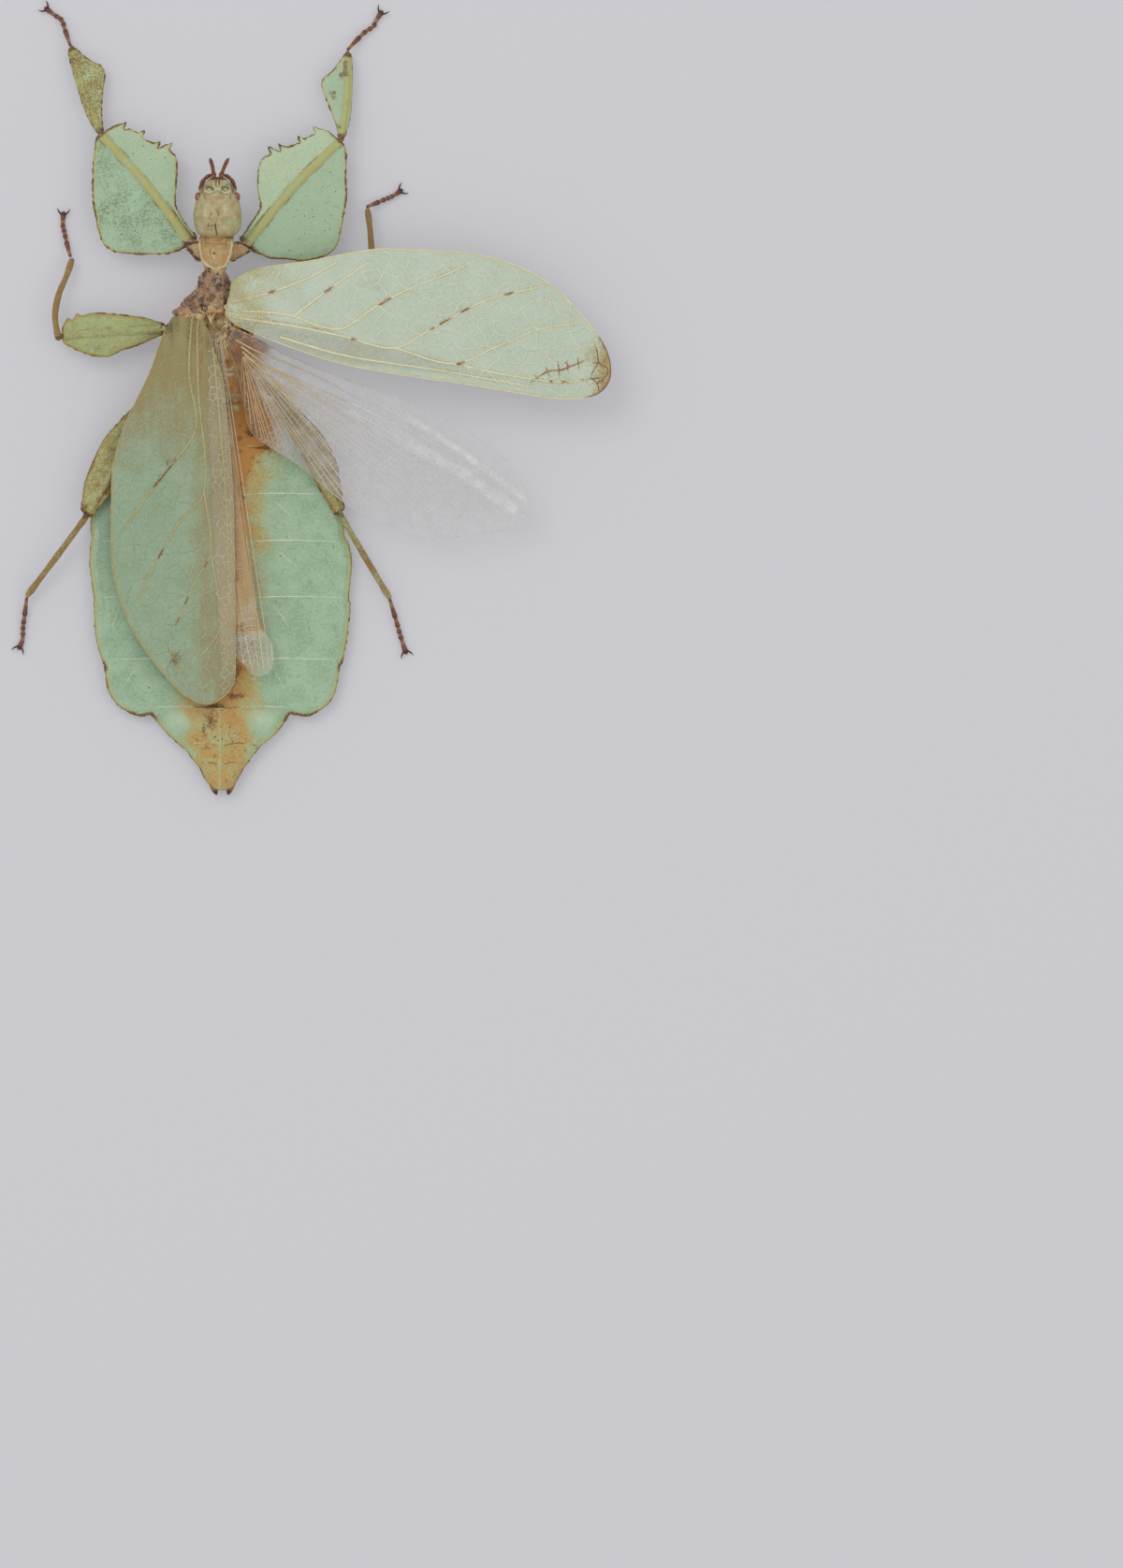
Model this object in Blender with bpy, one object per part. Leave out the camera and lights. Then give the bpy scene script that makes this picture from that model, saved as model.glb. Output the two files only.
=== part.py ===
"""Leaf insect: a dried adult female on her pin, life size, in the pose she is set in.

Her right wings are spread and her left wings are folded back. Sizes are in millimetres and
become metres as each mesh is made. +Y runs towards the head, +X is her right, +Z is up, the
floor is z = 0, and the origin is under the middle of the whole insect.
"""

import math
from dataclasses import dataclass

import bmesh
import bpy
from mathutils import Vector, geometry

MM = 0.001

# The gap between neighbours, and how thick the thin forms are
GAP = 0.3
MEMBRANE = 0.5
LOBE = 0.7
VEIN_RISE = 0.22
VEIN_HALF_WIDTH = 0.4

# The body, on its own midline, from the head's front at +Y back to the abdomen's tip
HEAD_X = -14.45
THORAX_X = -15.0
NOTUM_HALF_WIDTH = 1.5
METATHORAX_X = -14.9
ABDOMEN_X = -14.2
ABDOMEN_FRONT_Y = -0.1
HEAD_REAR_Y = 25.25
PRONOTUM_FRONT_Y = 24.9
MESOTHORAX_FRONT_Y = 19.4
MESOTHORAX_REAR_Y = 13.4
METATHORAX_REAR_Y = 0.3

# Heights above the floor
BELLY_HALF_WIDTH = 4.4
CORE_TOP = 4.1
FLANGE_TOP = 2.3
FLANGE_BOTTOM = 1.5
TAIL_RISE_FROM = 44.0

EYE_RADII = (0.64, 0.8, 0.66)
EYE_AT = (2.85, 31.4, 7.2)
ANTENNA_LENGTH = 2.9
PIN_RADIUS = 0.32
PIN_AT = (-14.3, 18.2)
PIN_TOP = 17.0
CLAW_LENGTH = 1.3
TOOTH_HALF_WIDTH = 0.45


@dataclass(frozen=True)
class Finish:
    """A sub-part's plain colour, roughness and metallic value."""

    colour: tuple
    roughness: float = 0.6
    metallic: float = 0.0


LEAF_GREEN = Finish((0.30, 0.47, 0.33))
LEAF_PALE = Finish((0.42, 0.55, 0.40))
WING_PALE = Finish((0.52, 0.62, 0.48))
WING_CLEAR = Finish((0.62, 0.60, 0.55), 0.4)
KHAKI = Finish((0.42, 0.40, 0.22))
OCHRE = Finish((0.40, 0.24, 0.10))
UMBER = Finish((0.16, 0.10, 0.08))
RUST = Finish((0.18, 0.05, 0.02))
OLIVE = Finish((0.33, 0.30, 0.10))
EYE_AMBER = Finish((0.42, 0.14, 0.05), 0.25)
STEEL = Finish((0.35, 0.35, 0.37), 0.3, 1.0)


@dataclass(frozen=True)
class Axis:
    """A flat part's own axis seen from above, from its root to its tip."""

    root: tuple
    tip: tuple

    @property
    def length(self):
        """How far the tip is from the root."""
        return math.dist(self.root, self.tip)

    def at(self, along, across):
        """The point that far along the axis and that far to its left."""
        ux = (self.tip[0] - self.root[0]) / self.length
        uy = (self.tip[1] - self.root[1]) / self.length
        return (self.root[0] + along * ux - across * uy, self.root[1] + along * uy + across * ux)

    def of(self, x, y):
        """How far along the axis, and to its left, a point lies."""
        ux = (self.tip[0] - self.root[0]) / self.length
        uy = (self.tip[1] - self.root[1]) / self.length
        dx, dy = x - self.root[0], y - self.root[1]
        return (dx * ux + dy * uy, dy * ux - dx * uy)

    def trace(self, points):
        """World points for a list of (along, across) ones."""
        return [self.at(*point) for point in points]


@dataclass(frozen=True)
class Crest:
    """A line raised in a plate's surface: a vein, a segment's edge or a limb's shaft."""

    points: tuple
    half_width: float = VEIN_HALF_WIDTH
    rise: float = VEIN_RISE
    drop: float = 0.0
    offsets: tuple = (-1.0, 0.0, 1.0)
    is_round: bool = False

    def height(self, x, y):
        """The share of its rise that the crest has over a point, from 0 to 1."""
        away = distance_to_line((x, y), self.points) / self.half_width
        if away >= 1.0:
            return 0.0
        if self.is_round:
            return math.sqrt(1.0 - away * away)
        return 1.0 - away


def smooth(points, step, closed=False):
    """Points about a step apart on a soft curve through the given ones."""
    points = [Vector(point) for point in points]
    count = len(points)

    def pick(index):
        return points[index % count] if closed else points[min(max(index, 0), count - 1)]

    curve = []
    for index in range(count if closed else count - 1):
        before, start, end, after = (pick(index + shift) for shift in (-1, 0, 1, 2))
        span = (end - start).length
        leave = (end - before) / max((start - before).length + span, 1e-6) * span
        arrive = (after - start) / max((after - end).length + span, 1e-6) * span
        pieces = max(1, round(span / step))
        for piece in range(pieces):
            t = piece / pieces
            curve.append(
                start * (2 * t**3 - 3 * t**2 + 1)
                + leave * (t**3 - 2 * t**2 + t)
                + end * (3 * t**2 - 2 * t**3)
                + arrive * (t**3 - t**2)
            )
    if not closed:
        curve.append(points[-1])
    return [tuple(point) for point in curve]


def distance_to_line(point, line):
    """How far a point is from a chain of straight pieces."""
    best = math.inf
    px, py = point[0], point[1]
    for (ax, ay), (bx, by) in zip(line, line[1:]):
        dx, dy = bx - ax, by - ay
        length_squared = dx * dx + dy * dy
        t = 0.0
        if length_squared > 0.0:
            t = min(1.0, max(0.0, ((px - ax) * dx + (py - ay) * dy) / length_squared))
        best = min(best, math.hypot(px - ax - t * dx, py - ay - t * dy))
    return best


def is_inside(point, outline):
    """Whether a point lies within a closed outline."""
    inside = False
    x, y = point[0], point[1]
    for (ax, ay), (bx, by) in zip(outline, outline[1:] + outline[:1]):
        if (ay > y) != (by > y) and x < ax + (y - ay) * (bx - ax) / (by - ay):
            inside = not inside
    return inside


def signed_area(outline):
    """An outline's area, negative where its points run clockwise."""
    turns = zip(outline, outline[1:] + outline[:1])
    return sum(ax * by - bx * ay for (ax, ay), (bx, by) in turns) / 2


def shifted(line, offset):
    """A line moved sideways by an offset, to its left where that is positive."""
    moved = []
    for index, (x, y) in enumerate(line):
        before = line[max(index - 1, 0)]
        after = line[min(index + 1, len(line) - 1)]
        dx, dy = after[0] - before[0], after[1] - before[1]
        length = math.hypot(dx, dy)
        moved.append((x - dy / length * offset, y + dx / length * offset))
    return moved


def toothed(edge, teeth, height):
    """An edge of (along, across) points with a pointed tooth raised at each listed place."""
    side = 1.0 if sum(across for _, across in edge) > 0.0 else -1.0
    clear = TOOTH_HALF_WIDTH + 0.2
    kept = [point for point in edge if all(abs(point[0] - tooth) > clear for tooth in teeth)]
    raised = []
    for tooth in teeth:
        for start, end in zip(edge, edge[1:]):
            if min(start[0], end[0]) <= tooth < max(start[0], end[0]):
                share = (tooth - start[0]) / (end[0] - start[0])
                across = start[1] + share * (end[1] - start[1])
                raised.append((tooth - TOOTH_HALF_WIDTH, across))
                raised.append((tooth + 0.1, across + side * height))
                raised.append((tooth + TOOTH_HALF_WIDTH, across))
    return sorted(kept + raised, reverse=edge[0][0] > edge[-1][0])


def make_material(name, finish):
    """A Principled material named for its sub-part."""
    material = bpy.data.materials.new(name)
    material.use_nodes = True
    shader = material.node_tree.nodes["Principled BSDF"]
    shader.inputs["Base Color"].default_value = (*finish.colour, 1.0)
    shader.inputs["Roughness"].default_value = finish.roughness
    shader.inputs["Metallic"].default_value = finish.metallic
    return material


def make_object(name, mesh, finish, collection):
    """A named object in a collection from a bmesh in millimetres, which this frees."""
    bmesh.ops.triangulate(mesh, faces=mesh.faces)
    bmesh.ops.scale(mesh, vec=(MM, MM, MM), verts=mesh.verts)
    data = bpy.data.meshes.new(name)
    mesh.to_mesh(data)
    mesh.free()
    made = bpy.data.objects.new(name, data)
    if finish is not None:
        data.materials.append(make_material(name, finish))
    collection.objects.link(made)
    return made


def plate(outline, lower, upper, crests=(), spacing=4.0):
    """A closed sheet between two heights, split alike on both faces, with raised crests.

    Args:
        outline: the sheet's edge seen from above, as (x, y) points.
        lower: the height of the underside at (x, y).
        upper: the height of the top at (x, y), without the crests.
        crests: the lines raised in the top, and by their drop in the underside.
        spacing: how far apart the loose points between the crests lie.

    Returns:
        The sheet as a bmesh.
    """
    if signed_area(outline) < 0.0:
        outline = outline[::-1]
    sites = list(outline)
    edges = []
    for crest in crests:
        for offset in crest.offsets:
            line = [
                point
                for point in shifted(crest.points, offset * crest.half_width)
                if is_inside(point, outline)
                and distance_to_line(point, outline + outline[:1]) > 0.22
                and min(math.dist(point, site) for site in sites) > 0.16
            ]
            start = len(sites)
            sites += line
            edges += [(start + index, start + index + 1) for index in range(len(line) - 1)]
    columns = [min(point[0] for point in outline), max(point[0] for point in outline)]
    rows = [min(point[1] for point in outline), max(point[1] for point in outline)]
    clear = 0.45 * spacing
    for row in range(int((rows[1] - rows[0]) / spacing) + 1):
        for column in range(int((columns[1] - columns[0]) / spacing) + 1):
            x = columns[0] + (column + 0.5 * (row % 2)) * spacing
            y = rows[0] + (row + 0.5) * spacing
            if is_inside((x, y), outline) and min(math.dist((x, y), s) for s in sites) > clear:
                sites.append((x, y))
    loop = [list(range(len(outline)))]
    points, _, faces, _, _, owners = geometry.delaunay_2d_cdt(
        [Vector(site) for site in sites], edges, loop, 0, 1e-4, True
    )
    faces = [face for face, owner in zip(faces, owners) if owner]
    mesh = bmesh.new()
    tops, bottoms = [], []
    for x, y in points:
        rise = max([crest.height(x, y) * crest.rise for crest in crests], default=0.0)
        drop = max([crest.height(x, y) * crest.drop for crest in crests], default=0.0)
        tops.append(mesh.verts.new((x, y, upper(x, y) + rise)))
        bottoms.append(mesh.verts.new((x, y, lower(x, y) - drop)))
    sides = {}
    for face in faces:
        a, b, c = face
        turn = (points[b] - points[a]).cross(points[c] - points[a])
        if turn < 0.0:
            b, c = c, b
        mesh.faces.new((tops[a], tops[b], tops[c]))
        mesh.faces.new((bottoms[c], bottoms[b], bottoms[a]))
        for start, end in ((a, b), (b, c), (c, a)):
            if (end, start) in sides:
                del sides[(end, start)]
            else:
                sides[(start, end)] = True
    for start, end in sides:
        mesh.faces.new((bottoms[start], bottoms[end], tops[end], tops[start]))
    loose = [vert for vert in mesh.verts if not vert.link_faces]
    bmesh.ops.delete(mesh, geom=loose, context="VERTS")
    return mesh


def sheet(mid, thickness):
    """The lower and upper heights of a sheet of even thickness about a middle height."""
    return (lambda x, y: mid(x, y) - thickness / 2, lambda x, y: mid(x, y) + thickness / 2)


def loft(rings):
    """A closed skin over rings of like point counts, with flat ends, as a bmesh."""
    mesh = bmesh.new()
    loops = [[mesh.verts.new(point) for point in ring] for ring in rings]
    for first, second in zip(loops, loops[1:]):
        for index in range(len(first)):
            after = (index + 1) % len(first)
            mesh.faces.new((first[index], first[after], second[after], second[index]))
    mesh.faces.new(loops[0])
    mesh.faces.new(loops[-1])
    bmesh.ops.recalc_face_normals(mesh, faces=mesh.faces)
    return mesh


def tube(path, radii, sides=8, on_floor=False):
    """A limb round a path, with a radius at each point, flattened where it meets the floor."""
    path = [Vector(point) for point in path]
    rings = []
    for index, (centre, radius) in enumerate(zip(path, radii)):
        ahead = path[min(index + 1, len(path) - 1)] - path[max(index - 1, 0)]
        side = ahead.cross(Vector((0, 0, 1))).normalized()
        up = side.cross(ahead).normalized()
        ring = []
        for step in range(sides):
            angle = math.tau * (step + 0.5) / sides
            point = centre + (side * math.cos(angle) + up * math.sin(angle)) * radius
            if on_floor:
                point.z = max(point.z, 0.0)
            ring.append(point)
        rings.append(ring)
    return loft(rings)


def spheroid(centre, radii, segments=12, rings=8):
    """An egg shape as a bmesh."""
    mesh = bmesh.new()
    bmesh.ops.create_uvsphere(mesh, u_segments=segments, v_segments=rings, radius=1.0)
    bmesh.ops.scale(mesh, vec=radii, verts=mesh.verts)
    bmesh.ops.translate(mesh, vec=centre, verts=mesh.verts)
    return mesh


def rod(radius, height, segments):
    """An upright rod at the pin's place, from the floor up, as a bmesh."""
    mesh = bmesh.new()
    bmesh.ops.create_cone(
        mesh, cap_ends=True, segments=segments, radius1=radius, radius2=radius, depth=height
    )
    bmesh.ops.translate(mesh, vec=(*PIN_AT, height / 2), verts=mesh.verts)
    return mesh


def body_rings(middle_x, stations):
    """Rings across the body, each from a y and half of its profile, from belly to back."""
    rings = []
    for y, half in stations:
        left = [(middle_x - u, y, z) for u, z in half]
        right = [(middle_x + u, y, z) for u, z in reversed(half) if u > 0.0]
        rings.append(left + right)
    return rings


def apply_boolean(base, operand, operation):
    """Join or cut an object by another or by a collection, and keep its largest closed surface."""
    boolean = base.modifiers.new("boolean", "BOOLEAN")
    boolean.operation = operation
    boolean.solver = "MANIFOLD"
    if isinstance(operand, bpy.types.Collection):
        boolean.operand_type = "COLLECTION"
        boolean.collection = operand
    else:
        boolean.object = operand
    bpy.context.view_layer.update()
    evaluated = base.evaluated_get(bpy.context.evaluated_depsgraph_get())
    data = bpy.data.meshes.new_from_object(evaluated)
    base.modifiers.clear()
    old = base.data
    base.data = data
    bpy.data.meshes.remove(old)
    keep_largest(data)


def keep_largest(data):
    """Drop every closed surface of a mesh but the one with the most faces."""
    mesh = bmesh.new()
    mesh.from_mesh(data)
    seen, islands = set(), []
    for face in mesh.faces:
        if face in seen:
            continue
        island, queue = [], [face]
        seen.add(face)
        while queue:
            current = queue.pop()
            island.append(current)
            for edge in current.edges:
                for other in edge.link_faces:
                    if other not in seen:
                        seen.add(other)
                        queue.append(other)
        islands.append(island)
    islands.sort(key=len)
    dropped = [face for island in islands[:-1] for face in island]
    if dropped:
        bmesh.ops.delete(mesh, geom=dropped, context="FACES")
    bmesh.ops.triangulate(mesh, faces=mesh.faces)
    mesh.to_mesh(data)
    mesh.free()


def fuse(name, meshes, finish, collection):
    """One named node from a main bmesh and the pieces sunk into it."""
    extras = bpy.data.collections.new(name + "_pieces")
    bpy.context.scene.collection.children.link(extras)
    node = make_object(name, meshes[0], finish, collection)
    for index, mesh in enumerate(meshes[1:]):
        make_object(f"{name}_piece_{index}", mesh, None, extras)
    apply_boolean(node, extras, "UNION")
    for piece in list(extras.objects):
        bpy.data.objects.remove(piece)
    bpy.data.collections.remove(extras)
    return node


def carve(node, mesh):
    """Cut a bmesh out of a node."""
    cutter = make_object(node.name + "_cutter", mesh, None, bpy.context.scene.collection)
    apply_boolean(node, cutter, "DIFFERENCE")
    bpy.data.objects.remove(cutter)


# The head and its organs

HEAD_STATIONS = (
    # y, half width, top, bottom
    (HEAD_REAR_Y, 2.5, 7.9, 5.5),
    (25.7, 2.95, 8.8, 4.9),
    (27.0, 3.45, 9.5, 4.6),
    (28.6, 3.68, 9.6, 4.5),
    (30.6, 3.2, 9.4, 4.5),
    (31.6, 2.65, 9.1, 4.6),
    (32.7, 2.15, 8.6, 4.7),
    (33.7, 1.7, 7.9, 4.9),
    (34.5, 1.2, 7.3, 5.6),
)
ANTENNAE = {
    # root x, tip x
    "left": (-15.05, -15.7),
    "right": (-13.85, -12.7),
}
ANTENNA_ROOT_Y = 34.95
# Share of the antenna's length, and the radius there, from the base ring to the last segment
ANTENNA_PROFILE = (
    (0.0, 0.4), (0.05, 0.42), (0.07, 0.36), (0.24, 0.5), (0.28, 0.42), (0.29, 0.3),
    (0.32, 0.42), (0.35, 0.28), (0.40, 0.37), (0.42, 0.27), (0.47, 0.36), (0.49, 0.27),
    (0.54, 0.36), (0.56, 0.27), (0.61, 0.37), (0.63, 0.28), (0.71, 0.38), (0.73, 0.26),
    (0.80, 0.33), (0.90, 0.31), (0.97, 0.2), (1.0, 0.1),
)
PALPS = {"left": -1.0, "right": 1.0}
# How far out from the head's midline, y and z
PALP_PATH = (
    (2.8, 32.3, 5.7), (2.62, 33.1, 5.8), (2.25, 33.9, 5.8), (1.8, 34.6, 5.8), (1.2, 35.05, 5.8),
)
PALP_RADII = (0.25, 0.32, 0.26, 0.3, 0.16)


def half_egg(half_width, top, bottom, points=9):
    """Half of a smooth round profile, from the belly's midline to the back's."""
    half = []
    for step in range(points):
        angle = -math.pi / 2 + math.pi * step / (points - 1)
        reach = half_width * abs(math.cos(angle)) ** 0.8
        side = (top + bottom) / 2 - 0.1
        if angle < 0.0:
            half.append((reach, side + (side - bottom) * math.sin(angle)))
        else:
            half.append((reach, side + (top - side) * math.sin(angle)))
    half[0] = (0.0, half[0][1])
    half[-1] = (0.0, half[-1][1])
    return half


def build_head(collection):
    """The head with the bulges that carry the antennae, the mouth below, and the eyes' sockets."""
    stations = [(y, half_egg(width, top, bottom)) for y, width, top, bottom in HEAD_STATIONS]
    pieces = [loft(body_rings(HEAD_X, stations))]
    for side in (-1.0, 1.0):
        pieces.append(spheroid((HEAD_X + side * 1.15, 33.0, 8.05), (0.95, 0.75, 0.5), 10, 6))
    pieces.append(spheroid((HEAD_X, 33.2, 4.9), (1.4, 1.3, 0.75)))
    head = fuse("head", pieces, KHAKI, collection)
    for side in (-1.0, 1.0):
        centre = (HEAD_X + side * EYE_AT[0], EYE_AT[1], EYE_AT[2])
        carve(head, spheroid(centre, tuple(radius + GAP for radius in EYE_RADII), 12, 8))


def build_eyes(collection):
    """Two egg-shaped eyes in their sockets."""
    for name, side in (("eye_left", -1.0), ("eye_right", 1.0)):
        centre = (HEAD_X + side * EYE_AT[0], EYE_AT[1], EYE_AT[2])
        make_object(name, spheroid(centre, EYE_RADII), EYE_AMBER, collection)


def build_antennae(collection):
    """Short antennae: a base ring, a broad first segment, six rings, a cup and a long tip."""
    for side, (root_x, tip_x) in ANTENNAE.items():
        path, radii = [], []
        for share, radius in ANTENNA_PROFILE:
            bow = math.sin(math.pi * share) * 0.12
            x = root_x + (tip_x - root_x) * share - math.copysign(bow, tip_x - root_x)
            path.append((x, ANTENNA_ROOT_Y + ANTENNA_LENGTH * 0.86 * share, 6.6 + 0.5 * share))
            radii.append(radius)
        make_object("antenna_" + side, tube(path, radii), RUST, collection)


def build_palps(collection):
    """The two jointed palps that curve round the front of the head."""
    for name, side in PALPS.items():
        path = [(HEAD_X + side * out, y, z) for out, y, z in PALP_PATH]
        make_object("palp_" + name, tube(path, PALP_RADII, 7), RUST, collection)


# The thorax

PRONOTUM_STATIONS = (
    # y, half width, rim height, disc height, bottom
    (PRONOTUM_FRONT_Y, 2.55, 7.2, 7.0, 5.2),
    (24.5, 2.78, 7.6, 7.35, 4.6),
    (23.2, 2.68, 8.0, 7.9, 4.4),
    (21.8, 2.3, 8.35, 8.3, 4.4),
    (20.5, 1.8, 8.5, 8.35, 4.4),
    (19.95, 1.6, 8.4, 8.2, 4.5),
    (MESOTHORAX_FRONT_Y + GAP, 1.5, 8.0, 7.9, 4.8),
)
MESOTHORAX_STATIONS = (
    # y, half width, side height, shoulder height, top, bottom
    (MESOTHORAX_FRONT_Y, 2.05, 6.3, 7.4, 7.8, 4.7),
    (19.0, 2.35, 6.3, 7.35, 8.1, 4.3),
    (18.0, 2.5, 6.1, 7.0, 8.2, 4.1),
    (16.9, 2.95, 5.8, 7.0, 8.25, 3.8),
    (15.9, 4.3, 5.2, 7.0, 8.25, 3.5),
    (14.6, 5.3, 4.8, 7.0, 8.3, 3.2),
    (MESOTHORAX_REAR_Y, 6.2, 4.4, 7.0, 8.3, 2.9),
)
METATHORAX_STATIONS = (
    # y, half width, side height, top, bottom
    (MESOTHORAX_REAR_Y - GAP, 6.1, 4.2, 6.4, 2.9),
    (11.5, 6.0, 3.9, 6.35, 2.5),
    (8.0, 6.0, 3.6, 6.1, 2.1),
    (4.0, 6.0, 3.4, 5.2, 1.5),
    (METATHORAX_REAR_Y, 6.0, 3.2, 4.4, 1.2),
)


def build_pronotum(collection):
    """The shield behind the head, narrower to the rear, with a raised rim and a mid groove."""
    stations = []
    for y, width, rim, disc, bottom in PRONOTUM_STATIONS:
        half = [
            (0.0, bottom),
            (0.55 * width, bottom + 0.1),
            (0.88 * width, bottom + 0.7),
            (0.9 * width, rim - 0.9),
            (width, rim - 0.25),
            (0.93 * width, rim),
            (0.76 * width, disc - 0.05),
            (0.4 * width, disc + 0.25),
            (0.0, disc + 0.1),
        ]
        stations.append((y, half))
    make_object("pronotum", loft(body_rings(THORAX_X + 0.25, stations)), OCHRE, collection)


def build_mesothorax(collection):
    """The middle of the thorax: a rough bar along the back over sides that widen to the rear."""
    stations = []
    for y, width, side, shoulder, top, bottom in MESOTHORAX_STATIONS:
        bar = NOTUM_HALF_WIDTH
        half = [
            (0.0, bottom),
            (0.6 * width, bottom + 0.1),
            (0.92 * width, bottom + 0.6),
            (width, side),
            (bar + 0.3 * (width - bar), shoulder),
            (bar, shoulder + 0.05),
            (bar, top - 0.15),
            (0.7 * bar, top),
            (0.0, top - 0.05),
        ]
        stations.append((y, half))
    pieces = [loft(body_rings(THORAX_X, stations))]
    for side in (-1.0, 1.0):
        for step in range(7):
            y = 18.7 - step * 0.8
            pieces.append(spheroid((THORAX_X + side * 1.1, y, 8.2), (0.17, 0.2, 0.3), 5, 3))
        for step in range(6):
            y, width, height = edge_of(MESOTHORAX_STATIONS, 18.2 - step * 0.8)
            centre = (THORAX_X + side * (width - 0.02), y, height)
            pieces.append(spheroid(centre, (0.3, 0.17, 0.25), 5, 3))
    node = fuse("mesothorax", pieces, UMBER, collection)
    hole = bmesh.new()
    carve(node, rod(PIN_RADIUS + GAP, PIN_TOP, 16))


def edge_of(stations, y):
    """The half width and side height of a body at a y between its stations."""
    for first, second in zip(stations, stations[1:]):
        if second[0] <= y <= first[0]:
            share = (first[0] - y) / (first[0] - second[0])
            return (
                y,
                first[1] + share * (second[1] - first[1]),
                first[2] + share * (second[2] - first[2]),
            )
    return stations[-1][:3]


def build_metathorax(collection):
    """The rear of the thorax, under the wing roots."""
    stations = []
    for y, width, side, top, bottom in METATHORAX_STATIONS:
        half = [
            (0.0, bottom),
            (0.6 * width, bottom + 0.1),
            (0.93 * width, bottom + 0.5),
            (width, side),
            (0.8 * width, side + 0.45 * (top - side)),
            (0.55 * width, top - 0.15),
            (0.3 * width, top),
            (0.0, top),
        ]
        stations.append((y, half))
    make_object("metathorax", loft(body_rings(METATHORAX_X, stations)), OCHRE, collection)


# The abdomen

# Each segment's margin, as how far back from the abdomen's front, and how far out to the
# left and right of the midline
ABDOMEN_SEGMENTS = (
    ((0.0, 9.0, 9.0), (3.6, 11.0, 11.4), (7.3, 13.3, 13.9)),
    ((7.5, 13.4, 14.0), (11.3, 16.4, 16.4), (14.5, 18.6, 17.8)),
    ((14.7, 18.8, 17.9), (18.0, 19.9, 18.9), (21.5, 19.7, 19.4)),
    ((21.8, 19.8, 19.8), (25.0, 20.1, 20.4), (31.0, 19.3, 19.9)),
    ((31.4, 19.4, 20.2), (36.7, 19.1, 19.7), (40.6, 18.0, 18.9)),
    (
        (41.0, 17.8, 18.6), (45.0, 17.1, 17.9), (46.8, 16.0, 16.9), (48.0, 14.5, 15.4),
        (48.9, 12.3, 13.6), (48.5, 10.7, 11.0),
    ),
    ((48.8, 10.4, 10.7), (51.6, 8.0, 8.6), (53.7, 5.6, 6.1)),
    ((54.0, 5.2, 5.9), (55.5, 4.1, 4.7), (56.5, 3.3, 4.0)),
    ((56.8, 3.0, 3.7), (58.2, 2.4, 3.0), (59.6, 1.4, 2.2)),
    ((60.2, 0.5, 1.3),),
)

# Each cercus's root and tip, and the edge of one as (along, across)
CERCI = {
    "left": ((-15.5, -58.9), (-14.65, -61.2)),
    "right": ((-12.1, -58.9), (-12.95, -61.2)),
}
CERCUS_EDGE = ((0, -0.3), (1.0, -0.55), (2.1, -0.3), (2.45, 0.0), (2.1, 0.3), (1.0, 0.55), (0, 0.3))
CERCUS_HEIGHT = 0.85
CERCUS_THICKNESS = 0.6

SUBGENITAL = Axis((ABDOMEN_X, -50.5), (ABDOMEN_X + 0.3, -59.6))
SUBGENITAL_EDGE = (
    (0, -1.4), (3.5, -1.3), (7.0, -0.9), (9.1, 0.0), (7.0, 0.9), (3.5, 1.3), (0, 1.4),
)
SUBGENITAL_KEEL = ((0.5, 0.0), (4.0, 0.0), (8.0, 0.0))
SUBGENITAL_HEIGHT = 0.6
SUBGENITAL_THICKNESS = 0.8

# Lines along the gut region that shape its curve, as shares of its half width
ABDOMEN_GUIDES = (-1.6, -1.05, -0.4, 0.4, 1.05, 1.6)


def abdomen_core(y):
    """The half width and top of the round gut region along the abdomen's midline."""
    back = min(max(ABDOMEN_FRONT_Y - y, 0.0), 60.0)
    share = back / 60.0
    width = BELLY_HALF_WIDTH * (1.0 - 0.55 * share)
    top = CORE_TOP - 1.3 * share**2
    return width, top


def abdomen_upper(x, y):
    """The back: a low round ridge along the midline, easing into thin flanges."""
    width, top = abdomen_core(y)
    away = min(abs(x - ABDOMEN_X) / (1.7 * width), 1.0)
    ease = 0.5 + 0.5 * math.cos(math.pi * away)
    return FLANGE_TOP + (top - FLANGE_TOP) * ease


def abdomen_lower(x, y):
    """The belly: flat on the floor along the midline, the flanges clear of it."""
    width, _ = abdomen_core(y)
    away = min(max(abs(x - ABDOMEN_X) / width - 0.55, 0.0) / 0.9, 1.0)
    ease = 0.5 - 0.5 * math.cos(math.pi * away)
    tail = min(max((ABDOMEN_FRONT_Y - TAIL_RISE_FROM - y) / 5.0, 0.0), 1.0)
    return max(FLANGE_BOTTOM * ease, FLANGE_BOTTOM * tail)


def abdomen_outline():
    """The abdomen's notched edge, down its left side, round the tip and up its right."""
    left, right = [], []
    for segment in ABDOMEN_SEGMENTS:
        rows = [ABDOMEN_FRONT_Y - back for back, _, _ in segment]
        left += smooth([(ABDOMEN_X - out[1], y) for out, y in zip(segment, rows)], 1.8)
        right += smooth([(ABDOMEN_X + out[2], y) for out, y in zip(segment, rows)], 1.8)
    return left + right[::-1]


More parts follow.
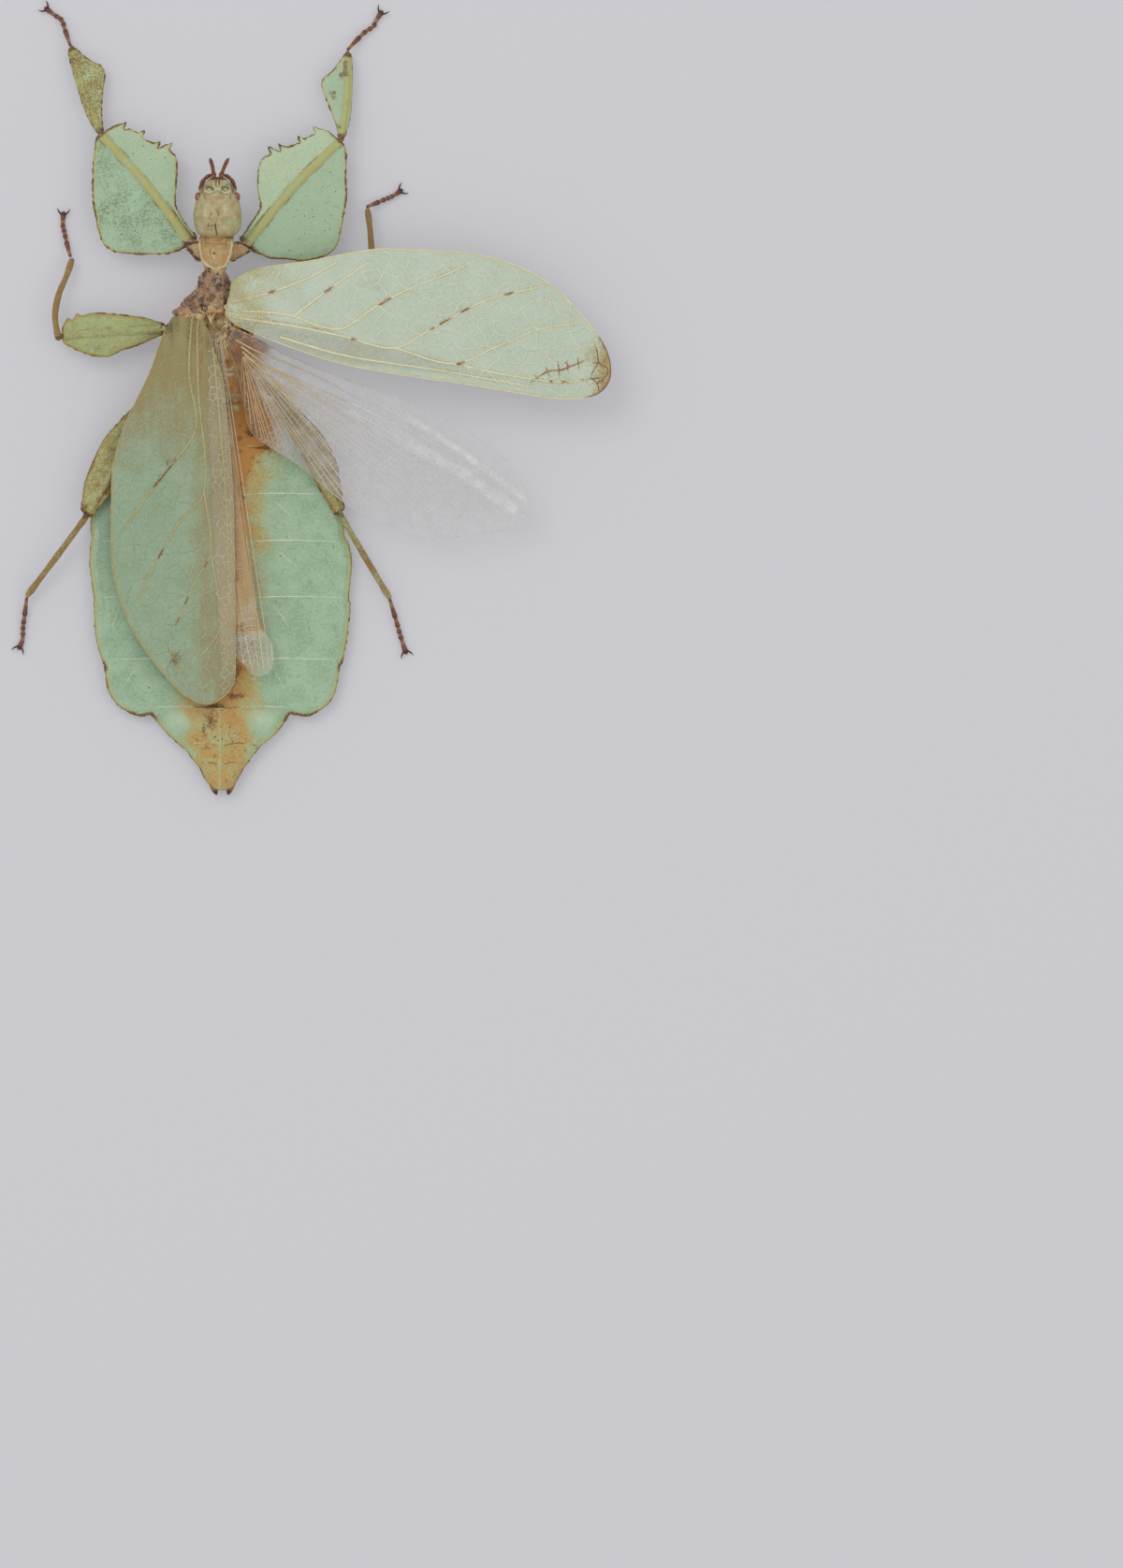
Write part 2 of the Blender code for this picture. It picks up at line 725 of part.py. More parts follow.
def build_abdomen(collection):
    """The leaf-like abdomen, with the edges of its segments raised across the back."""
    crests = []
    for segment in ABDOMEN_SEGMENTS[1:-1]:
        back, left, right = segment[0]
        ends = ((0.6 - left, back), (0.0, back + 0.3), (right - 0.6, back))
        line = smooth([(ABDOMEN_X + x, ABDOMEN_FRONT_Y - y) for x, y in ends], 3.6)
        crests.append(Crest(tuple(line), 0.45, 0.14))
    for share in ABDOMEN_GUIDES:
        guide = []
        for step in range(1, 19):
            y = ABDOMEN_FRONT_Y - step * 3.3
            guide.append((ABDOMEN_X + share * abdomen_core(y)[0], y))
        crests.append(Crest(tuple(guide), rise=0.0, offsets=(0.0,)))
    mesh = plate(abdomen_outline(), abdomen_lower, abdomen_upper, crests, 3.8)
    make_object("abdomen", mesh, LEAF_GREEN, collection)


def build_tail(collection):
    """The two leaf-like cerci and the pointed plate under the tip."""
    for name, (root, tip) in CERCI.items():
        outline = smooth(Axis(root, tip).trace(CERCUS_EDGE), 0.5, True)
        lower, upper = sheet(lambda x, y: CERCUS_HEIGHT, CERCUS_THICKNESS)
        make_object("cercus_" + name, plate(outline, lower, upper, (), 1.0), LEAF_PALE, collection)
    outline = smooth(SUBGENITAL.trace(SUBGENITAL_EDGE), 1.2, True)
    lower, upper = sheet(lambda x, y: SUBGENITAL_HEIGHT, SUBGENITAL_THICKNESS)
    keel = Crest(tuple(SUBGENITAL.trace(SUBGENITAL_KEEL)), 0.5, 0.12)
    mesh = plate(outline, lower, upper, [keel], 2.0)
    make_object("subgenital_plate", mesh, LEAF_PALE, collection)


# The wings

TEGMEN_RIGHT = Axis((-13.2, 15.3), (46.3, 5.5))
TEGMEN_RIGHT_EDGE = (
    (0.4, 1.2), (0.4, 2.7), (1.0, 3.7), (4.6, 5.8), (11.6, 8.1), (21.3, 11.5), (27.0, 12.4),
    (35.7, 13.3),
    (43.2, 12.7), (49.4, 10.5), (55.3, 6.2), (59.3, 2.1), (60.6, -1.9), (59.3, -4.7), (55.1, -6.3),
    (49.3, -6.7), (40.5, -6.7), (27.3, -6.9), (19.2, -6.7), (12.4, -5.7), (6.3, -4.5),
    (1.6, -3.2), (0.3, -2.2),
)
TEGMEN_RIGHT_VEINS = (
    (
        (0.8, -1.4), (6.0, -0.8), (10.8, -0.7), (14.7, -1.5), (18.6, -1.3), (22.8, 2.6),
        (28.0, 6.6), (33.4, 9.8), (37.0, 12.4),
    ),
    ((10.8, -0.7), (14.6, 3.4), (20.9, 9.5)),
    ((0.9, -2.3), (11.8, -2.2), (18.5, -2.5), (27.0, -3.0), (31.9, 0.7), (39.8, 6.6), (48.4, 10.3)),
    ((27.0, -3.0), (36.5, -3.9), (42.4, -0.3), (49.1, 3.7), (54.6, 5.5)),
    ((36.5, -3.9), (44.5, -4.3), (53.3, -4.0), (59.0, -2.4)),
    ((9.2, -4.2), (19.7, -5.4), (34.4, -5.3), (49.1, -5.5)),
    ((0.9, -0.2), (6.7, 2.4), (12.0, 5.5), (15.9, 8.5)),
)
TEGMEN_LEFT = Axis((-17.1, 13.4), (-16.1, -47.2))
TEGMEN_LEFT_EDGE = (
    (0.4, -4.0), (2.8, -5.6), (8.6, -7.8), (13.3, -10.1), (17.6, -12.2), (23.7, -13.9),
    (30.2, -14.3),
    (38.2, -14.3), (42.6, -13.5), (48.7, -11.4), (55.0, -7.2), (59.0, -3.5), (60.6, 0.0),
    (59.9, 1.9),
    (57.4, 4.1), (51.6, 4.5), (38.5, 4.6), (26.9, 4.5), (15.3, 3.7), (5.1, 3.0), (0.5, 2.5),
    (0.4, 0.3), (0.4, -2.0),
)
TEGMEN_LEFT_VEINS = (
    ((0.9, -1.3), (9.4, -1.9), (17.8, -1.0), (23.6, -5.0), (28.1, -8.7), (33.2, -12.2)),
    ((2.2, -0.5), (12.3, -0.5), (27.6, 0.1), (32.8, -4.2), (37.9, -7.2), (44.1, -10.5)),
    ((27.6, 0.1), (37.0, 1.0), (41.3, -1.4), (47.8, -4.4)),
    ((37.0, 1.0), (48.6, 2.2), (52.9, -0.5)),
    ((3.0, 1.6), (15.3, 2.6), (30.0, 3.5), (45.0, 3.6), (55.0, 3.2)),
)
# Heights from root to tip
TEGMEN_RIGHT_HEIGHTS = (8.0, 8.5, 8.6, 8.3, 7.6)
TEGMEN_LEFT_HEIGHTS = (7.95, 7.8, 7.3, 6.7, 6.25, 6.05, 5.95, 5.9, 5.9, 5.8, 5.7, 5.5, 5.2)
HINDWING_LEFT_HEIGHTS = (6.87, 6.45, 5.75, 5.1, 4.95, 4.95, 4.9, 4.9, 4.8, 4.7)
HINDWING_RIGHT = Axis((-12.0, 9.5), (33.7, -16.3))
HINDWING_RIGHT_EDGE = (
    (-0.5, 0.9), (3.9, 1.8), (7.4, 1.7), (16.7, 2.8), (27.4, 4.5), (37.0, 5.3), (45.0, 4.4),
    (50.4, 2.2),
    (52.8, -0.6), (52.2, -4.0), (47.2, -8.4), (41.8, -12.0), (35.1, -13.5), (27.7, -13.7),
    (18.5, -12.2),
    (12.5, -11.8), (9.3, -11.1), (4.8, -6.1), (2.2, -3.4), (-0.4, -1.0),
)
HINDWING_HUB = (2.2, -0.4)
HINDWING_RAYS = 10
HINDWING_LEFT = Axis((-14.6, 10.4), (-7.4, -42.7))
HINDWING_LEFT_EDGE = (
    (0.0, 0.6), (12.4, 0.5), (24.0, 0.1), (35.7, 0.2), (46.1, 0.7), (49.2, 2.1), (52.6, 1.6),
    (53.6, 0.3),
    (53.4, -1.4), (51.7, -2.7), (48.1, -5.4), (40.7, -6.6), (29.1, -5.4), (17.6, -4.2),
    (6.1, -2.3), (0.0, -0.9),
)


def between(share, *heights):
    """A height read evenly along a list of them, by a share from 0 to 1."""
    place = min(max(share, 0.0), 1.0) * (len(heights) - 1)
    index = min(int(place), len(heights) - 2)
    return heights[index] + (place - index) * (heights[index + 1] - heights[index])


def tegmen_right_height(x, y):
    """The spread front wing: nearly level, its two long edges turned down a little."""
    along, across = TEGMEN_RIGHT.of(x, y)
    bend = 0.012 * max(across - 4.0, 0.0) ** 2 + 0.02 * max(-across - 3.0, 0.0) ** 2
    return between(along / 60.0, *TEGMEN_RIGHT_HEIGHTS) - bend


def tegmen_left_height(x, y):
    """The folded front wing: down from its root, then along the back, its outer edge drooping."""
    along, across = TEGMEN_LEFT.of(x, y)
    droop = 0.005 * max(-across - 2.0, 0.0) ** 2
    return between(along / 60.0, *TEGMEN_LEFT_HEIGHTS) - droop


def hindwing_right_height(x, y):
    """The spread hind wing: out and a little down from its root, lower towards its rear."""
    along, across = HINDWING_RIGHT.of(x, y)
    return 6.8 - 0.75 * min(along / 52.0, 1.0) + 0.05 * min(across, 0.0)


def hindwing_left_height(x, y):
    """The folded hind wing: flat between the back and the front wing over it."""
    along, _ = HINDWING_LEFT.of(x, y)
    return between(along / 53.0, *HINDWING_LEFT_HEIGHTS)


def reach(outline, start, angle):
    """How far a ray runs inside an outline before it meets the edge."""
    start = Vector(start)
    ray = Vector((math.cos(angle), math.sin(angle)))
    length = 0.0
    while is_inside(start + length * ray, outline):
        length += 0.1
    return length


def build_tegmina(collection):
    """The two leathery front wings, each with its main veins raised."""
    for name, axis, edge, veins, height in (
        ("tegmen_right", TEGMEN_RIGHT, TEGMEN_RIGHT_EDGE, TEGMEN_RIGHT_VEINS, tegmen_right_height),
        ("tegmen_left", TEGMEN_LEFT, TEGMEN_LEFT_EDGE, TEGMEN_LEFT_VEINS, tegmen_left_height),
    ):
        outline = smooth(axis.trace(edge), 1.7, True)
        crests = [Crest(tuple(smooth(axis.trace(vein), 2.6))) for vein in veins]
        lower, upper = sheet(height, MEMBRANE)
        make_object(name, plate(outline, lower, upper, crests, 5.0), WING_PALE, collection)


def build_hindwings(collection):
    """The two thin hind wings: the right one fanned, the left one folded along the back."""
    outline = smooth(HINDWING_RIGHT.trace(HINDWING_RIGHT_EDGE), 1.7, True)
    local = [HINDWING_RIGHT.of(x, y) for x, y in outline]
    crests = []
    for ray in range(HINDWING_RAYS):
        angle = math.radians(3.0 - 60.0 * (ray / (HINDWING_RAYS - 1)))
        length = reach(local, HINDWING_HUB, angle) - 0.8
        start = 2.0 + 3.0 * (ray % 2)
        line = [
            (HINDWING_HUB[0] + step * math.cos(angle), HINDWING_HUB[1] + step * math.sin(angle))
            for step in (start, (start + length) / 2, length)
        ]
        crests.append(Crest(tuple(smooth(HINDWING_RIGHT.trace(line), 3.4)), 0.3, 0.18))
    lower, upper = sheet(hindwing_right_height, MEMBRANE)
    make_object("hindwing_right", plate(outline, lower, upper, crests, 5.0), WING_CLEAR, collection)
    outline = smooth(HINDWING_LEFT.trace(HINDWING_LEFT_EDGE), 2.4, True)
    folds = [
        smooth(HINDWING_LEFT.trace([(3.0, 0.0), (25.0, -fold), (48.0, -fold)]), 3.4)
        for fold in (0.9, 2.2, 3.6)
    ]
    crests = [Crest(tuple(fold), 0.3, 0.1) for fold in folds]
    lower, upper = sheet(hindwing_left_height, MEMBRANE)
    make_object("hindwing_left", plate(outline, lower, upper, crests, 5.0), WING_CLEAR, collection)


# The legs


@dataclass(frozen=True)
class Leg:
    """One leg: where it leaves the body, its lobed thigh, its shin and its foot."""

    name: str
    hip: tuple
    knee: tuple
    heights: tuple
    front_edge: tuple
    rear_edge: tuple
    body_side: tuple
    shin: tuple
    foot: tuple
    toothed_edge: str = ""
    teeth: tuple = ()
    tooth_height: float = 0.9
    bow: float = 0.0
    shaft_radius: float = 0.6
    hip_half_width: float = 0.8
    shin_lobe: float = 0.0
    shin_radius: float = 0.52


# The front shin's lobe, as (back from the ankle, across), and the way it starts at the knee,
# as (along, across), then its outer edge in both ways
SHIN_LOBE = (
    (0.0, 0.35), (1.5, 1.2), (3.0, 2.2), (4.0, 3.3), (5.1, 3.6), (6.4, 3.1), (9.3, 1.7),
)
SHIN_LOBE_ROOT = ((1.0, 0.6), (0.0, 0.45))
SHIN_OUTER_ROOT = ((0.0, -0.5), (2.5, -1.1), (6.0, -1.2))
SHIN_OUTER = ((2.0, -0.9), (0.0, -0.5))

# Edges are (along, across) from the hip, the one left of the axis first. Heights are those of
# the coxa, the hip, the knee and the ankle
LEGS = (
    Leg(
        name="front_left",
        hip=(-18.7, 24.3),
        knee=(-32.7, 41.3),
        heights=(4.4, 3.9, 3.2, 1.7),
        front_edge=(
            (0.0, 1.3), (1.0, 3.7), (2.3, 5.5), (5.0, 8.6), (6.9, 10.1), (8.4, 10.4), (10.1, 9.9),
            (14.0, 7.8), (16.3, 6.1), (19.6, 3.2), (21.7, 0.8),
        ),
        rear_edge=(
            (21.6, -1.0), (21.3, -2.6), (19.5, -4.0), (17.7, -4.6), (15.3, -5.2), (14.2, -6.2),
            (13.2, -6.9), (11.8, -6.7), (10.5, -5.9), (7.6, -3.3), (6.0, -2.0), (3.5, -1.4),
            (0.0, -1.2),
        ),
        toothed_edge="rear",
        teeth=(20.6, 17.8, 15.0, 13.6),
        bow=-0.5,
        shaft_radius=0.62,
        hip_half_width=1.25,
        body_side=(-17.6, 24.3, 21.6),
        shin=((-32.6, 41.6), (-35.2, 48.8), (-37.1, 54.5)),
        shin_lobe=-1.0,
        foot=((-37.35, 54.95), (-38.1, 57.2), (-38.7, 58.9), (-39.7, 59.6), (-41.0, 60.6)),
    ),
    Leg(
        name="front_right",
        hip=(-10.0, 24.0),
        knee=(4.7, 40.3),
        heights=(4.4, 3.9, 3.2, 1.7),
        front_edge=(
            (0.0, 1.2), (2.8, 1.7), (5.8, 2.3), (7.8, 4.7), (9.9, 6.4), (11.6, 7.1), (13.0, 6.9),
            (14.3, 6.1), (15.8, 5.2), (18.0, 4.2), (20.5, 3.6), (21.5, 2.4), (21.6, 0.9),
        ),
        rear_edge=(
            (21.6, -0.7), (20.7, -2.0), (18.0, -4.4), (15.9, -6.4), (14.1, -7.6), (11.6, -9.2),
            (9.6, -10.3), (8.3, -10.5), (6.8, -10.1), (4.1, -8.2), (2.4, -5.9), (1.0, -4.2),
            (0.0, -1.4),
        ),
        toothed_edge="front",
        teeth=(13.4, 14.8, 17.7, 20.4),
        bow=0.6,
        shaft_radius=0.62,
        hip_half_width=1.25,
        body_side=(-11.9, 24.4, 21.5),
        shin=((4.62, 40.7), (5.5, 47.5), (5.6, 53.6)),
        shin_lobe=1.0,
        foot=((5.6, 54.2), (6.9, 55.6), (8.3, 57.0), (9.6, 57.9), (10.0, 58.7), (10.8, 60.0)),
    ),
    Leg(
        name="mid_left",
        hip=(-22.7, 11.0),
        knee=(-39.3, 9.9),
        heights=(3.7, 3.6, 3.3, 1.6),
        front_edge=(
            (0.0, 0.7), (3.9, 2.1), (6.9, 2.9), (9.1, 3.7), (11.2, 3.4), (13.5, 2.5), (15.7, 1.1),
        ),
        rear_edge=(
            (15.7, -1.2), (14.8, -2.2), (13.8, -2.6), (12.7, -3.1), (9.4, -3.0), (5.1, -2.3),
            (2.2, -1.6), (0.0, -0.7),
        ),
        toothed_edge="rear",
        teeth=(14.6, 13.2),
        tooth_height=0.35,
        body_side=(-21.25, 12.0, 10.0),
        hip_half_width=0.65,
        shin=((-39.15, 9.35), (-39.65, 13.0), (-39.1, 16.3), (-37.9, 19.2), (-37.1, 21.6)),
        foot=((-37.3, 22.2), (-37.8, 24.0), (-38.2, 25.8), (-38.5, 27.2), (-38.4, 28.8)),
    ),
    Leg(
        name="mid_right",
        hip=(-7.1, 12.7),
        knee=(8.7, 18.2),
        heights=(3.7, 3.6, 3.3, 1.6),
        front_edge=(
            (0.0, 0.7), (3.5, 1.6), (6.0, 2.2), (8.6, 3.1), (11.0, 3.2), (12.4, 2.9), (13.6, 2.2),
            (15.7, 1.0),
        ),
        rear_edge=(
            (15.7, -0.9), (15.0, -1.8), (13.5, -2.7), (11.6, -3.6), (9.6, -4.3), (8.3, -4.3),
            (5.7, -3.1), (0.0, -0.7),
        ),
        body_side=(-8.5, 12.8, 10.9),
        hip_half_width=0.65,
        shin=((8.82, 17.2), (9.4, 20.0), (9.35, 23.0), (9.1, 26.5), (8.75, 29.3)),
        foot=((8.6, 29.9), (9.8, 30.4), (11.2, 31.0), (12.6, 31.6), (13.8, 32.4)),
    ),
    Leg(
        name="hind_left",
        hip=(-23.2, 0.5),
        knee=(-34.9, -17.9),
        heights=(3.4, 3.75, 3.6, 1.5),
        front_edge=((0.0, 0.8), (6.2, 1.4), (11.9, 1.9), (17.0, 1.4), (21.5, 0.8)),
        rear_edge=(
            (21.5, -0.9), (18.2, -2.6), (13.2, -3.6), (10.4, -3.9), (7.5, -3.5), (4.3, -2.9),
            (1.6, -2.0), (0.0, -0.8),
        ),
        body_side=(-21.25, 4.6, 2.0),
        bow=0.0,
        shin=((-34.8, -18.07), (-39.5, -24.4), (-43.9, -30.2)),
        foot=((-44.08, -30.65), (-44.35, -33.0), (-44.65, -35.15), (-44.75, -37.2), (-45.2, -38.3)),
    ),
    Leg(
        name="hind_right",
        hip=(-5.2, 0.5),
        knee=(4.5, -17.7),
        heights=(3.4, 3.75, 3.6, 1.5),
        front_edge=(
            (0.0, 0.8), (3.6, 1.9), (7.5, 3.1), (10.7, 3.4), (13.4, 3.2), (16.1, 2.3),
            (20.2, 0.8),
        ),
        rear_edge=((20.3, -0.7), (14.4, -1.0), (8.7, -1.0), (2.3, -0.8), (0.0, -0.8)),
        body_side=(-8.55, 4.6, 2.0),
        bow=0.0,
        shin=((4.5, -17.75), (8.6, -24.8), (12.0, -30.5)),
        foot=((12.15, -30.87), (13.2, -34.4), (14.0, -37.2), (14.6, -39.0)),
    ),
)


def build_coxa(leg, collection):
    """The short block that joins the thigh to the thorax."""
    axis = Axis(leg.hip, leg.knee)
    side_x, high, low = leg.body_side
    hip_end = [axis.at(-GAP, side * leg.hip_half_width) for side in (1.0, -1.0)]
    corners = [Vector(corner) for corner in ((side_x, high), (side_x, low), *hip_end)]
    middle = sum(corners, Vector((0.0, 0.0))) / len(corners)
    corners.sort(key=lambda corner: math.atan2(corner.y - middle.y, corner.x - middle.x))
    outline = []
    for start, end in zip(corners, corners[1:] + corners[:1]):
        pieces = max(1, round((end - start).length / 0.8))
        outline += [tuple(start.lerp(end, piece / pieces)) for piece in range(pieces)]
    line = ((side_x, (high + low) / 2), axis.at(-GAP, 0.0))
    ridge = Crest(line, 1.3, 0.75, 0.6, (-0.6, 0.0, 0.6), True)
    lower, upper = sheet(lambda x, y: leg.heights[0], 1.0)
    make_object("coxa_" + leg.name, plate(outline, lower, upper, [ridge], 1.0), OLIVE, collection)


def build_femur(leg, collection):
    """The leaf-like thigh: a round shaft with a thin lobe along each side."""
    axis = Axis(leg.hip, leg.knee)
    front = [axis.of(*point) for point in smooth(axis.trace(leg.front_edge), 1.5)]
    rear = [axis.of(*point) for point in smooth(axis.trace(leg.rear_edge), 1.5)]
    if leg.toothed_edge == "front":
        front = toothed(front, leg.teeth, leg.tooth_height)
    if leg.toothed_edge == "rear":
        rear = toothed(rear, leg.teeth, leg.tooth_height)
    outline = axis.trace(front + rear)
    end = axis.length - 0.9
    line = smooth(axis.trace([(0.5, 0.0), (end / 2, leg.bow), (end, 0.0)]), 1.8)
    radius = leg.shaft_radius
    shaft = Crest(tuple(line), radius, radius, 0.35 * radius, (-0.95, -0.6, 0.0, 0.6, 0.95), True)

    def height(x, y):
        return between(axis.of(x, y)[0] / axis.length, leg.heights[1], leg.heights[2])

    lower, upper = sheet(height, LOBE)
    mesh = plate(outline, lower, upper, [shaft], 3.0)
    make_object("femur_" + leg.name, mesh, LEAF_GREEN, collection)


def build_tibia(leg, collection):
    """The shin: a slim shaft, on the front legs with a lobe along its inner side."""
    knee, ankle = leg.shin[0], leg.shin[-1]
    if not leg.shin_lobe:
        line = smooth(leg.shin, 3.0)
        path, radii = [], []
        for index, (x, y) in enumerate(line):
            share = index / (len(line) - 1)
            path.append((x, y, between(share, leg.heights[2], leg.heights[3])))
            radii.append(leg.shin_radius * between(share, 0.95, 1.05, 0.95, 0.85, 0.9))
        make_object("tibia_" + leg.name, tube(path, radii), OLIVE, collection)
        return
    axis = Axis(knee, ankle)
    side = leg.shin_lobe
    length = axis.length
    lobe = [(length - back, side * across) for back, across in SHIN_LOBE]
    lobe += [(along, side * across) for along, across in SHIN_LOBE_ROOT]
    outer = [(along, side * across) for along, across in SHIN_OUTER_ROOT]
    outer += [(length - back, side * across) for back, across in SHIN_OUTER]
    outline = smooth(axis.trace(outer), 1.6) + smooth(axis.trace(lobe), 1.4)
    line = smooth(axis.trace([(0.5, 0.0), (length / 2, -0.4 * side), (length - 0.6, 0.0)]), 1.8)
    shaft = Crest(tuple(line), 0.55, 0.5, 0.15, (-0.95, -0.6, 0.0, 0.6, 0.95), True)

    def height(x, y):
        return between(axis.of(x, y)[0] / length, leg.heights[2], leg.heights[3])

    lower, upper = sheet(height, LOBE)
    mesh = plate(outline, lower, upper, [shaft], 3.0)
    make_object("tibia_" + leg.name, mesh, LEAF_GREEN, collection)


def build_tarsus(leg, collection):
    """The foot: four short segments, a pad that rests on the floor, and two claws."""
    line = smooth(leg.foot, 0.75)
    path, radii = [], []
    for index, (x, y) in enumerate(line):
        share = index / (len(line) - 1)
        path.append((x, y, between(share, leg.heights[3] - 0.1, 0.75, 0.4, 0.33)))
        swell = abs(math.sin(math.pi * 2.0 * share + 0.4))
        radii.append(0.3 + 0.1 * swell + 0.06 * share)
    pieces = [tube(path, radii, 7, on_floor=True)]
    tip = Vector(line[-1])
    ahead = (tip - Vector(line[-2])).normalized()
    across = Vector((-ahead.y, ahead.x))
    for side in (-1.0, 1.0):
        curve = []
        for share in (0.0, 0.35, 0.7, 1.0):
            spread = side * (0.1 + 0.75 * math.sin(share * math.pi * 0.6))
            forward = -0.35 + CLAW_LENGTH * share
            place = tip + ahead * forward + across * spread
            curve.append((place.x, place.y, 0.42 + 0.35 * math.sin(math.pi * share) - 0.12 * share))
        pieces.append(tube(curve, (0.2, 0.2, 0.16, 0.08), 5))
    fuse("tarsus_" + leg.name, pieces, RUST, collection)


def build_legs(collection):
    """Six legs of four nodes each."""
    for leg in LEGS:
        build_coxa(leg, collection)
        build_femur(leg, collection)
        build_tibia(leg, collection)
        build_tarsus(leg, collection)


def build_pin(collection):
    """The steel pin through the mesothorax, cut off level with the floor."""
    make_object("stand_pin", rod(PIN_RADIUS, PIN_TOP, 12), STEEL, collection)


def main():
    """Build the whole insect in an emptied scene."""
    for old in list(bpy.data.objects):
        bpy.data.objects.remove(old)
    collection = bpy.data.collections.new("leaf_insect")
    bpy.context.scene.collection.children.link(collection)
    build_head(collection)
    build_eyes(collection)
    build_antennae(collection)
    build_palps(collection)
    build_pronotum(collection)
    build_mesothorax(collection)
    build_metathorax(collection)
    build_abdomen(collection)
    build_tail(collection)
    build_tegmina(collection)
    build_hindwings(collection)
    build_legs(collection)
    build_pin(collection)


main()
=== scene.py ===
"""The looks of a dried leaf insect on her pin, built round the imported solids.

Each class below is one sub-assembly. It holds its sizes in millimetres, builds its meshes in
the solids' own frame (+Y towards the head, +X her right, +Z up, the floor at z = 0), and
dresses them. Flat parts take their edges from the solids, so that they lie exactly on them.
"""

import logging
import math
from collections.abc import Callable
from dataclasses import dataclass
from enum import Enum
from functools import cache, cached_property, partial, reduce

import bmesh
import bpy
import numpy as np
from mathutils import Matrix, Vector, geometry
from mathutils.bvhtree import BVHTree
from numpy.typing import ArrayLike


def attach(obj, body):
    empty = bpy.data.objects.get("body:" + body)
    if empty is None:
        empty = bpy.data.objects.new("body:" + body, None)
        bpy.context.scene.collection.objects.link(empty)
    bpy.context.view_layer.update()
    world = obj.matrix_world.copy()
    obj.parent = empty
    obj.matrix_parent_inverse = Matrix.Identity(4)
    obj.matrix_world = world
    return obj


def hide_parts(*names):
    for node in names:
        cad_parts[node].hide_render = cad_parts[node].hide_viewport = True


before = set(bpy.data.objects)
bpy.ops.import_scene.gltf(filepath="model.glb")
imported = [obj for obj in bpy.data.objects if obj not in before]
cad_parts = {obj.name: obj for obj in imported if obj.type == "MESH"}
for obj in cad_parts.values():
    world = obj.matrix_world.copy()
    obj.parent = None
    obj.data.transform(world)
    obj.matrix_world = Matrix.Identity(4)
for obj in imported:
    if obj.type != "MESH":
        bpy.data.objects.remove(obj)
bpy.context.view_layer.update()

Array = np.ndarray
Piece = bpy.types.Object
# A height field, from places and their depth inside an edge
Heights = Callable[[Array, Array], Array]

LOG = logging.getLogger("leaf_insect")
MM = 0.001
BODY = "root"

# Where the body's own middle lies, and the heights it is built to, as in the solids
HEAD_X = -14.45
THORAX_X = -15.0
ABDOMEN_X = -14.2
ABDOMEN_FRONT_Y = -0.1
BELLY_HALF_WIDTH = 4.4
CORE_TOP = 4.1
FLANGE_TOP = 2.3
FLANGE_BOTTOM = 1.5
TAIL_RISE_FROM = 44.0


class Side(Enum):
    """Her left or right, as the sign of x."""

    LEFT = -1.0
    RIGHT = 1.0


class Tint(Enum):
    """What a painted value on a mesh does to the finish there, from 0 to 1."""

    BROWN = "brown"
    OCHRE = "ochre"
    PALE = "pale"
    RIM = "rim"
    CLEAR = "clear"


# ---- curves and fields in numbers ----


def smooth_line(points: ArrayLike, step: float, closed: bool = False) -> Array:
    """Places about a step apart on a soft curve through the given ones.

    Args:
        points: the places, with any number of values each.
        step: how far apart the new places lie, in the units of the first two values.
        closed: whether the curve comes back to its start.

    Returns:
        The new places, one row each.
    """
    points = np.asarray(points, float)
    count = len(points)

    def pick(index: int) -> Array:
        """The place at an index, held at the ends of an open line."""
        return points[index % count] if closed else points[min(max(index, 0), count - 1)]

    rows = []
    for index in range(count if closed else count - 1):
        before, start, end, after = (pick(index + shift) for shift in (-1, 0, 1, 2))
        span = max(float(np.linalg.norm((end - start)[:2])), 1e-9)
        span_before = float(np.linalg.norm((start - before)[:2]))
        span_after = float(np.linalg.norm((after - end)[:2]))
        leave = (end - before) / (span_before + span) * span
        arrive = (after - start) / (span_after + span) * span
        pieces = max(1, round(span / step))
        for share in np.arange(pieces) / pieces:
            rows.append(
                start * (2 * share**3 - 3 * share**2 + 1)
                + leave * (share**3 - 2 * share**2 + share)
                + end * (3 * share**2 - 2 * share**3)
                + arrive * (share**3 - share**2)
            )
    if not closed:
        rows.append(points[-1])
    return np.array(rows)


def nearest_on(places: Array, line: Array) -> tuple[Array, Array]:
    """The nearest place of a line to each given place, and how far away it is.

    Args:
        places: where to start from, one row each.
        line: the line's own places.

    Returns:
        The nearest places, and the distances to them.
    """
    best = np.full(len(places), np.inf)
    found = np.zeros((len(places), 2))
    for start, end in zip(line[:-1], line[1:]):
        along = end - start
        share = np.clip((places - start) @ along / max(along @ along, 1e-12), 0.0, 1.0)
        near = start + share[:, None] * along
        away = np.hypot(*(places - near).T)
        closer = away < best
        best[closer] = away[closer]
        found[closer] = near[closer]
    return found, best


def away_from(places: Array, line: ArrayLike) -> Array:
    """How far each place lies from a line, seen from above."""
    return nearest_on(places, np.asarray(line, float)[:, :2])[1]


def ease(values: Array, low: float, high: float) -> Array:
    """0 below low, 1 above high, and a soft step between them."""
    share = np.clip((np.asarray(values, float) - low) / (high - low), 0.0, 1.0)
    return share * share * (3.0 - 2.0 * share)


def hill(values: Array, half_width: float) -> Array:
    """1 where the value is 0, falling softly to 0 at the half width."""
    return 1.0 - ease(np.abs(values), 0.0, half_width)


def bell(values: Array, width: float) -> Array:
    """1 where the value is 0, fading like a bell of the given width."""
    return np.exp(-((values / width) ** 2))


def most(*fields: Array) -> Array:
    """The greatest of several fields at each place."""
    return reduce(np.maximum, fields)


def oval(places: Array, x: float, y: float, wide: float = 1.0, tall: float = 1.0) -> Array:
    """How far places lie from an oval's middle, 1 on its edge."""
    return np.hypot(*((places - (x, y)) / (wide, tall)).T)


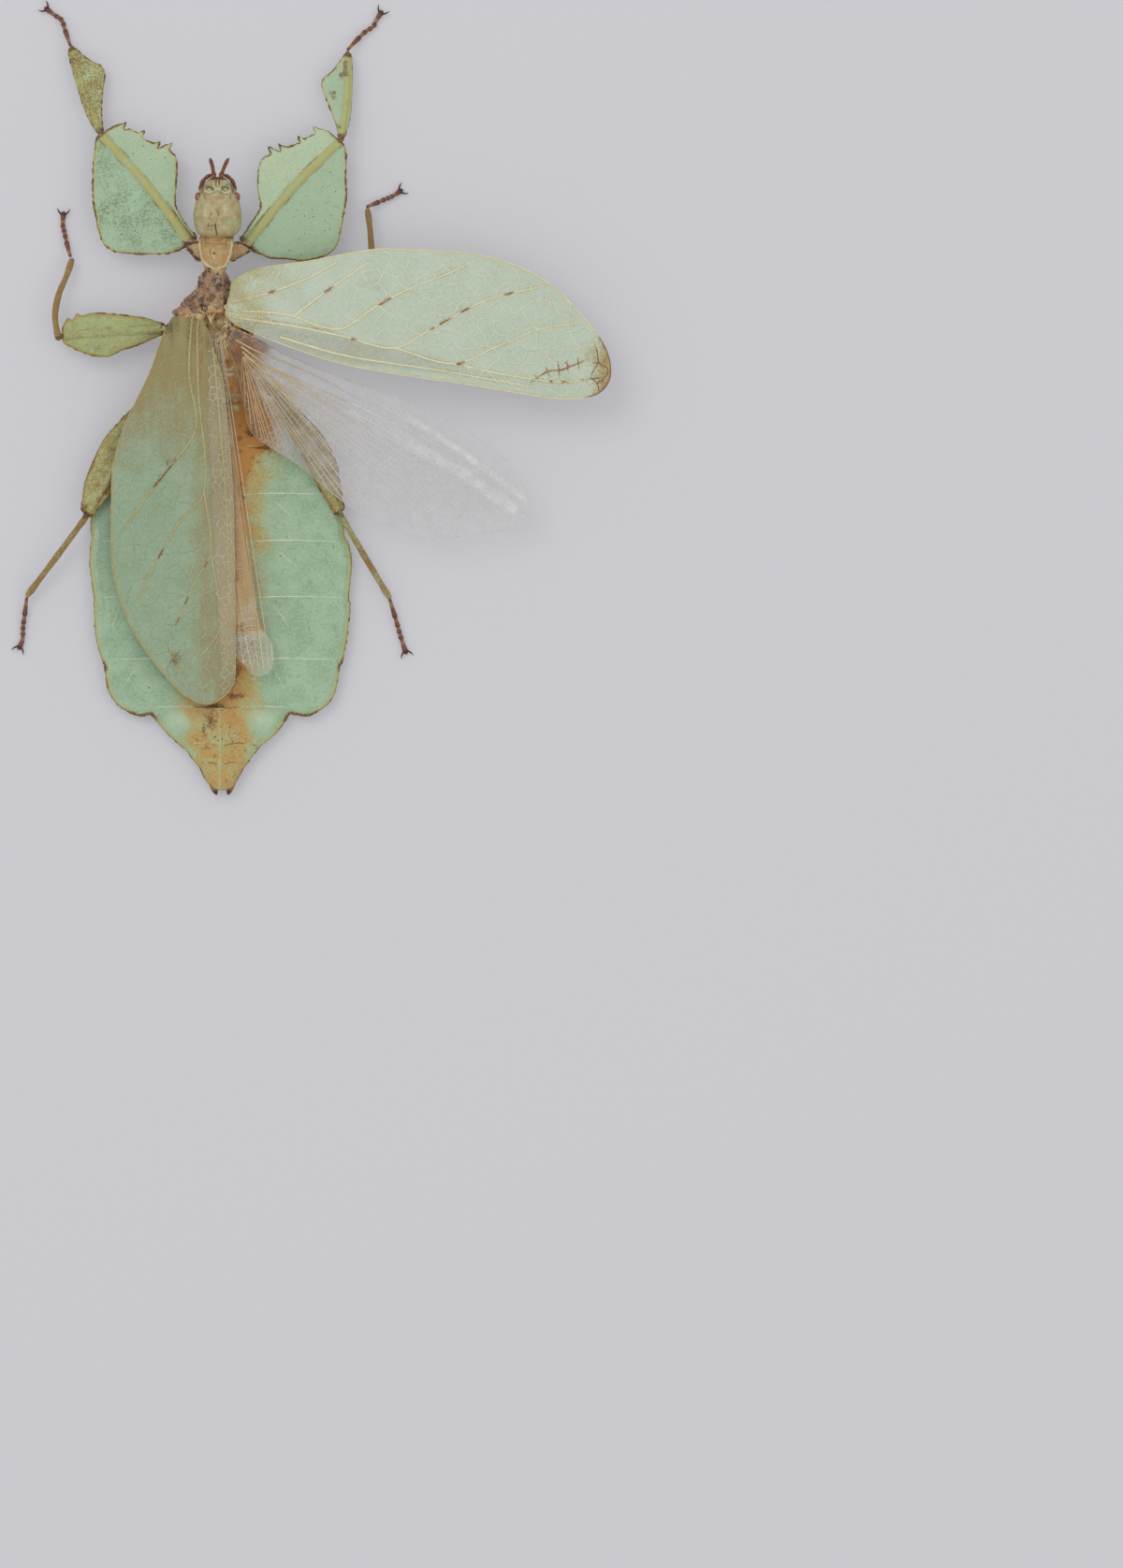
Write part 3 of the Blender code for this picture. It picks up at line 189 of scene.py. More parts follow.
def left_of(line: Array) -> Array:
    """The direction to the left of a line at each of its places."""
    ahead = np.gradient(line, axis=0)
    return np.c_[-ahead[:, 1], ahead[:, 0]] / np.hypot(*ahead.T)[:, None]


def fuzz(places: Array, size: float, seed: int) -> Array:
    """A soft random field from 0 to 1, with lumps of about the given size.

    Args:
        places: where it is read.
        size: how wide a lump is.
        seed: the draw of its values.

    Returns:
        A value for each place.
    """
    table = np.random.default_rng(seed).random((64, 64))
    cells = places[:, :2] / size
    base = np.floor(cells).astype(int)
    share = cells - base
    share = share * share * (3.0 - 2.0 * share)
    x, y = base[:, 0] % 64, base[:, 1] % 64
    x_next, y_next = (x + 1) % 64, (y + 1) % 64
    low = table[x, y] * (1 - share[:, 0]) + table[x_next, y] * share[:, 0]
    high = table[x, y_next] * (1 - share[:, 0]) + table[x_next, y_next] * share[:, 0]
    return low * (1 - share[:, 1]) + high * share[:, 1]


def warped(places: Array, reach: float, size: float, seed: int) -> Array:
    """Places strayed at random, so that shapes painted by them get uneven edges.

    Args:
        places: where they were.
        reach: how far they stray.
        size: how wide the waves of the straying are.
        seed: the draw of them.

    Returns:
        The strayed places seen from above.
    """
    stray = np.c_[fuzz(places, size, seed), fuzz(places, size, seed + 500)] - 0.5
    fine = np.c_[fuzz(places, size / 3, seed + 1), fuzz(places, size / 3, seed + 501)] - 0.5
    return places[:, :2] + 2 * reach * (stray + 0.5 * fine)


@dataclass(frozen=True)
class Axis:
    """A flat part's own axis seen from above, from its root to its tip."""

    root: tuple[float, float]
    tip: tuple[float, float]

    @property
    def length(self) -> float:
        """How far the tip is from the root."""
        return math.dist(self.root, self.tip)

    @property
    def unit(self) -> Array:
        """The direction from root to tip."""
        return (np.array(self.tip) - self.root) / self.length

    def at(self, line: ArrayLike) -> Array:
        """World places for (along, across) ones.

        Args:
            line: how far along the axis and to its left each place lies.

        Returns:
            The places, one row each.
        """
        line = np.asarray(line, float).reshape(-1, 2)
        left = np.array((-self.unit[1], self.unit[0]))
        return np.array(self.root) + line[:, :1] * self.unit + line[:, 1:] * left

    def of(self, places: Array) -> tuple[Array, Array]:
        """How far along the axis, and to its left, world places lie."""
        offset = places[:, :2] - self.root
        return offset @ self.unit, offset @ np.array((-self.unit[1], self.unit[0]))


class Outline:
    """A closed edge seen from above."""

    def __init__(self, points: Array) -> None:
        """Keep the edge's places, counter-clockwise.

        Args:
            points: the edge's places, in either sense.
        """
        after = np.roll(points, -1, axis=0)
        area = np.sum(points[:, 0] * after[:, 1] - after[:, 0] * points[:, 1])
        self.points = points if area > 0 else points[::-1]

    @classmethod
    def of_node(cls, node: str, step: float) -> "Outline":
        """The edge of a flat solid's upper face, made soft.

        Args:
            node: the solid's name.
            step: how far apart the edge's places lie.

        Returns:
            The outline.
        """
        mesh = bmesh.new()
        mesh.from_mesh(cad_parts[node].data)
        bmesh.ops.remove_doubles(mesh, verts=mesh.verts, dist=0.01 * MM)
        ahead = {}
        for face in mesh.faces:
            if face.normal.z < 0.05:
                continue
            for loop in face.loops:
                others = [near for near in loop.edge.link_faces if near is not face]
                if not others or others[0].normal.z < 0.05:
                    ahead[loop.vert.index] = loop.link_loop_next.vert.index
        loops = []
        while ahead:
            start, current = ahead.popitem()
            chain = [start]
            while current != start and current in ahead:
                chain.append(current)
                current = ahead.pop(current)
            loops.append(chain)
        mesh.verts.ensure_lookup_table()
        longest = max(loops, key=len)
        points = np.array([mesh.verts[index].co[:2] for index in longest]) / MM
        mesh.free()
        return cls(smooth_line(points, step, closed=True))

    @property
    def ring(self) -> Array:
        """The edge's places with the first one again at the end."""
        return np.vstack([self.points, self.points[:1]])

    def contains(self, places: Array) -> Array:
        """Which places lie inside.

        Args:
            places: the places to try.

        Returns:
            True or False for each.
        """
        inside = np.zeros(len(places), bool)
        x, y = places[:, 0], places[:, 1]
        for (ax, ay), (bx, by) in zip(self.ring[:-1], self.ring[1:]):
            if ay == by:
                continue
            crosses = (ay > y) != (by > y)
            inside ^= crosses & (x < ax + (y - ay) * (bx - ax) / (by - ay))
        return inside

    def depth(self, places: Array) -> Array:
        """How far inside the edge each place lies, negative outside."""
        away = nearest_on(places, self.ring)[1]
        return np.where(self.contains(places), away, -away)


def cell_walls(outline: Outline, size: float, seed: int, stray: float = 0.36) -> list[Array]:
    """The walls of a net of uneven cells inside an outline.

    Args:
        outline: the edge that the net stays inside.
        size: how wide a cell is.
        seed: the draw of its places.
        stray: how far a cell's middle strays from an even grid, as a share of its size.

    Returns:
        The walls, each two places.
    """
    draw = np.random.default_rng(seed)
    low, high = outline.points.min(0) - size, outline.points.max(0) + size
    rows = int((high[1] - low[1]) / (size * 0.87)) + 1
    columns = int((high[0] - low[0]) / size) + 1
    row, column = np.meshgrid(np.arange(rows), np.arange(columns), indexing="ij")
    seeds = np.stack([low[0] + (column + 0.5 * (row % 2)) * size, low[1] + row * size * 0.87], -1)
    seeds = seeds.reshape(-1, 2) + draw.uniform(-stray, stray, (rows * columns, 2)) * size
    places, _, faces, *_ = geometry.delaunay_2d_cdt([Vector(s) for s in seeds], [], [], 0, 1e-5)
    places = np.array([place[:] for place in places])
    corners = places[np.array([face[:3] for face in faces])]
    a, b, c = corners[:, 0], corners[:, 1], corners[:, 2]
    squares = [np.sum(corner * corner, axis=1) for corner in (a, b, c)]
    spread = 2 * (a[:, 0] * (b - c)[:, 1] + b[:, 0] * (c - a)[:, 1] + c[:, 0] * (a - b)[:, 1])
    spread = np.where(np.abs(spread) < 1e-9, 1e-9, spread)
    centre_x = squares[0] * (b - c)[:, 1] + squares[1] * (c - a)[:, 1] + squares[2] * (a - b)[:, 1]
    centre_y = squares[0] * (c - b)[:, 0] + squares[1] * (a - c)[:, 0] + squares[2] * (b - a)[:, 0]
    centres = np.stack([centre_x / spread, centre_y / spread], axis=1)
    owners, pairs = {}, []
    for index, face in enumerate(faces):
        for start, end in zip(face, face[1:] + face[:1]):
            other = owners.pop((end, start), None)
            if other is None:
                owners[(start, end)] = index
            else:
                pairs.append((other, index))
    walls = centres[np.array(pairs)]
    inside = outline.contains(walls[:, 0]) & outline.contains(walls[:, 1])
    length = np.hypot(*(walls[:, 0] - walls[:, 1]).T)
    return list(walls[inside & (length > 0.08 * size) & (length < 2.5 * size)])


# ---- meshes made with Blender's own operators ----


def select_only(*objects: Piece) -> None:
    """Select these objects alone, the first one active."""
    bpy.ops.object.select_all(action="DESELECT")
    for item in objects:
        item.select_set(True)
    bpy.context.view_layer.objects.active = objects[0]


def places_of(piece: Piece) -> Array:
    """A piece's vertices in millimetres, one row each.

    Args:
        piece: the mesh object.

    Returns:
        Their places.
    """
    places = np.empty(len(piece.data.vertices) * 3)
    piece.data.vertices.foreach_get("co", places)
    return places.reshape(-1, 3) / MM


def move_to(piece: Piece, places: Array) -> None:
    """Put a piece's vertices at places in millimetres."""
    piece.data.vertices.foreach_set("co", (places * MM).ravel())
    piece.data.update()


def apply_modifier(piece: Piece, kind: str, **settings: object) -> None:
    """Add a modifier with its settings and apply it.

    Args:
        piece: the mesh object.
        kind: the modifier's type.
        settings: its properties.
    """
    modifier = piece.modifiers.new(kind.title(), kind)
    for key, value in settings.items():
        setattr(modifier, key, value)
    select_only(piece)
    bpy.ops.object.modifier_apply(modifier=modifier.name)


def paint(piece: Piece, tints: dict[Tint, ArrayLike]) -> None:
    """Store values from 0 to 1 on a piece, for its finish to read.

    Args:
        piece: the mesh object.
        tints: for each tint a value for each vertex, or one for all.
    """
    for tint, values in tints.items():
        layer = piece.data.attributes.new(tint.value, "FLOAT", "POINT")
        values = np.broadcast_to(np.clip(values, 0.0, 1.0), len(layer.data))
        layer.data.foreach_set("value", values.astype(np.float32))


def finish_piece(
    piece: Piece,
    name: str,
    finish: "Finish",
    slot: str,
    nodes: tuple[str, ...] = (),
) -> Piece:
    """Name a piece, dress it, set it on the body and let it stand for solids.

    Args:
        piece: the object, already in its place.
        name: its name in the export.
        finish: what its surface is.
        slot: the record's material slot; not used.
        nodes: the solids that it stands for.

    Returns:
        The same object.
    """
    piece.name = name
    piece.data.name = name
    piece.data.materials.clear()
    piece.data.materials.append(material_of(finish))
    select_only(piece)
    bpy.ops.object.transform_apply(location=True, rotation=True, scale=True)
    bpy.ops.object.shade_smooth()
    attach(piece, BODY)
    if nodes:
        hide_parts(*nodes)
    LOG.info("%s: %d faces", name, len(piece.data.polygons))
    return piece


def flat_sheet(outline: Outline, step: float) -> Piece:
    """A flat sheet that fills an outline out to its teeth.

    A grid trimmed in edit mode loses the teeth, so the edge and a honeycomb of inner places
    are joined by triangles instead.

    Args:
        outline: the edge.
        step: how far apart the inner places lie.

    Returns:
        The sheet, at height 0.
    """
    low, high = outline.points.min(0), outline.points.max(0)
    rows, columns = (int(count) + 2 for count in (high - low)[::-1] / (step * 0.87, step))
    row, column = np.meshgrid(np.arange(rows), np.arange(columns), indexing="ij")
    inner = np.stack([low[0] + (column + 0.5 * (row % 2)) * step, low[1] + row * step * 0.87], -1)
    inner = inner.reshape(-1, 2)
    inner = inner[outline.depth(inner) > 0.5 * step]
    sites = [Vector(place) for place in np.vstack([outline.points, inner])]
    edge = list(range(len(outline.points)))
    places, _, faces, _, _, owners = geometry.delaunay_2d_cdt(sites, [], [edge], 0, 1e-4, True)
    data = bpy.data.meshes.new("sheet")
    kept = [face for face, owner in zip(faces, owners) if owner]
    data.from_pydata([(place.x * MM, place.y * MM, 0.0) for place in places], [], kept)
    piece = bpy.data.objects.new("sheet", data)
    bpy.context.scene.collection.objects.link(piece)
    return piece


def border_of(piece: Piece) -> Array:
    """Which vertices of a sheet lie on its border.

    Args:
        piece: the sheet.

    Returns:
        True or False for each.
    """
    mesh = bmesh.new()
    mesh.from_mesh(piece.data)
    border = np.array([vert.is_boundary for vert in mesh.verts])
    mesh.free()
    return border


def blade(outline: Outline, step: float, top: Heights, bottom: Heights) -> Piece:
    """A closed leaf-like body between two height fields.

    Args:
        outline: its edge.
        step: the width of its faces.
        top: the upper height, from places and their depth inside the edge.
        bottom: the lower height, likewise.

    Returns:
        The piece, its upper vertices first and its lower ones after them.
    """
    piece = flat_sheet(outline, step)
    places = places_of(piece)
    depth = np.maximum(outline.depth(places[:, :2]), 0.0)
    depth[border_of(piece)] = 0.0
    count = len(places)
    apply_modifier(piece, "SOLIDIFY", thickness=0.1 * MM, offset=-1.0, use_even_offset=False)
    places = places_of(piece)
    places[:count, 2] = top(places[:count, :2], depth)
    places[count:, :2] = places[:count, :2]
    places[count:, 2] = bottom(places[:count, :2], depth)
    move_to(piece, places)
    return piece


def rods(lines: list[Array], radii: list, sides: int = 8) -> Piece:
    """Round strands along lines, as one mesh.

    Args:
        lines: the strands' places, (x, y, z) each.
        radii: for each strand one radius, or one for each of its places.
        sides: how many sides a strand has: 4, 6, 8 and so on.

    Returns:
        The piece.
    """
    curve = bpy.data.curves.new("strands", "CURVE")
    curve.dimensions = "3D"
    curve.bevel_depth = MM
    curve.bevel_resolution = (sides - 4) // 2
    curve.use_fill_caps = True
    for line, radius in zip(lines, radii):
        spline = curve.splines.new("POLY")
        spline.points.add(len(line) - 1)
        spline.points.foreach_set("co", np.c_[line * MM, np.ones(len(line))].ravel())
        spline.points.foreach_set("radius", np.broadcast_to(radius, len(line)).astype(float))
    piece = bpy.data.objects.new("strands", curve)
    bpy.context.scene.collection.objects.link(piece)
    select_only(piece)
    bpy.ops.object.convert(target="MESH")
    return bpy.context.object


class Strands:
    """Round strands gathered one by one and then made as one mesh."""

    def __init__(self) -> None:
        """Start with none."""
        self.lines: list[Array] = []
        self.radii: list[ArrayLike] = []

    def add(self, line: Array, radius: ArrayLike) -> None:
        """Keep a strand with one radius, or one for each of its places."""
        self.lines.append(line)
        self.radii.append(radius)

    def build(self, sides: int) -> Piece:
        """Make the mesh, with so many sides to a strand."""
        return rods(self.lines, self.radii, sides)


def ball(centre: ArrayLike, radii: ArrayLike, segments: int = 32, rings: int = 20) -> Piece:
    """An egg shape at its place.

    Args:
        centre: its middle.
        radii: how far it reaches along x, y and z.
        segments: its faces around.
        rings: its faces from pole to pole.

    Returns:
        The piece.
    """
    bpy.ops.mesh.primitive_uv_sphere_add(
        segments=segments,
        ring_count=rings,
        radius=1.0,
        location=tuple(value * MM for value in centre),
    )
    piece = bpy.context.object
    piece.scale = tuple(radius * MM for radius in radii)
    bpy.ops.object.transform_apply(location=True, rotation=True, scale=True)
    return piece


def join(pieces: list[Piece]) -> Piece:
    """Several pieces as one.

    Args:
        pieces: the mesh objects, of which the first one stays.

    Returns:
        That one.
    """
    if len(pieces) > 1:
        select_only(*pieces)
        bpy.ops.object.join()
    return pieces[0]


def scatter(places: Array, sizes: Array, flatten: float = 0.7) -> Piece:
    """Small grains, one modelled and the rest copied from it, as one mesh.

    Args:
        places: their middles.
        sizes: their radii.
        flatten: their height as a share of that.

    Returns:
        The piece.
    """
    bpy.ops.mesh.primitive_ico_sphere_add(subdivisions=2, radius=1.0)
    grain = bpy.context.object
    shape = places_of(grain) * MM * (1.0, 1.0, flatten)
    faces = np.array([face.vertices[:] for face in grain.data.polygons])
    bpy.data.objects.remove(grain)
    verts = (places[:, None, :] + shape[None] * sizes[:, None, None]).reshape(-1, 3)
    shift = (np.arange(len(places)) * len(shape))[:, None, None]
    data = bpy.data.meshes.new("grains")
    data.from_pydata((verts * MM).tolist(), [], (faces[None] + shift).reshape(-1, 3).tolist())
    piece = bpy.data.objects.new("grains", data)
    bpy.context.scene.collection.objects.link(piece)
    return piece


def surface_under(piece: Piece) -> BVHTree:
    """A tree for finding a piece's surface from above."""
    return BVHTree.FromObject(piece, bpy.context.evaluated_depsgraph_get())


def drop_onto(tree: BVHTree, places: Array, miss: float) -> Array:
    """The height of a surface under each place, in millimetres.

    Args:
        tree: the surface.
        places: where to look, from above.
        miss: the height where there is none.

    Returns:
        The heights.
    """
    heights = np.full(len(places), miss)
    down = Vector((0.0, 0.0, -1.0))
    for index, (x, y) in enumerate(places[:, :2]):
        hit = tree.ray_cast(Vector((x * MM, y * MM, 0.05)), down)[0]
        if hit is not None:
            heights[index] = hit.z / MM
    return heights


# ---- finishes ----


def linear(colour: str) -> tuple[float, float, float, float]:
    """Turn a colour to linear light.

    Args:
        colour: sRGB hex, such as "#88A485".

    Returns:
        Red, green, blue and alpha.
    """
    values = [int(colour[start : start + 2], 16) / 255 for start in (1, 3, 5)]
    turned = [v / 12.92 if v <= 0.04045 else ((v + 0.055) / 1.055) ** 2.4 for v in values]
    return (*turned, 1.0)


def add(tree: bpy.types.NodeTree, kind: str, sockets: dict, **settings: object) -> bpy.types.Node:
    """Add a node with its settings, and set or link its inputs.

    Args:
        tree: the material's node tree.
        kind: the node's type.
        sockets: inputs by name or number, each a value or the output that feeds it.
        settings: the node's own properties.

    Returns:
        The node.
    """
    made = tree.nodes.new(kind)
    for key, value in settings.items():
        setattr(made, key, value)
    for key, value in sockets.items():
        if isinstance(value, bpy.types.NodeSocket):
            tree.links.new(value, made.inputs[key])
        else:
            made.inputs[key].default_value = value
    return made


# The places of the factor, first and second colour, and result on a colour Mix node
MIX_FACTOR, MIX_FIRST, MIX_SECOND, MIX_RESULT = 0, 6, 7, 2


@dataclass(frozen=True)
class Cuticle:
    """Dried insect cuticle: satin, softly mottled, browned and bleached where it is painted so.

    Sizes are in millimetres and colours are sRGB hex. The mottles are as wide as the leaf-like
    skin's cloudy patches, the flecks as its pores, and the specks a little coarser than real
    ones, so that they show.
    """

    name: str
    ground: str
    mottle: str
    fleck: str
    brown: str = "#4F301C"
    ochre: str = "#96703A"
    pale: str = "#C9CBA6"
    rim: str = "#A3A068"
    mottle_size: float = 2.4
    fleck_size: float = 0.28
    speck_coarser: float = 2.3
    fleck_share: float = 0.6
    speck: str = "#66724F"
    speck_share: float = 0.4
    uneven: float = 1.1
    roughness: float = 0.55
    roughness_range: float = 0.08
    specular: float = 0.35
    coat: float = 0.0
    coat_roughness: float = 0.2
    opacity: float = 1.0
    clear_opacity: float = 1.0
    bump: float = 0.03
    bump_strength: float = 0.6
    metallic: float = 0.0

    def build(self) -> bpy.types.Material:
        """Make the finish.

        Returns:
            The material.
        """
        material = bpy.data.materials.new(self.name)
        material.use_nodes = True
        tree = material.node_tree
        shader = tree.nodes["Principled BSDF"]
        place = add(tree, "ShaderNodeTexCoord", {}).outputs["Object"]
        sockets = {"Vector": place, "Scale": (1 / MM,) * 3}
        place = add(tree, "ShaderNodeMapping", sockets).outputs["Vector"]
        grain = self.fleck_size * self.speck_coarser
        patterns = []
        for size, detail in ((self.mottle_size, 6.0), (self.fleck_size, 2.0), (grain, 3.0)):
            sockets = {"Vector": place, "Scale": 1 / size, "Detail": detail}
            patterns.append(add(tree, "ShaderNodeTexNoise", sockets).outputs["Fac"])
        broad, fine, grains = patterns
        # Each pattern, where it begins and is full, how much it covers, and its colour if any
        layers = (
            (broad, 0.38, 0.62, 1.0, self.mottle),
            (fine, 0.46, 0.64, self.fleck_share, self.fleck),
            (grains, 0.58, 0.7, self.speck_share, self.speck),
            (broad, 0.35, 0.65, -0.35 * self.uneven, None),
            (fine, 0.35, 0.65, -0.65 * self.uneven, None),
        )
        colour, fray = linear(self.ground), []
        for pattern, low, high, cover, shade in layers:
            limits = {"Value": pattern, "From Min": low, "From Max": high, "To Max": cover}
            share = add(tree, "ShaderNodeMapRange", limits, clamp=True).outputs["Result"]
            if shade is None:
                fray.append(share)
                continue
            sockets = {MIX_FACTOR: share, MIX_FIRST: colour, MIX_SECOND: linear(shade)}
            colour = add(tree, "ShaderNodeMix", sockets, data_type="RGBA").outputs[MIX_RESULT]
        fray = add(tree, "ShaderNodeMath", dict(enumerate(fray)), operation="ADD").outputs[0]
        for tint in (Tint.RIM, Tint.OCHRE, Tint.PALE, Tint.BROWN):
            painted = add(tree, "ShaderNodeAttribute", {}, attribute_name=tint.value).outputs["Fac"]
            sockets = {0: painted, 1: 1.0 + self.uneven, 2: fray}
            settings = {"operation": "MULTIPLY_ADD", "use_clamp": True}
            share = add(tree, "ShaderNodeMath", sockets, **settings).outputs[0]
            shade = linear(getattr(self, tint.value))
            sockets = {MIX_FACTOR: share, MIX_FIRST: colour, MIX_SECOND: shade}
            colour = add(tree, "ShaderNodeMix", sockets, data_type="RGBA").outputs[MIX_RESULT]
        tree.links.new(colour, shader.inputs["Base Color"])
        for socket, value in (
            ("Metallic", self.metallic),
            ("Specular IOR Level", self.specular),
            ("Coat Weight", self.coat),
            ("Coat Roughness", self.coat_roughness),
            ("Alpha", self.opacity),
        ):
            shader.inputs[socket].default_value = value
        low, high = (self.roughness + sign * self.roughness_range for sign in (-1.0, 1.0))
        limits = {"Value": broad, "To Min": low, "To Max": high}
        rough = add(tree, "ShaderNodeMapRange", limits)
        tree.links.new(rough.outputs["Result"], shader.inputs["Roughness"])
        sockets = {0: grains, 1: 0.8, 2: fine}
        height = add(tree, "ShaderNodeMath", sockets, operation="MULTIPLY_ADD").outputs[0]
        sockets = {"Height": height, "Strength": self.bump_strength, "Distance": self.bump * MM}
        relief = add(tree, "ShaderNodeBump", sockets)
        tree.links.new(relief.outputs["Normal"], shader.inputs["Normal"])
        if self.clear_opacity < self.opacity:
            clear = add(tree, "ShaderNodeAttribute", {}, attribute_name=Tint.CLEAR.value)
            limits = {"To Min": self.opacity, "To Max": self.clear_opacity}
            seen = add(tree, "ShaderNodeMapRange", {"Value": clear.outputs["Fac"], **limits})
            tree.links.new(seen.outputs["Result"], shader.inputs["Alpha"])
        return material


class Finish(Enum):
    """What each surface of the insect is."""

    # Leaf-like cuticle: bluish green, yellowing towards the rims and ridges
    LEAF = Cuticle(
        "dried_leaf_cuticle", "#88A485", "#98B294", "#A9BDA2", speck="#6C8A72", brown="#6B4726",
        ochre="#B5803E", pale="#B4C3A1", rim="#A8A76C", uneven=1.1, mottle_size=3.0
    )
    # The same on the narrower legs, yellower and with more brown
    OLIVE = Cuticle(
        "dried_olive_cuticle", "#8E9663", "#9DA46E", "#AEB286", speck="#6F7443", ochre="#8C6E3E",
        rim="#9C8E4E", mottle_size=1.8
    )
    # A leathery front wing: thin, half opaque, clearer along its rear strip
    TEGMEN = Cuticle(
        "leathery_wing_membrane", "#B4C0AB", "#BCC6B4", "#C4CDBE", speck="#9FB096", brown="#8A6440",
        ochre="#ADA474", pale="#C9CBB4", rim="#C3C49C", roughness=0.5, opacity=0.94,
        clear_opacity=0.4, bump=0.03, mottle_size=4.0, fleck_size=0.2
    )
    # The folded front wing, greyer because it lies over brown parts
    TEGMEN_FOLDED = Cuticle(
        "folded_wing_membrane", "#87A084", "#92A88E", "#A0AF94", speck="#748C6C", brown="#5F5A38",
        ochre="#938558", pale="#B9AC8E", rim="#9FA273", roughness=0.5, opacity=0.92,
        clear_opacity=0.5, bump=0.03, mottle_size=4.0, fleck_size=0.2
    )
    # A hind wing's clear membrane, with the shine of thin film; its pale tint paints the folds'
    # layers and sheen
    CLEAR = Cuticle(
        "clear_wing_membrane", "#BFBEBC", "#C9C8C7", "#D5D4D2", speck="#B0AFAD", brown="#6F4327",
        ochre="#946A3C", pale="#E4E3E1", uneven=0.6, roughness=0.3, specular=0.6, opacity=0.9,
        clear_opacity=0.13, bump=0.06, mottle_size=2.0
    )
    # The hind wing folded in many layers, beige and half clear
    FOLD = Cuticle(
        "folded_hind_wing_membrane", "#C2B497", "#CABEA2", "#D0C7AF", speck="#8E7A58",
        brown="#86653C", ochre="#C3A476", pale="#C3C4AE", mottle_size=1.4, roughness=0.4,
        opacity=0.9, clear_opacity=0.12, bump=0.05
    )
    # Main veins: cream, waxy tubes, browned in places
    VEIN = Cuticle(
        "waxy_wing_vein", "#D8D4B2", "#CFC9A4", "#DDDAC0", speck="#AFA678", brown="#8A5A34",
        ochre="#B49E62", pale="#D2D0BA", mottle_size=1.5, roughness=0.45
    )
    # Main veins of the folded front wing, more olive
    VEIN_OLIVE = Cuticle(
        "olive_wing_vein", "#ABA578", "#A29A6C", "#B6B18A", speck="#8F865A", brown="#694A2B",
        ochre="#A08650", pale="#C3BE9E", mottle_size=1.5, roughness=0.45
    )
    # The wide net on the spread front wing
    NET = Cuticle(
        "pale_green_net", "#D4D9BF", "#CCD2B5", "#DADEC9", speck="#B0BA99", brown="#8A5E36",
        ochre="#B9B283", pale="#C9C8AC", roughness=0.5
    )
    # The fine net, a little darker than the membrane, and the painted shadow strands beside the
    # wide net
    NET_FINE = Cuticle(
        "dull_green_fine_net_and_shadow", "#9AAD8F", "#A8B89B", "#ADBBA0", speck="#8FA285", brown="#8A5E36",
        ochre="#A9A374", roughness=0.5
    )
    # The folded wing's fine net, and the painted shadow strands beside its wide net, darker olive
    NET_SHADE = Cuticle(
        "olive_fine_net_and_shadow", "#74896B", "#7F9173", "#889A7C", speck="#667A5C", brown="#56552E",
        ochre="#857A4E", roughness=0.5
    )
    # The wide net of the folded front wing
    NET_OLIVE = Cuticle(
        "olive_net", "#A5AF89", "#9AA57E", "#B0B896", speck="#828F68", brown="#56552E",
        ochre="#9C9062", pale="#B9B497", roughness=0.5
    )
    # The pinkish net of the folded front wing's clear strip
    NET_STRIP = Cuticle(
        "beige_strip_net", "#C2B596", "#B6A988", "#CBC1A4", speck="#9A8C66", ochre="#A9986E",
        roughness=0.45
    )
    # Fine veins of the clear wings
    VEIN_FINE = Cuticle(
        "clear_wing_vein", "#C2BBA9", "#CBC6BA", "#D3CFC6", speck="#AAA396", brown="#8A6A4A",
        ochre="#C0A87C", pale="#DCDAD7", uneven=0.6, mottle_size=1.5, roughness=0.4
    )
    # The dark hard edge of the leaf-like parts
    MARGIN = Cuticle(
        "dark_hard_margin", "#5A3C1E", "#8F8048", "#452C18", speck="#2E1D12", mottle_size=0.9,
        fleck_size=0.2, roughness=0.5
    )
    # The head's khaki capsule
    KHAKI = Cuticle(
        "khaki_head_cuticle", "#A0946A", "#B2A780", "#948960", speck="#867A52", brown="#5C3B22",
        ochre="#9C8350", pale="#C2BA95", rim="#93A277", mottle_size=0.8, fleck_size=0.2,
        fleck_share=0.4, uneven=0.7, roughness=0.42, coat=0.08, bump=0.02
    )
    # The thorax: ochre shield in front, rough purplish brown bar behind
    THORAX = Cuticle(
        "ochre_thorax_cuticle", "#987A4E", "#AB9063", "#B8A278", speck="#7E5F3A", brown="#4B3226",
        ochre="#B07C42", pale="#C8B88C", rim="#A07E60", mottle_size=0.8, fleck_size=0.2, uneven=0.8,
        roughness=0.45, coat=0.08, bump=0.04
    )
    # The rough grains of the thorax
    GRAINS = Cuticle(
        "purplish_grains", "#8A6E58", "#5F4536", "#AE9682", speck="#4B3429", mottle_size=0.6,
        fleck_size=0.25, roughness=0.45
    )
    # Red-brown feelers, palps and feet
    RUST = Cuticle(
        "red_brown_cuticle", "#69392A", "#7C4D36", "#572B1F", speck="#472418", pale="#AD8A60",
        mottle_size=0.5, fleck_size=0.12, roughness=0.42, coat=0.1
    )
    # Claws and other hard dark tips
    CLAW = Cuticle(
        "horny_claw", "#3E2318", "#5A3623", "#2B1811", speck="#241510", mottle_size=0.3,
        fleck_size=0.1, roughness=0.3
    )
    # The glossy, glass-hard skin of an eye
    EYE = Cuticle(
        "amber_eye", "#8F4F31", "#A0613F", "#7F442A", speck="#5E301C", brown="#55291A",
        mottle_size=0.5, fleck_size=0.08, roughness=0.22, coat=0.4, bump=0.004
    )
    # A drawn, polished steel wire, mirror-like along its length
    STEEL = Cuticle(
        "polished_pin_steel", "#8E8F93", "#85868A", "#97989C", speck="#7C7D81", roughness=0.3,
        specular=0.5, metallic=1.0, bump=0.002
    )


@cache
def material_of(finish: Finish) -> bpy.types.Material:
    """The material of a finish, made when it is first asked for."""
    return finish.value.build()


# ---- the trunk ----


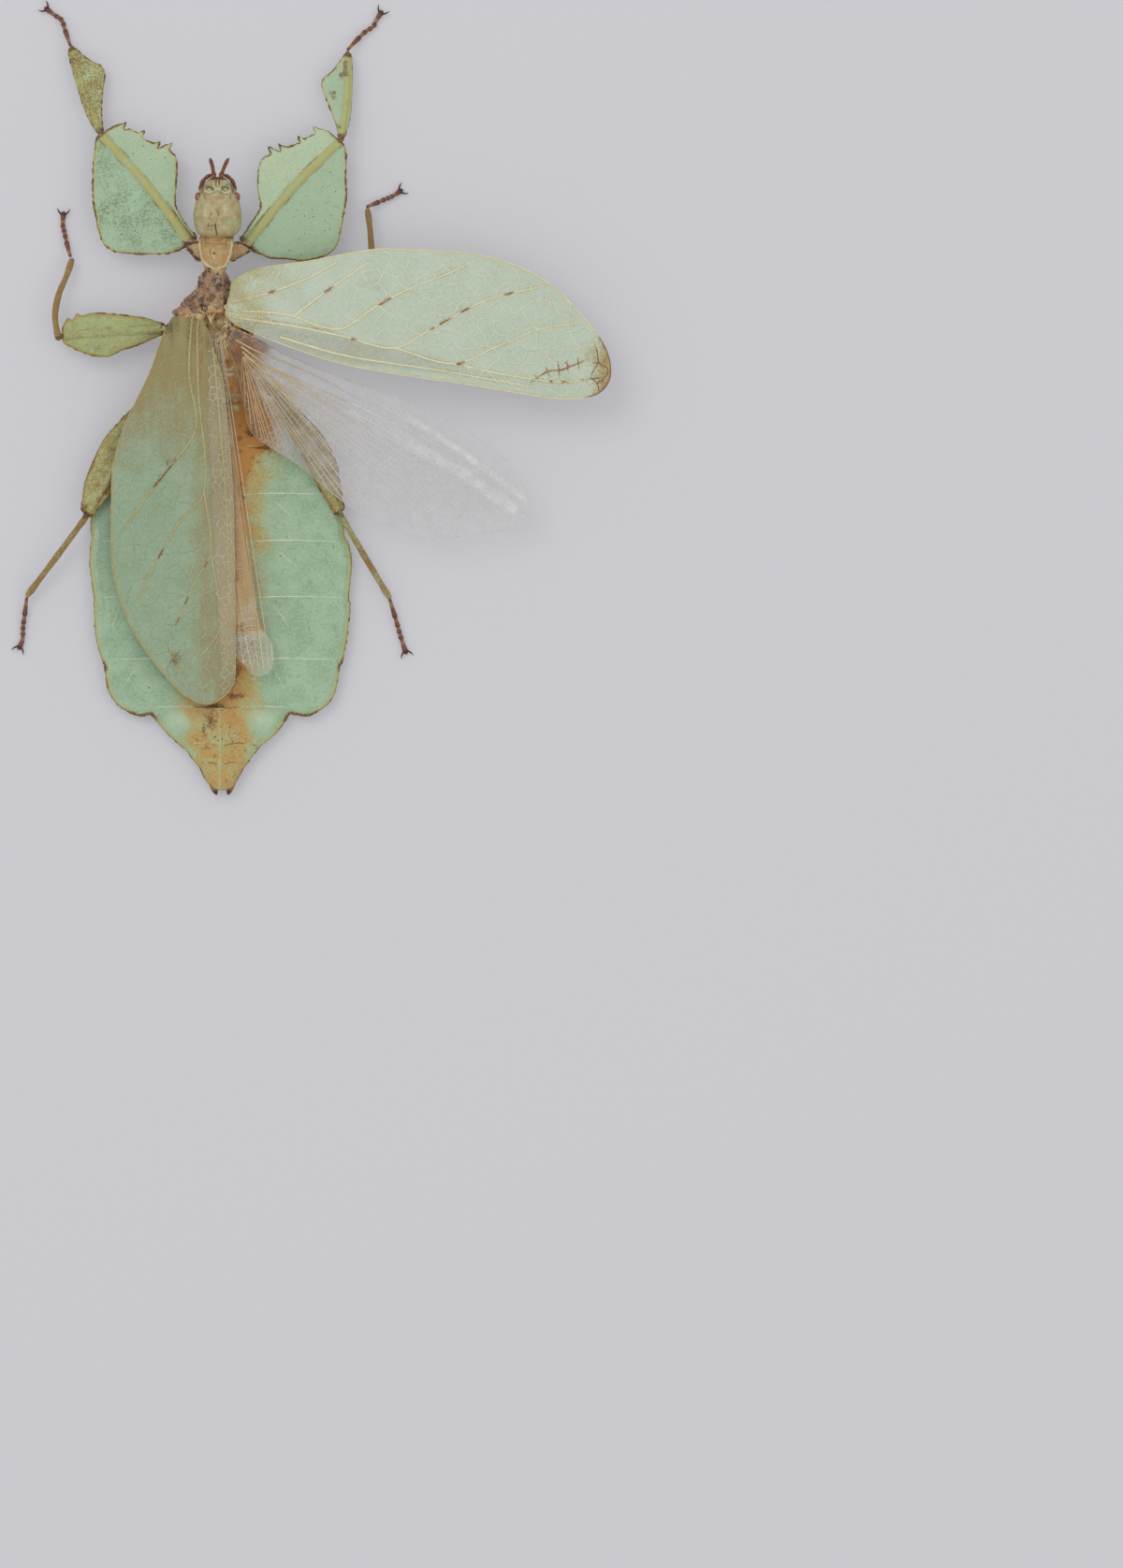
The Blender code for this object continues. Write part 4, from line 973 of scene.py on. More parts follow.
@dataclass
class Head:
    """The head capsule, its eyes, feelers and palps.

    The lines and spots on it are (x from the head's middle, y).
    """

    # y, half width, top and bottom of the capsule, as in the solids, closed at both ends
    stations: tuple = (
        (25.15, 0.05, 7.0, 6.4), (25.08, 1.1, 7.5, 5.9), (25.15, 2.0, 8.0, 5.5),
        (25.45, 2.75, 8.5, 5.1), (25.95, 3.25, 8.9, 4.8), (26.7, 3.58, 9.3, 4.65),
        (27.7, 3.72, 9.55, 4.55), (28.9, 3.72, 9.6, 4.5), (30.2, 3.5, 9.45, 4.5),
        (31.5, 3.0, 9.15, 4.6), (32.7, 2.5, 8.7, 4.7), (33.5, 2.0, 8.2, 4.9),
        (34.2, 1.3, 7.5, 5.4), (34.45, 0.6, 7.0, 5.9), (34.5, 0.05, 6.5, 6.3),
    )
    eye_radii: tuple[float, float, float] = (0.55, 0.72, 0.6)
    eye_out: float = 2.95
    eye_y: float = 31.35
    eye_z: float = 7.2
    field_out: float = 1.2
    field_y: float = 32.8
    field_radii: tuple[float, float] = (0.85, 0.72)
    antenna_root_y: float = 34.55
    antenna_length: float = 2.85
    # Where each feeler's root and tip lie across
    antennae: tuple = (("left", -15.05, -15.65), ("right", -13.9, -12.7))
    palp: tuple = (
        (2.5, 32.0, 5.9), (2.62, 32.9, 6.0), (2.25, 33.85, 6.1), (1.65, 34.45, 6.1),
        (1.05, 34.8, 6.0),
    )
    crack: tuple = ((-0.33, 26.95), (-0.26, 26.3), (-0.05, 25.4))
    steps: tuple = (
        ((-1.4, 26.8), (-0.9, 26.88), (-0.33, 26.95)),
        ((-0.96, 28.7), (-1.3, 27.9)),
        ((-1.36, 27.27), (-1.5, 26.74)),
        ((-0.07, 29.3), (0.2, 28.6), (0.0, 27.9), (-0.25, 27.3), (-0.33, 26.95)),
        ((-2.1, 31.75), (-1.95, 31.2)),
        ((2.1, 31.75), (1.95, 31.2)),
    )
    brow: tuple = (
        (-2.0, 32.25), (-1.6, 32.0), (-1.1, 31.95), (-0.35, 32.35), (0.0, 32.6),
        (0.4, 32.35), (1.1, 31.9), (1.6, 31.95), (2.05, 32.2),
    )
    pits: tuple = (
        ((-1.6, 32.75), (-1.3, 32.9), (-0.95, 32.8), (-0.65, 32.45)),
        ((1.6, 32.7), (1.3, 32.9), (0.95, 32.85), (0.7, 32.45)),
    )
    knob: tuple[float, float] = (0.0, 33.3)
    groove_at: tuple[float, float] = (-0.22, 0.25)
    # Bleached patches: x, y, half width, half length, depth
    bleached: tuple = (
        (1.2, 29.5, 0.8, 1.6, 0.6), (-1.9, 29.0, 0.5, 1.8, 0.6), (0.9, 26.6, 1.0, 0.7, 0.5)
    )

    def build(self) -> None:
        """Build and dress every piece of the head."""
        self._capsule()
        self._eyes()
        self._antennae()
        self._palps()

    def _capsule(self) -> None:
        """The capsule: a ball drawn through the head's sections, then carved."""
        bpy.ops.mesh.primitive_uv_sphere_add(segments=224, ring_count=150, radius=1.0)
        piece = bpy.context.object
        unit = places_of(piece) * MM
        turn = np.arccos(np.clip(unit[:, 2], -1.0, 1.0)) / math.pi
        around = np.arctan2(-unit[:, 1], unit[:, 0])
        stations = smooth_line(self.stations[::-1], 0.2)
        walk = np.r_[0.0, np.cumsum(np.hypot(*np.diff(stations[:, :2], axis=0).T))]
        walk /= walk[-1]
        y, width, top, bottom = (np.interp(turn, walk, column) for column in stations.T)
        middle = (top + bottom) / 2 - 0.1
        rise = np.where(np.sin(around) < 0, middle - bottom, top - middle)
        across = np.sign(np.cos(around)) * np.abs(np.cos(around)) ** 0.85
        places = np.c_[HEAD_X + width * across, y, middle + rise * np.sin(around)]
        upper = ease(np.sin(around), 0.05, 0.5)
        places[:, 2] += upper * self._relief(places[:, :2] - (HEAD_X, 0.0))
        for side in Side:
            centre = np.array((HEAD_X + side.value * self.eye_out, self.eye_y, self.eye_z))
            away = np.linalg.norm((places - centre) / (1.0, 1.25, 1.05), axis=1)
            outward = (places - centre) / np.maximum(away, 0.1)[:, None]
            places += outward * (0.07 * bell(away - 0.9, 0.16))[:, None]
        move_to(piece, places)
        paint(piece, self._tints(places[:, :2] - (HEAD_X, 0.0), places[:, 2]))
        finish_piece(piece, "head_skin", Finish.KHAKI, "khaki_cuticle", ("head",))

    def _field(self, flat: Array, side: Side) -> Array:
        """How far from the middle of a feeler's field each place is, 1 at its rim."""
        return oval(flat, side.value * self.field_out, self.field_y, *self.field_radii)

    def _relief(self, flat: Array) -> Array:
        """Carve the top of the head.

        Args:
            flat: places seen from above, from the head's middle.

        Returns:
            How far each one stands out or in.
        """
        relief = 0.16 * (fuzz(flat, 1.3, 3) - 0.5) + 0.07 * (fuzz(flat, 0.4, 4) - 0.5)
        for side in Side:
            away = self._field(flat, side)
            relief += 0.16 * bell(away - 1.0, 0.16) + 0.2 * bell(away, 0.75)
            relief += 0.12 * bell(oval(flat, side.value * 0.85, 33.35), 0.3)
            relief += 0.18 * bell(oval(flat, side.value * 2.15, 32.6, 0.25, 0.8), 1.0)
        relief += 0.13 * bell(away_from(flat, self.brow), 0.1)
        relief -= 0.08 * bell(away_from(flat + (0.0, 0.22), self.brow), 0.1)
        relief += 0.2 * bell(oval(flat, *self.knob), 0.2)
        grooves = [((x_at, 33.0), (x_at, 34.1)) for x_at in self.groove_at]
        for lines, depth, width in (
            (self.pits, 0.26, 0.15),
            (grooves, 0.12, 0.1),
            ((self.crack,), 0.34, 0.08),
            (self.steps, 0.11, 0.07),
        ):
            for line in lines:
                relief -= depth * bell(away_from(flat, line), width)
        shoulder = hill(np.abs(flat[:, 0]) - 1.5, 0.6) * ease(flat[:, 1], 31.5, 29.5)
        return relief - 0.08 * shoulder

    def _tints(self, flat: Array, height: Array) -> dict[Tint, Array]:
        """Paint the capsule's darker, paler and greener places.

        Args:
            flat: places seen from above, from the head's middle.
            height: how high they lie.

        Returns:
            The tints.
        """
        x, y = flat.T
        grooves = [((x_at, 33.2), (x_at, 34.4)) for x_at in self.groove_at]
        cheeks = [((side.value * 2.4, 32.0), (side.value * 2.0, 33.5)) for side in Side]
        brown = 0.55 * hill(away_from(flat + (0.0, 0.2), self.brow), 0.16)
        for lines, depth, width in (
            ((self.crack,), 1.0, 0.2),
            (self.steps, 0.75, 0.16),
            (self.pits, 0.75, 0.3),
            (grooves, 0.9, 0.2),
            (cheeks, 0.7, 0.35),
        ):
            brown = most(brown, *(depth * hill(away_from(flat, line), width) for line in lines))
        brown = most(
            brown,
            0.95 * ease(y, 33.75, 34.2),
            0.25 * ease(np.abs(x), 2.2, 3.4) * fuzz(flat, 0.5, 39),
        )
        ochre = most(
            0.6 * hill(oval(flat, -0.6, 30.6, 0.7, 0.5), 1.0),
            0.5 * hill(x, 2.0) * hill(y - 31.3, 0.7),
            0.45 * ease(y, 26.5, 25.4),
            0.5 * hill(x + 0.2, 0.8) * hill(y - 28.2, 1.6),
            0.55 * ease(fuzz(flat, 0.8, 38), 0.45, 0.9),
        )
        pale = most(
            hill(away_from(flat, self.brow), 0.2),
            0.95 * hill(oval(flat, *self.knob), 0.28),
            *(depth * hill(oval(flat, *spot), 1.0) for *spot, depth in self.bleached),
        )
        green = most(
            0.55 * ease(7.8 - height, 0.0, 1.5),
            0.5 * ease(fuzz(flat, 1.1, 40), 0.5, 0.9),
            0.8 * hill(oval(flat, 0.0, 31.85), 0.4),
        )
        for side in Side:
            away = self._field(flat, side)
            pale = most(pale, 0.6 * hill(away - 1.0, 0.24) * (0.3 + fuzz(flat, 0.4, 5)))
            green = most(green, 0.8 * ease(1.05 - away, 0.0, 0.3))
            spots = ease(fuzz(flat, 0.35, 6), 0.4, 0.8)
            brown = most(brown, 0.5 * ease(1.1 - away, 0.0, 0.4) * spots)
        return {Tint.BROWN: brown, Tint.OCHRE: ochre, Tint.PALE: pale, Tint.RIM: green}

    def _eyes(self) -> None:
        """The two egg-shaped eyes."""
        for name, side in (("eye_left", Side.LEFT), ("eye_right", Side.RIGHT)):
            centre = (HEAD_X + side.value * self.eye_out, self.eye_y, self.eye_z)
            piece = ball(centre, self.eye_radii, 48, 32)
            # Painted shade: each eye is lighter on its crown and darker down its sides
            height = ((places_of(piece) - centre) / self.eye_radii)[:, 2]
            paint(piece, {Tint.BROWN: 0.25 + 0.75 * ease(1.0 - height, 0.0, 1.0)})
            finish_piece(piece, name + "_ball", Finish.EYE, "eye", (name,))

    def _antennae(self) -> None:
        """The short feelers: a broad scape, a small ring, six rings and a long tip."""
        # How far along each ring edge lies, as a share, and its radius
        rows = [(-0.06, 0.3), (0.0, 0.38), (0.05, 0.42), (0.13, 0.43), (0.17, 0.38), (0.185, 0.28)]
        rows += [(0.2, 0.28), (0.22, 0.33), (0.25, 0.34), (0.27, 0.3), (0.28, 0.25)]
        start = 0.29
        for length, radius in zip((0.05, 0.05, 0.055, 0.06, 0.065, 0.07), (29, 30, 31, 31, 32, 32)):
            radius /= 100
            rows += [(start, 0.25), (start + 0.2 * length, radius), (start + 0.75 * length, radius)]
            start += length
            rows.append((start - 0.06 * length, 0.25))
        rows += [(start, 0.26), (start + 0.02, 0.32), (0.8, 0.31), (0.9, 0.25), (0.97, 0.14)]
        rows.append((1.0, 0.02))
        shares, sizes = (np.array(column) for column in zip(*rows))
        fine = np.unique(np.r_[shares, np.linspace(-0.06, 1.0, 60)])
        radii = np.interp(fine, shares, sizes)
        for name, root_x, tip_x in self.antennae:
            bow = np.sin(math.pi * np.maximum(fine, 0.0)) * math.copysign(0.12, tip_x - root_x)
            x = root_x + (tip_x - root_x) * fine - bow
            y = self.antenna_root_y + self.antenna_length * fine
            piece = rods([np.c_[x, y, 6.6 + 0.5 * fine]], [radii], 20)
            share = (places_of(piece)[:, 1] - self.antenna_root_y) / self.antenna_length
            thin = np.interp(share, fine, radii)
            pale = most(0.9 * hill(thin - 0.25, 0.03), 0.5 * (share < 0.05))
            paint(piece, {Tint.PALE: pale * (share < 0.8)})
            node = "antenna_" + name
            finish_piece(piece, node + "_rings", Finish.RUST, "rust_cuticle", (node,))

    def _palps(self) -> None:
        """The jointed palps that show at the front corners."""
        path = smooth_line(self.palp, 0.08)
        share = np.linspace(0.0, 1.0, len(path))
        joints = np.abs(np.sin(share * math.pi * 3.0)) ** 0.35
        radii = 0.2 + 0.16 * joints * (1.0 - 0.35 * share)
        radii[-1] = 0.03
        for name, side in (("palp_left", Side.LEFT), ("palp_right", Side.RIGHT)):
            line = path * (side.value, 1.0, 1.0) + (HEAD_X, 0.0, 0.0)
            piece = rods([line], [radii], 16)
            paint(piece, {Tint.PALE: 0.7 * hill(places_of(piece)[:, 1] - 32.3, 0.7)})
            finish_piece(piece, name + "_joints", Finish.RUST, "rust_cuticle", (name,))


@dataclass
class Thorax:
    """The thorax and hips as one skin, with the grains along its back and sides.

    Spots are x, y, half width, half length and then what each table says.
    """

    voxel: float = 0.12
    nodes: tuple[str, ...] = (
        "pronotum", "mesothorax", "metathorax", "coxa_front_left", "coxa_front_right",
        "coxa_mid_left", "coxa_mid_right", "coxa_hind_left", "coxa_hind_right",
    )
    # Centre and radii of the flesh that closes each gap between the solids
    plugs: tuple = (
        ((-14.6, 25.0, 6.4), (2.5, 0.9, 1.3)), ((-16.6, 25.0, 6.3), (0.7, 0.6, 0.6)),
        ((-12.6, 25.0, 6.3), (0.7, 0.6, 0.6)), ((-15.0, 19.5, 6.3), (1.9, 0.8, 1.75)),
        ((-14.95, 13.2, 4.7), (5.8, 0.8, 1.3)), ((-14.9, 0.2, 2.9), (5.2, 0.9, 1.2)),
        ((-14.3, 18.2, 6.3), (0.9, 0.9, 1.85)), ((-17.4, 22.9, 4.9), (1.0, 1.6, 1.1)),
        ((-12.1, 22.9, 4.9), (1.0, 1.6, 1.1)), ((-21.1, 11.0, 3.8), (1.0, 1.1, 0.9)),
        ((-8.7, 11.8, 3.8), (1.0, 1.1, 0.9)), ((-21.1, 3.3, 3.5), (1.0, 1.3, 0.9)),
        ((-8.7, 3.3, 3.5), (1.0, 1.3, 0.9)), ((-18.7, 24.3, 4.1), (0.95, 0.8, 0.65)),
        ((-10.0, 24.0, 4.1), (0.95, 0.8, 0.65)), ((-22.9, 11.0, 3.65), (0.9, 0.55, 0.55)),
        ((-6.9, 12.7, 3.65), (0.9, 0.55, 0.55)), ((-23.4, 0.4, 3.6), (0.7, 0.7, 0.6)),
        ((-5.0, 0.4, 3.6), (0.7, 0.7, 0.6)), ((-20.7, 13.5, 7.75), (0.9, 0.6, 0.4)),
        ((-19.1, 13.4, 7.85), (1.2, 0.9, 0.42)), ((-17.2, 13.3, 7.85), (1.0, 1.1, 0.4)),
    )
    # The shield's raised rim, and the groove along its middle, as (x, y)
    rim_line: tuple = (
        (-17.3, 24.7), (-17.15, 23.2), (-16.75, 21.6), (-16.2, 20.65), (-15.3, 20.25),
        (-14.2, 20.2), (-13.4, 20.6), (-12.75, 21.6), (-12.3, 23.2), (-12.15, 24.6),
    )
    groove: tuple = ((-14.9, 20.6), (-14.88, 22.4), (-14.85, 24.2))
    # Swells and hollows of the shield, with their heights
    swells: tuple = (
        (-16.0, 22.2, 0.8, 1.3, 0.16), (-13.6, 22.0, 0.8, 1.3, 0.16),
        (-15.7, 24.3, 1.0, 0.5, -0.15), (-13.8, 24.3, 1.0, 0.5, -0.15),
    )
    # Lumps of the bare back beside the folded wings: x, y, radius, height
    lumps: tuple = ((-13.9, 7.6, 1.0, 0.35), (-13.1, 5.9, 1.0, 0.3), (-12.6, 2.2, 1.3, 0.4))
    # Ochre patches of the shield and the bar, with their depths
    patches: tuple = (
        (-13.5, 21.7, 0.75, 1.1, 0.75), (-16.7, 23.4, 0.6, 1.3, 0.5), (-16.1, 21.7, 0.6, 1.0, 0.45),
        (-15.9, 24.6, 1.1, 0.5, 0.6), (-13.6, 24.6, 1.1, 0.5, 0.5), (-15.4, 13.6, 1.6, 1.5, 0.55),
        (-17.4, 14.3, 0.7, 0.8, 0.8),
    )
    # Dark seams: the line, its half width and its depth
    seams: tuple = (
        (((-17.5, 24.4), (-19.6, 24.0)), 0.45, 1.0),
        (((-19.3, 23.6), (-17.6, 21.8)), 0.5, 1.0),
        (((-11.9, 24.6), (-9.0, 23.4)), 0.45, 1.0),
        (((-9.0, 23.2), (-11.4, 21.6), (-12.4, 21.3)), 0.5, 1.0),
        (((-17.2, 21.2), (-16.4, 19.9)), 0.4, 0.9),
        (((-12.5, 21.2), (-13.0, 19.9)), 0.4, 0.9),
        (((-16.0, 20.2), (-15.7, 19.8)), 0.35, 0.9),
        (((-14.9, 22.65), (-14.85, 22.7)), 0.2, 1.0),
    )
    # Rusty spots of the bare back, with how ochre and how brown they are
    rusty: tuple = (
        (-13.9, 7.6, 0.9, 0.9, 0.95, 0.0), (-13.1, 5.9, 0.95, 0.95, 1.0, 0.75),
        (-12.6, 2.2, 1.3, 1.4, 1.0, 0.25), (-11.9, 10.1, 1.6, 0.7, 0.6, 0.95),
        (-9.6, 9.3, 1.6, 0.5, 0.4, 0.7),
    )
    # Pale ridges across the bare back
    ridges: tuple = (((-14.3, 4.7), (-13.1, 4.6), (-12.0, 5.1)), ((-14.3, 3.8), (-11.9, 4.0)))
    # The folds of skin between the wing roots, as (x, y, z)
    folds: tuple = (
        ((-16.6, 14.3, 8.1), (-16.2, 13.4, 7.9), (-15.7, 12.5, 7.6), (-15.5, 11.6, 7.2)),
        ((-14.5, 14.4, 8.1), (-14.8, 13.4, 7.9), (-15.3, 12.4, 7.6), (-15.4, 11.6, 7.2)),
        ((-16.0, 14.0, 8.0), (-15.6, 13.0, 7.8), (-15.4, 12.2, 7.5)),
        ((-15.1, 14.0, 8.0), (-15.2, 13.0, 7.8), (-15.3, 12.2, 7.5)),
        ((-15.3, 12.0, 7.3), (-14.9, 11.1, 6.9), (-14.3, 10.6, 6.7)),
        ((-15.1, 9.9, 6.6), (-14.2, 10.4, 6.8), (-13.5, 11.2, 7.1), (-12.9, 11.7, 7.3)),
        ((-12.9, 11.8, 7.3), (-11.6, 10.9, 7.1), (-10.0, 10.2, 6.9), (-8.2, 9.3, 6.6)),
    )
    # Centre and radii of the wings' hinge plates
    hinges: tuple = (
        ((-12.95, 14.3, 7.7), (0.75, 0.5, 0.4)),
        ((-12.3, 13.6, 7.65), (0.8, 0.4, 0.35)),
        ((-16.9, 12.9, 7.35), (0.6, 0.5, 0.35)),
    )

    def build(self) -> None:
        """Build the skin, then its grains and the hinges of the wings."""
        skin = self._skin()
        tree = surface_under(skin)
        finish_piece(skin, "thorax_skin", Finish.THORAX, "ochre_cuticle", self.nodes)
        self._grains(tree)
        self._folds(tree)

    def _skin(self) -> Piece:
        """Grow copies of the solids together, then smooth, carve and paint them.

        Returns:
            The skin.
        """
        select_only(*[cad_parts[node] for node in self.nodes])
        bpy.ops.object.duplicate()
        copies = list(bpy.context.selected_objects)
        balls = [ball(centre, radii, 24, 16) for centre, radii in self.plugs]
        skin = join(copies + balls)
        skin.parent = None
        apply_modifier(skin, "REMESH", mode="VOXEL", voxel_size=self.voxel * MM, adaptivity=0.0)
        apply_modifier(skin, "SMOOTH", factor=0.5, iterations=14)
        places = places_of(skin)
        normals = np.empty(len(places) * 3)
        skin.data.vertices.foreach_get("normal", normals)
        upward = ease(normals.reshape(-1, 3)[:, 2], 0.0, 0.5)
        places[:, 2] += upward * self._relief(places[:, :2])
        move_to(skin, places)
        paint(skin, self._tints(places))
        return skin

    def _relief(self, flat: Array) -> Array:
        """Carve the back.

        Args:
            flat: places seen from above.

        Returns:
            How far each one stands out or in.
        """
        relief = 0.16 * (fuzz(flat, 0.9, 11) - 0.5) + 0.08 * (fuzz(flat, 0.35, 13) - 0.5)
        soft = 1.0 - ease(flat[:, 1], 12.5, 14.5)
        relief += soft * (0.35 * (fuzz(flat, 0.8, 14) - 0.5) + 0.14 * (fuzz(flat, 0.3, 15) - 0.5))
        shield = ease(flat[:, 1], 19.7, 20.0)
        relief += shield * 0.22 * bell(away_from(flat, self.rim_line), 0.17)
        inside = shield * ease(flat[:, 1], 25.2, 24.4)
        relief -= inside * 0.14 * bell(away_from(flat, self.groove), 0.16)
        relief -= 0.25 * bell(oval(flat, -14.87, 22.65), 0.16)
        for *spot, height in self.swells:
            relief += height * bell(oval(flat, *spot), 1.0)
        bar = (1 - shield) * ease(flat[:, 1], 12.6, 13.4)
        relief += bar * 0.2 * (fuzz(flat, 0.4, 12) - 0.4)
        for x_at, y_at, radius, height in self.lumps:
            relief += height * hill(oval(flat, x_at, y_at), radius * 1.3)
        return relief

    def _tints(self, places: Array) -> dict[Tint, Array]:
        """Paint the shield's rim and patches, the dark bar and the bare back's colours.

        Args:
            places: the skin's places.

        Returns:
            The tints.
        """
        flat = warped(places[:, :2], 0.22, 0.7, 28)
        x, y = flat.T
        shield = ease(places[:, 1], 19.6, 19.9)
        bar = (1 - shield) * ease(y, 12.6, 13.8)
        bare = 1 - ease(y, 12.0, 12.6)
        tangle = (1.0 - ease(y, 13.2, 14.4)) * ease(y, 8.0, 9.0)
        collar = shield * ease(y, 24.6, 25.0)
        low = ease(6.0 - places[:, 2], 0.0, 1.2)
        coxa = ease(np.abs(x + 14.75), 2.75, 3.0) * ease(y, 19.9, 20.3)
        plum = bar * (1.0 - 0.8 * hill(oval(flat, -15.1, 14.9, 1.3, 1.6), 1.0))
        brown = most(
            bar * (0.1 + 0.6 * ease(fuzz(flat, 0.5, 21), 0.4, 0.85)),
            bar * 0.6 * ease(np.abs(x + 15.0), 1.7, 2.8) * fuzz(flat, 0.7, 29),
            0.8 * collar * fuzz(flat, 0.6, 24),
            0.35 * shield * ease(y, 23.2, 24.6) * fuzz(flat, 0.6, 37),
            0.45 * low * shield * fuzz(flat, 0.6, 25),
            tangle * 0.85 * ease(fuzz(flat * (1.0, 0.5), 0.45, 31), 0.55, 0.8),
            bare * 0.1 * fuzz(flat, 0.9, 22),
            *(depth * hill(away_from(flat, line), width) for line, width, depth in self.seams),
            *(bare * dark * hill(oval(flat, *spot), 1.1) for *spot, _, dark in self.rusty),
        )
        pale = most(
            0.85 * shield * hill(away_from(flat, self.rim_line), 0.38),
            0.5 * bar * ease(fuzz(flat, 0.35, 30), 0.6, 0.9),
            0.95 * hill(y - 19.85, 0.35) * hill(x + 14.4, 1.5),
            0.7 * shield * hill(oval(flat, -14.9, 22.4, 0.55, 2.2), 1.0),
            tangle * 0.75 * ease(fuzz(flat * (1.0, 0.4), 0.4, 33), 0.5, 0.8),
            0.8 * hill(oval(flat, -14.0, 9.2), 0.7),
            0.8 * hill(oval(flat, -11.6, -0.4), 0.8),
            *(0.9 * bare * hill(away_from(flat, line), 0.3) for line in self.ridges),
        )
        ochre = most(
            0.5 * collar,
            0.4 * ease(fuzz(flat, 0.9, 36), 0.45, 0.9) * shield,
            tangle * 0.8 * ease(fuzz(flat * (1.0, 0.6), 0.6, 32), 0.5, 0.8),
            0.4 * bare * fuzz(flat, 0.9, 23),
            *(depth * hill(oval(flat, *spot), 1.15) for *spot, depth in self.patches),
            *(
                bare * rust * ease(1.25 - oval(flat, *spot), 0.0, 0.5)
                for *spot, rust, _ in self.rusty
            ),
        )
        rim = most(plum, 0.35 * coxa)
        return {Tint.BROWN: brown, Tint.OCHRE: ochre, Tint.PALE: pale, Tint.RIM: rim}

    def _grains(self, tree: BVHTree) -> None:
        """The rough grains of the dark bar, and the bigger ones along its sides.

        Args:
            tree: the skin's surface.
        """
        draw = np.random.default_rng(7)
        spots, sizes = [], []
        for row in np.arange(14.6, 19.3, 0.27):
            for column in np.arange(-1.7, 1.75, 0.31):
                spots.append((THORAX_X + column + draw.normal(0, 0.08), row + draw.normal(0, 0.08)))
                sizes.append(0.06 + 0.07 * draw.random())
        rows = (13.0, 13.8, 15.1, 16.1, 16.9, 17.8, 19.2)
        widths = (6.4, 5.9, 4.8, 3.9, 3.1, 2.65, 2.25)
        for side in Side:
            for row in np.arange(13.2, 19.2, 0.3):
                width = np.interp(row, rows, widths)
                for back in (0.05, 0.4, 0.8, 1.3, 1.9, 2.6):
                    if back > width - 1.9:
                        continue
                    out = side.value * (width - back + draw.normal(0, 0.1))
                    spots.append((THORAX_X + out, row + draw.normal(0, 0.1)))
                    sizes.append((0.2 if back < 0.3 else 0.12) * (0.6 + 0.6 * draw.random()))
        spots = np.array(spots)
        heights = drop_onto(tree, spots, -1.0)
        spots, sizes, heights = (v[heights > 0.0] for v in (spots, np.array(sizes), heights))
        piece = scatter(np.c_[spots, heights], sizes)
        finish_piece(piece, "thorax_grains", Finish.GRAINS, "umber_cuticle")

    def _folds(self, tree: BVHTree) -> None:
        """The pale folds of skin between the wing roots, and the wings' hinges.

        Args:
            tree: the skin's surface.
        """
        draw = np.random.default_rng(34)
        strands = Strands()
        for fold in self.folds:
            line = smooth_line(fold, 0.2)
            strands.add(line, 0.15 * np.sin(np.linspace(0.25, math.pi - 0.25, len(line))) ** 0.5)
        share = np.linspace(0.0, 1.0, 9)
        for _ in range(46):
            x_at, y_at = draw.uniform(-17.3, -11.6), draw.uniform(8.6, 14.6)
            lean = math.copysign(0.5, -14.9 - x_at) + draw.normal(0.0, 0.35)
            reach = draw.uniform(0.6, 1.7)
            bow = draw.normal(0.0, 0.25) * np.sin(math.pi * share)
            line = np.c_[x_at + lean * reach * share + bow, y_at - reach * share]
            height = drop_onto(tree, line, 0.0)
            if height.min() > 4.0:
                taper = np.sin(np.linspace(0.2, 2.94, 9)) ** 0.5
                strands.add(np.c_[line, height - 0.05], draw.uniform(0.08, 0.2) * taper)
        hinges = [ball(centre, radii, 24, 16) for centre, radii in self.hinges]
        piece = join([strands.build(8), *hinges])
        flat = places_of(piece)[:, :2]
        tints = {
            Tint.PALE: 0.85 * ease(fuzz(flat, 0.6, 26), 0.3, 0.8),
            Tint.OCHRE: 0.6 * fuzz(flat, 0.9, 27),
            Tint.BROWN: 0.55 * ease(fuzz(flat, 0.7, 35), 0.5, 0.9),
        }
        paint(piece, tints)
        finish_piece(piece, "wing_hinges", Finish.THORAX, "ochre_cuticle")


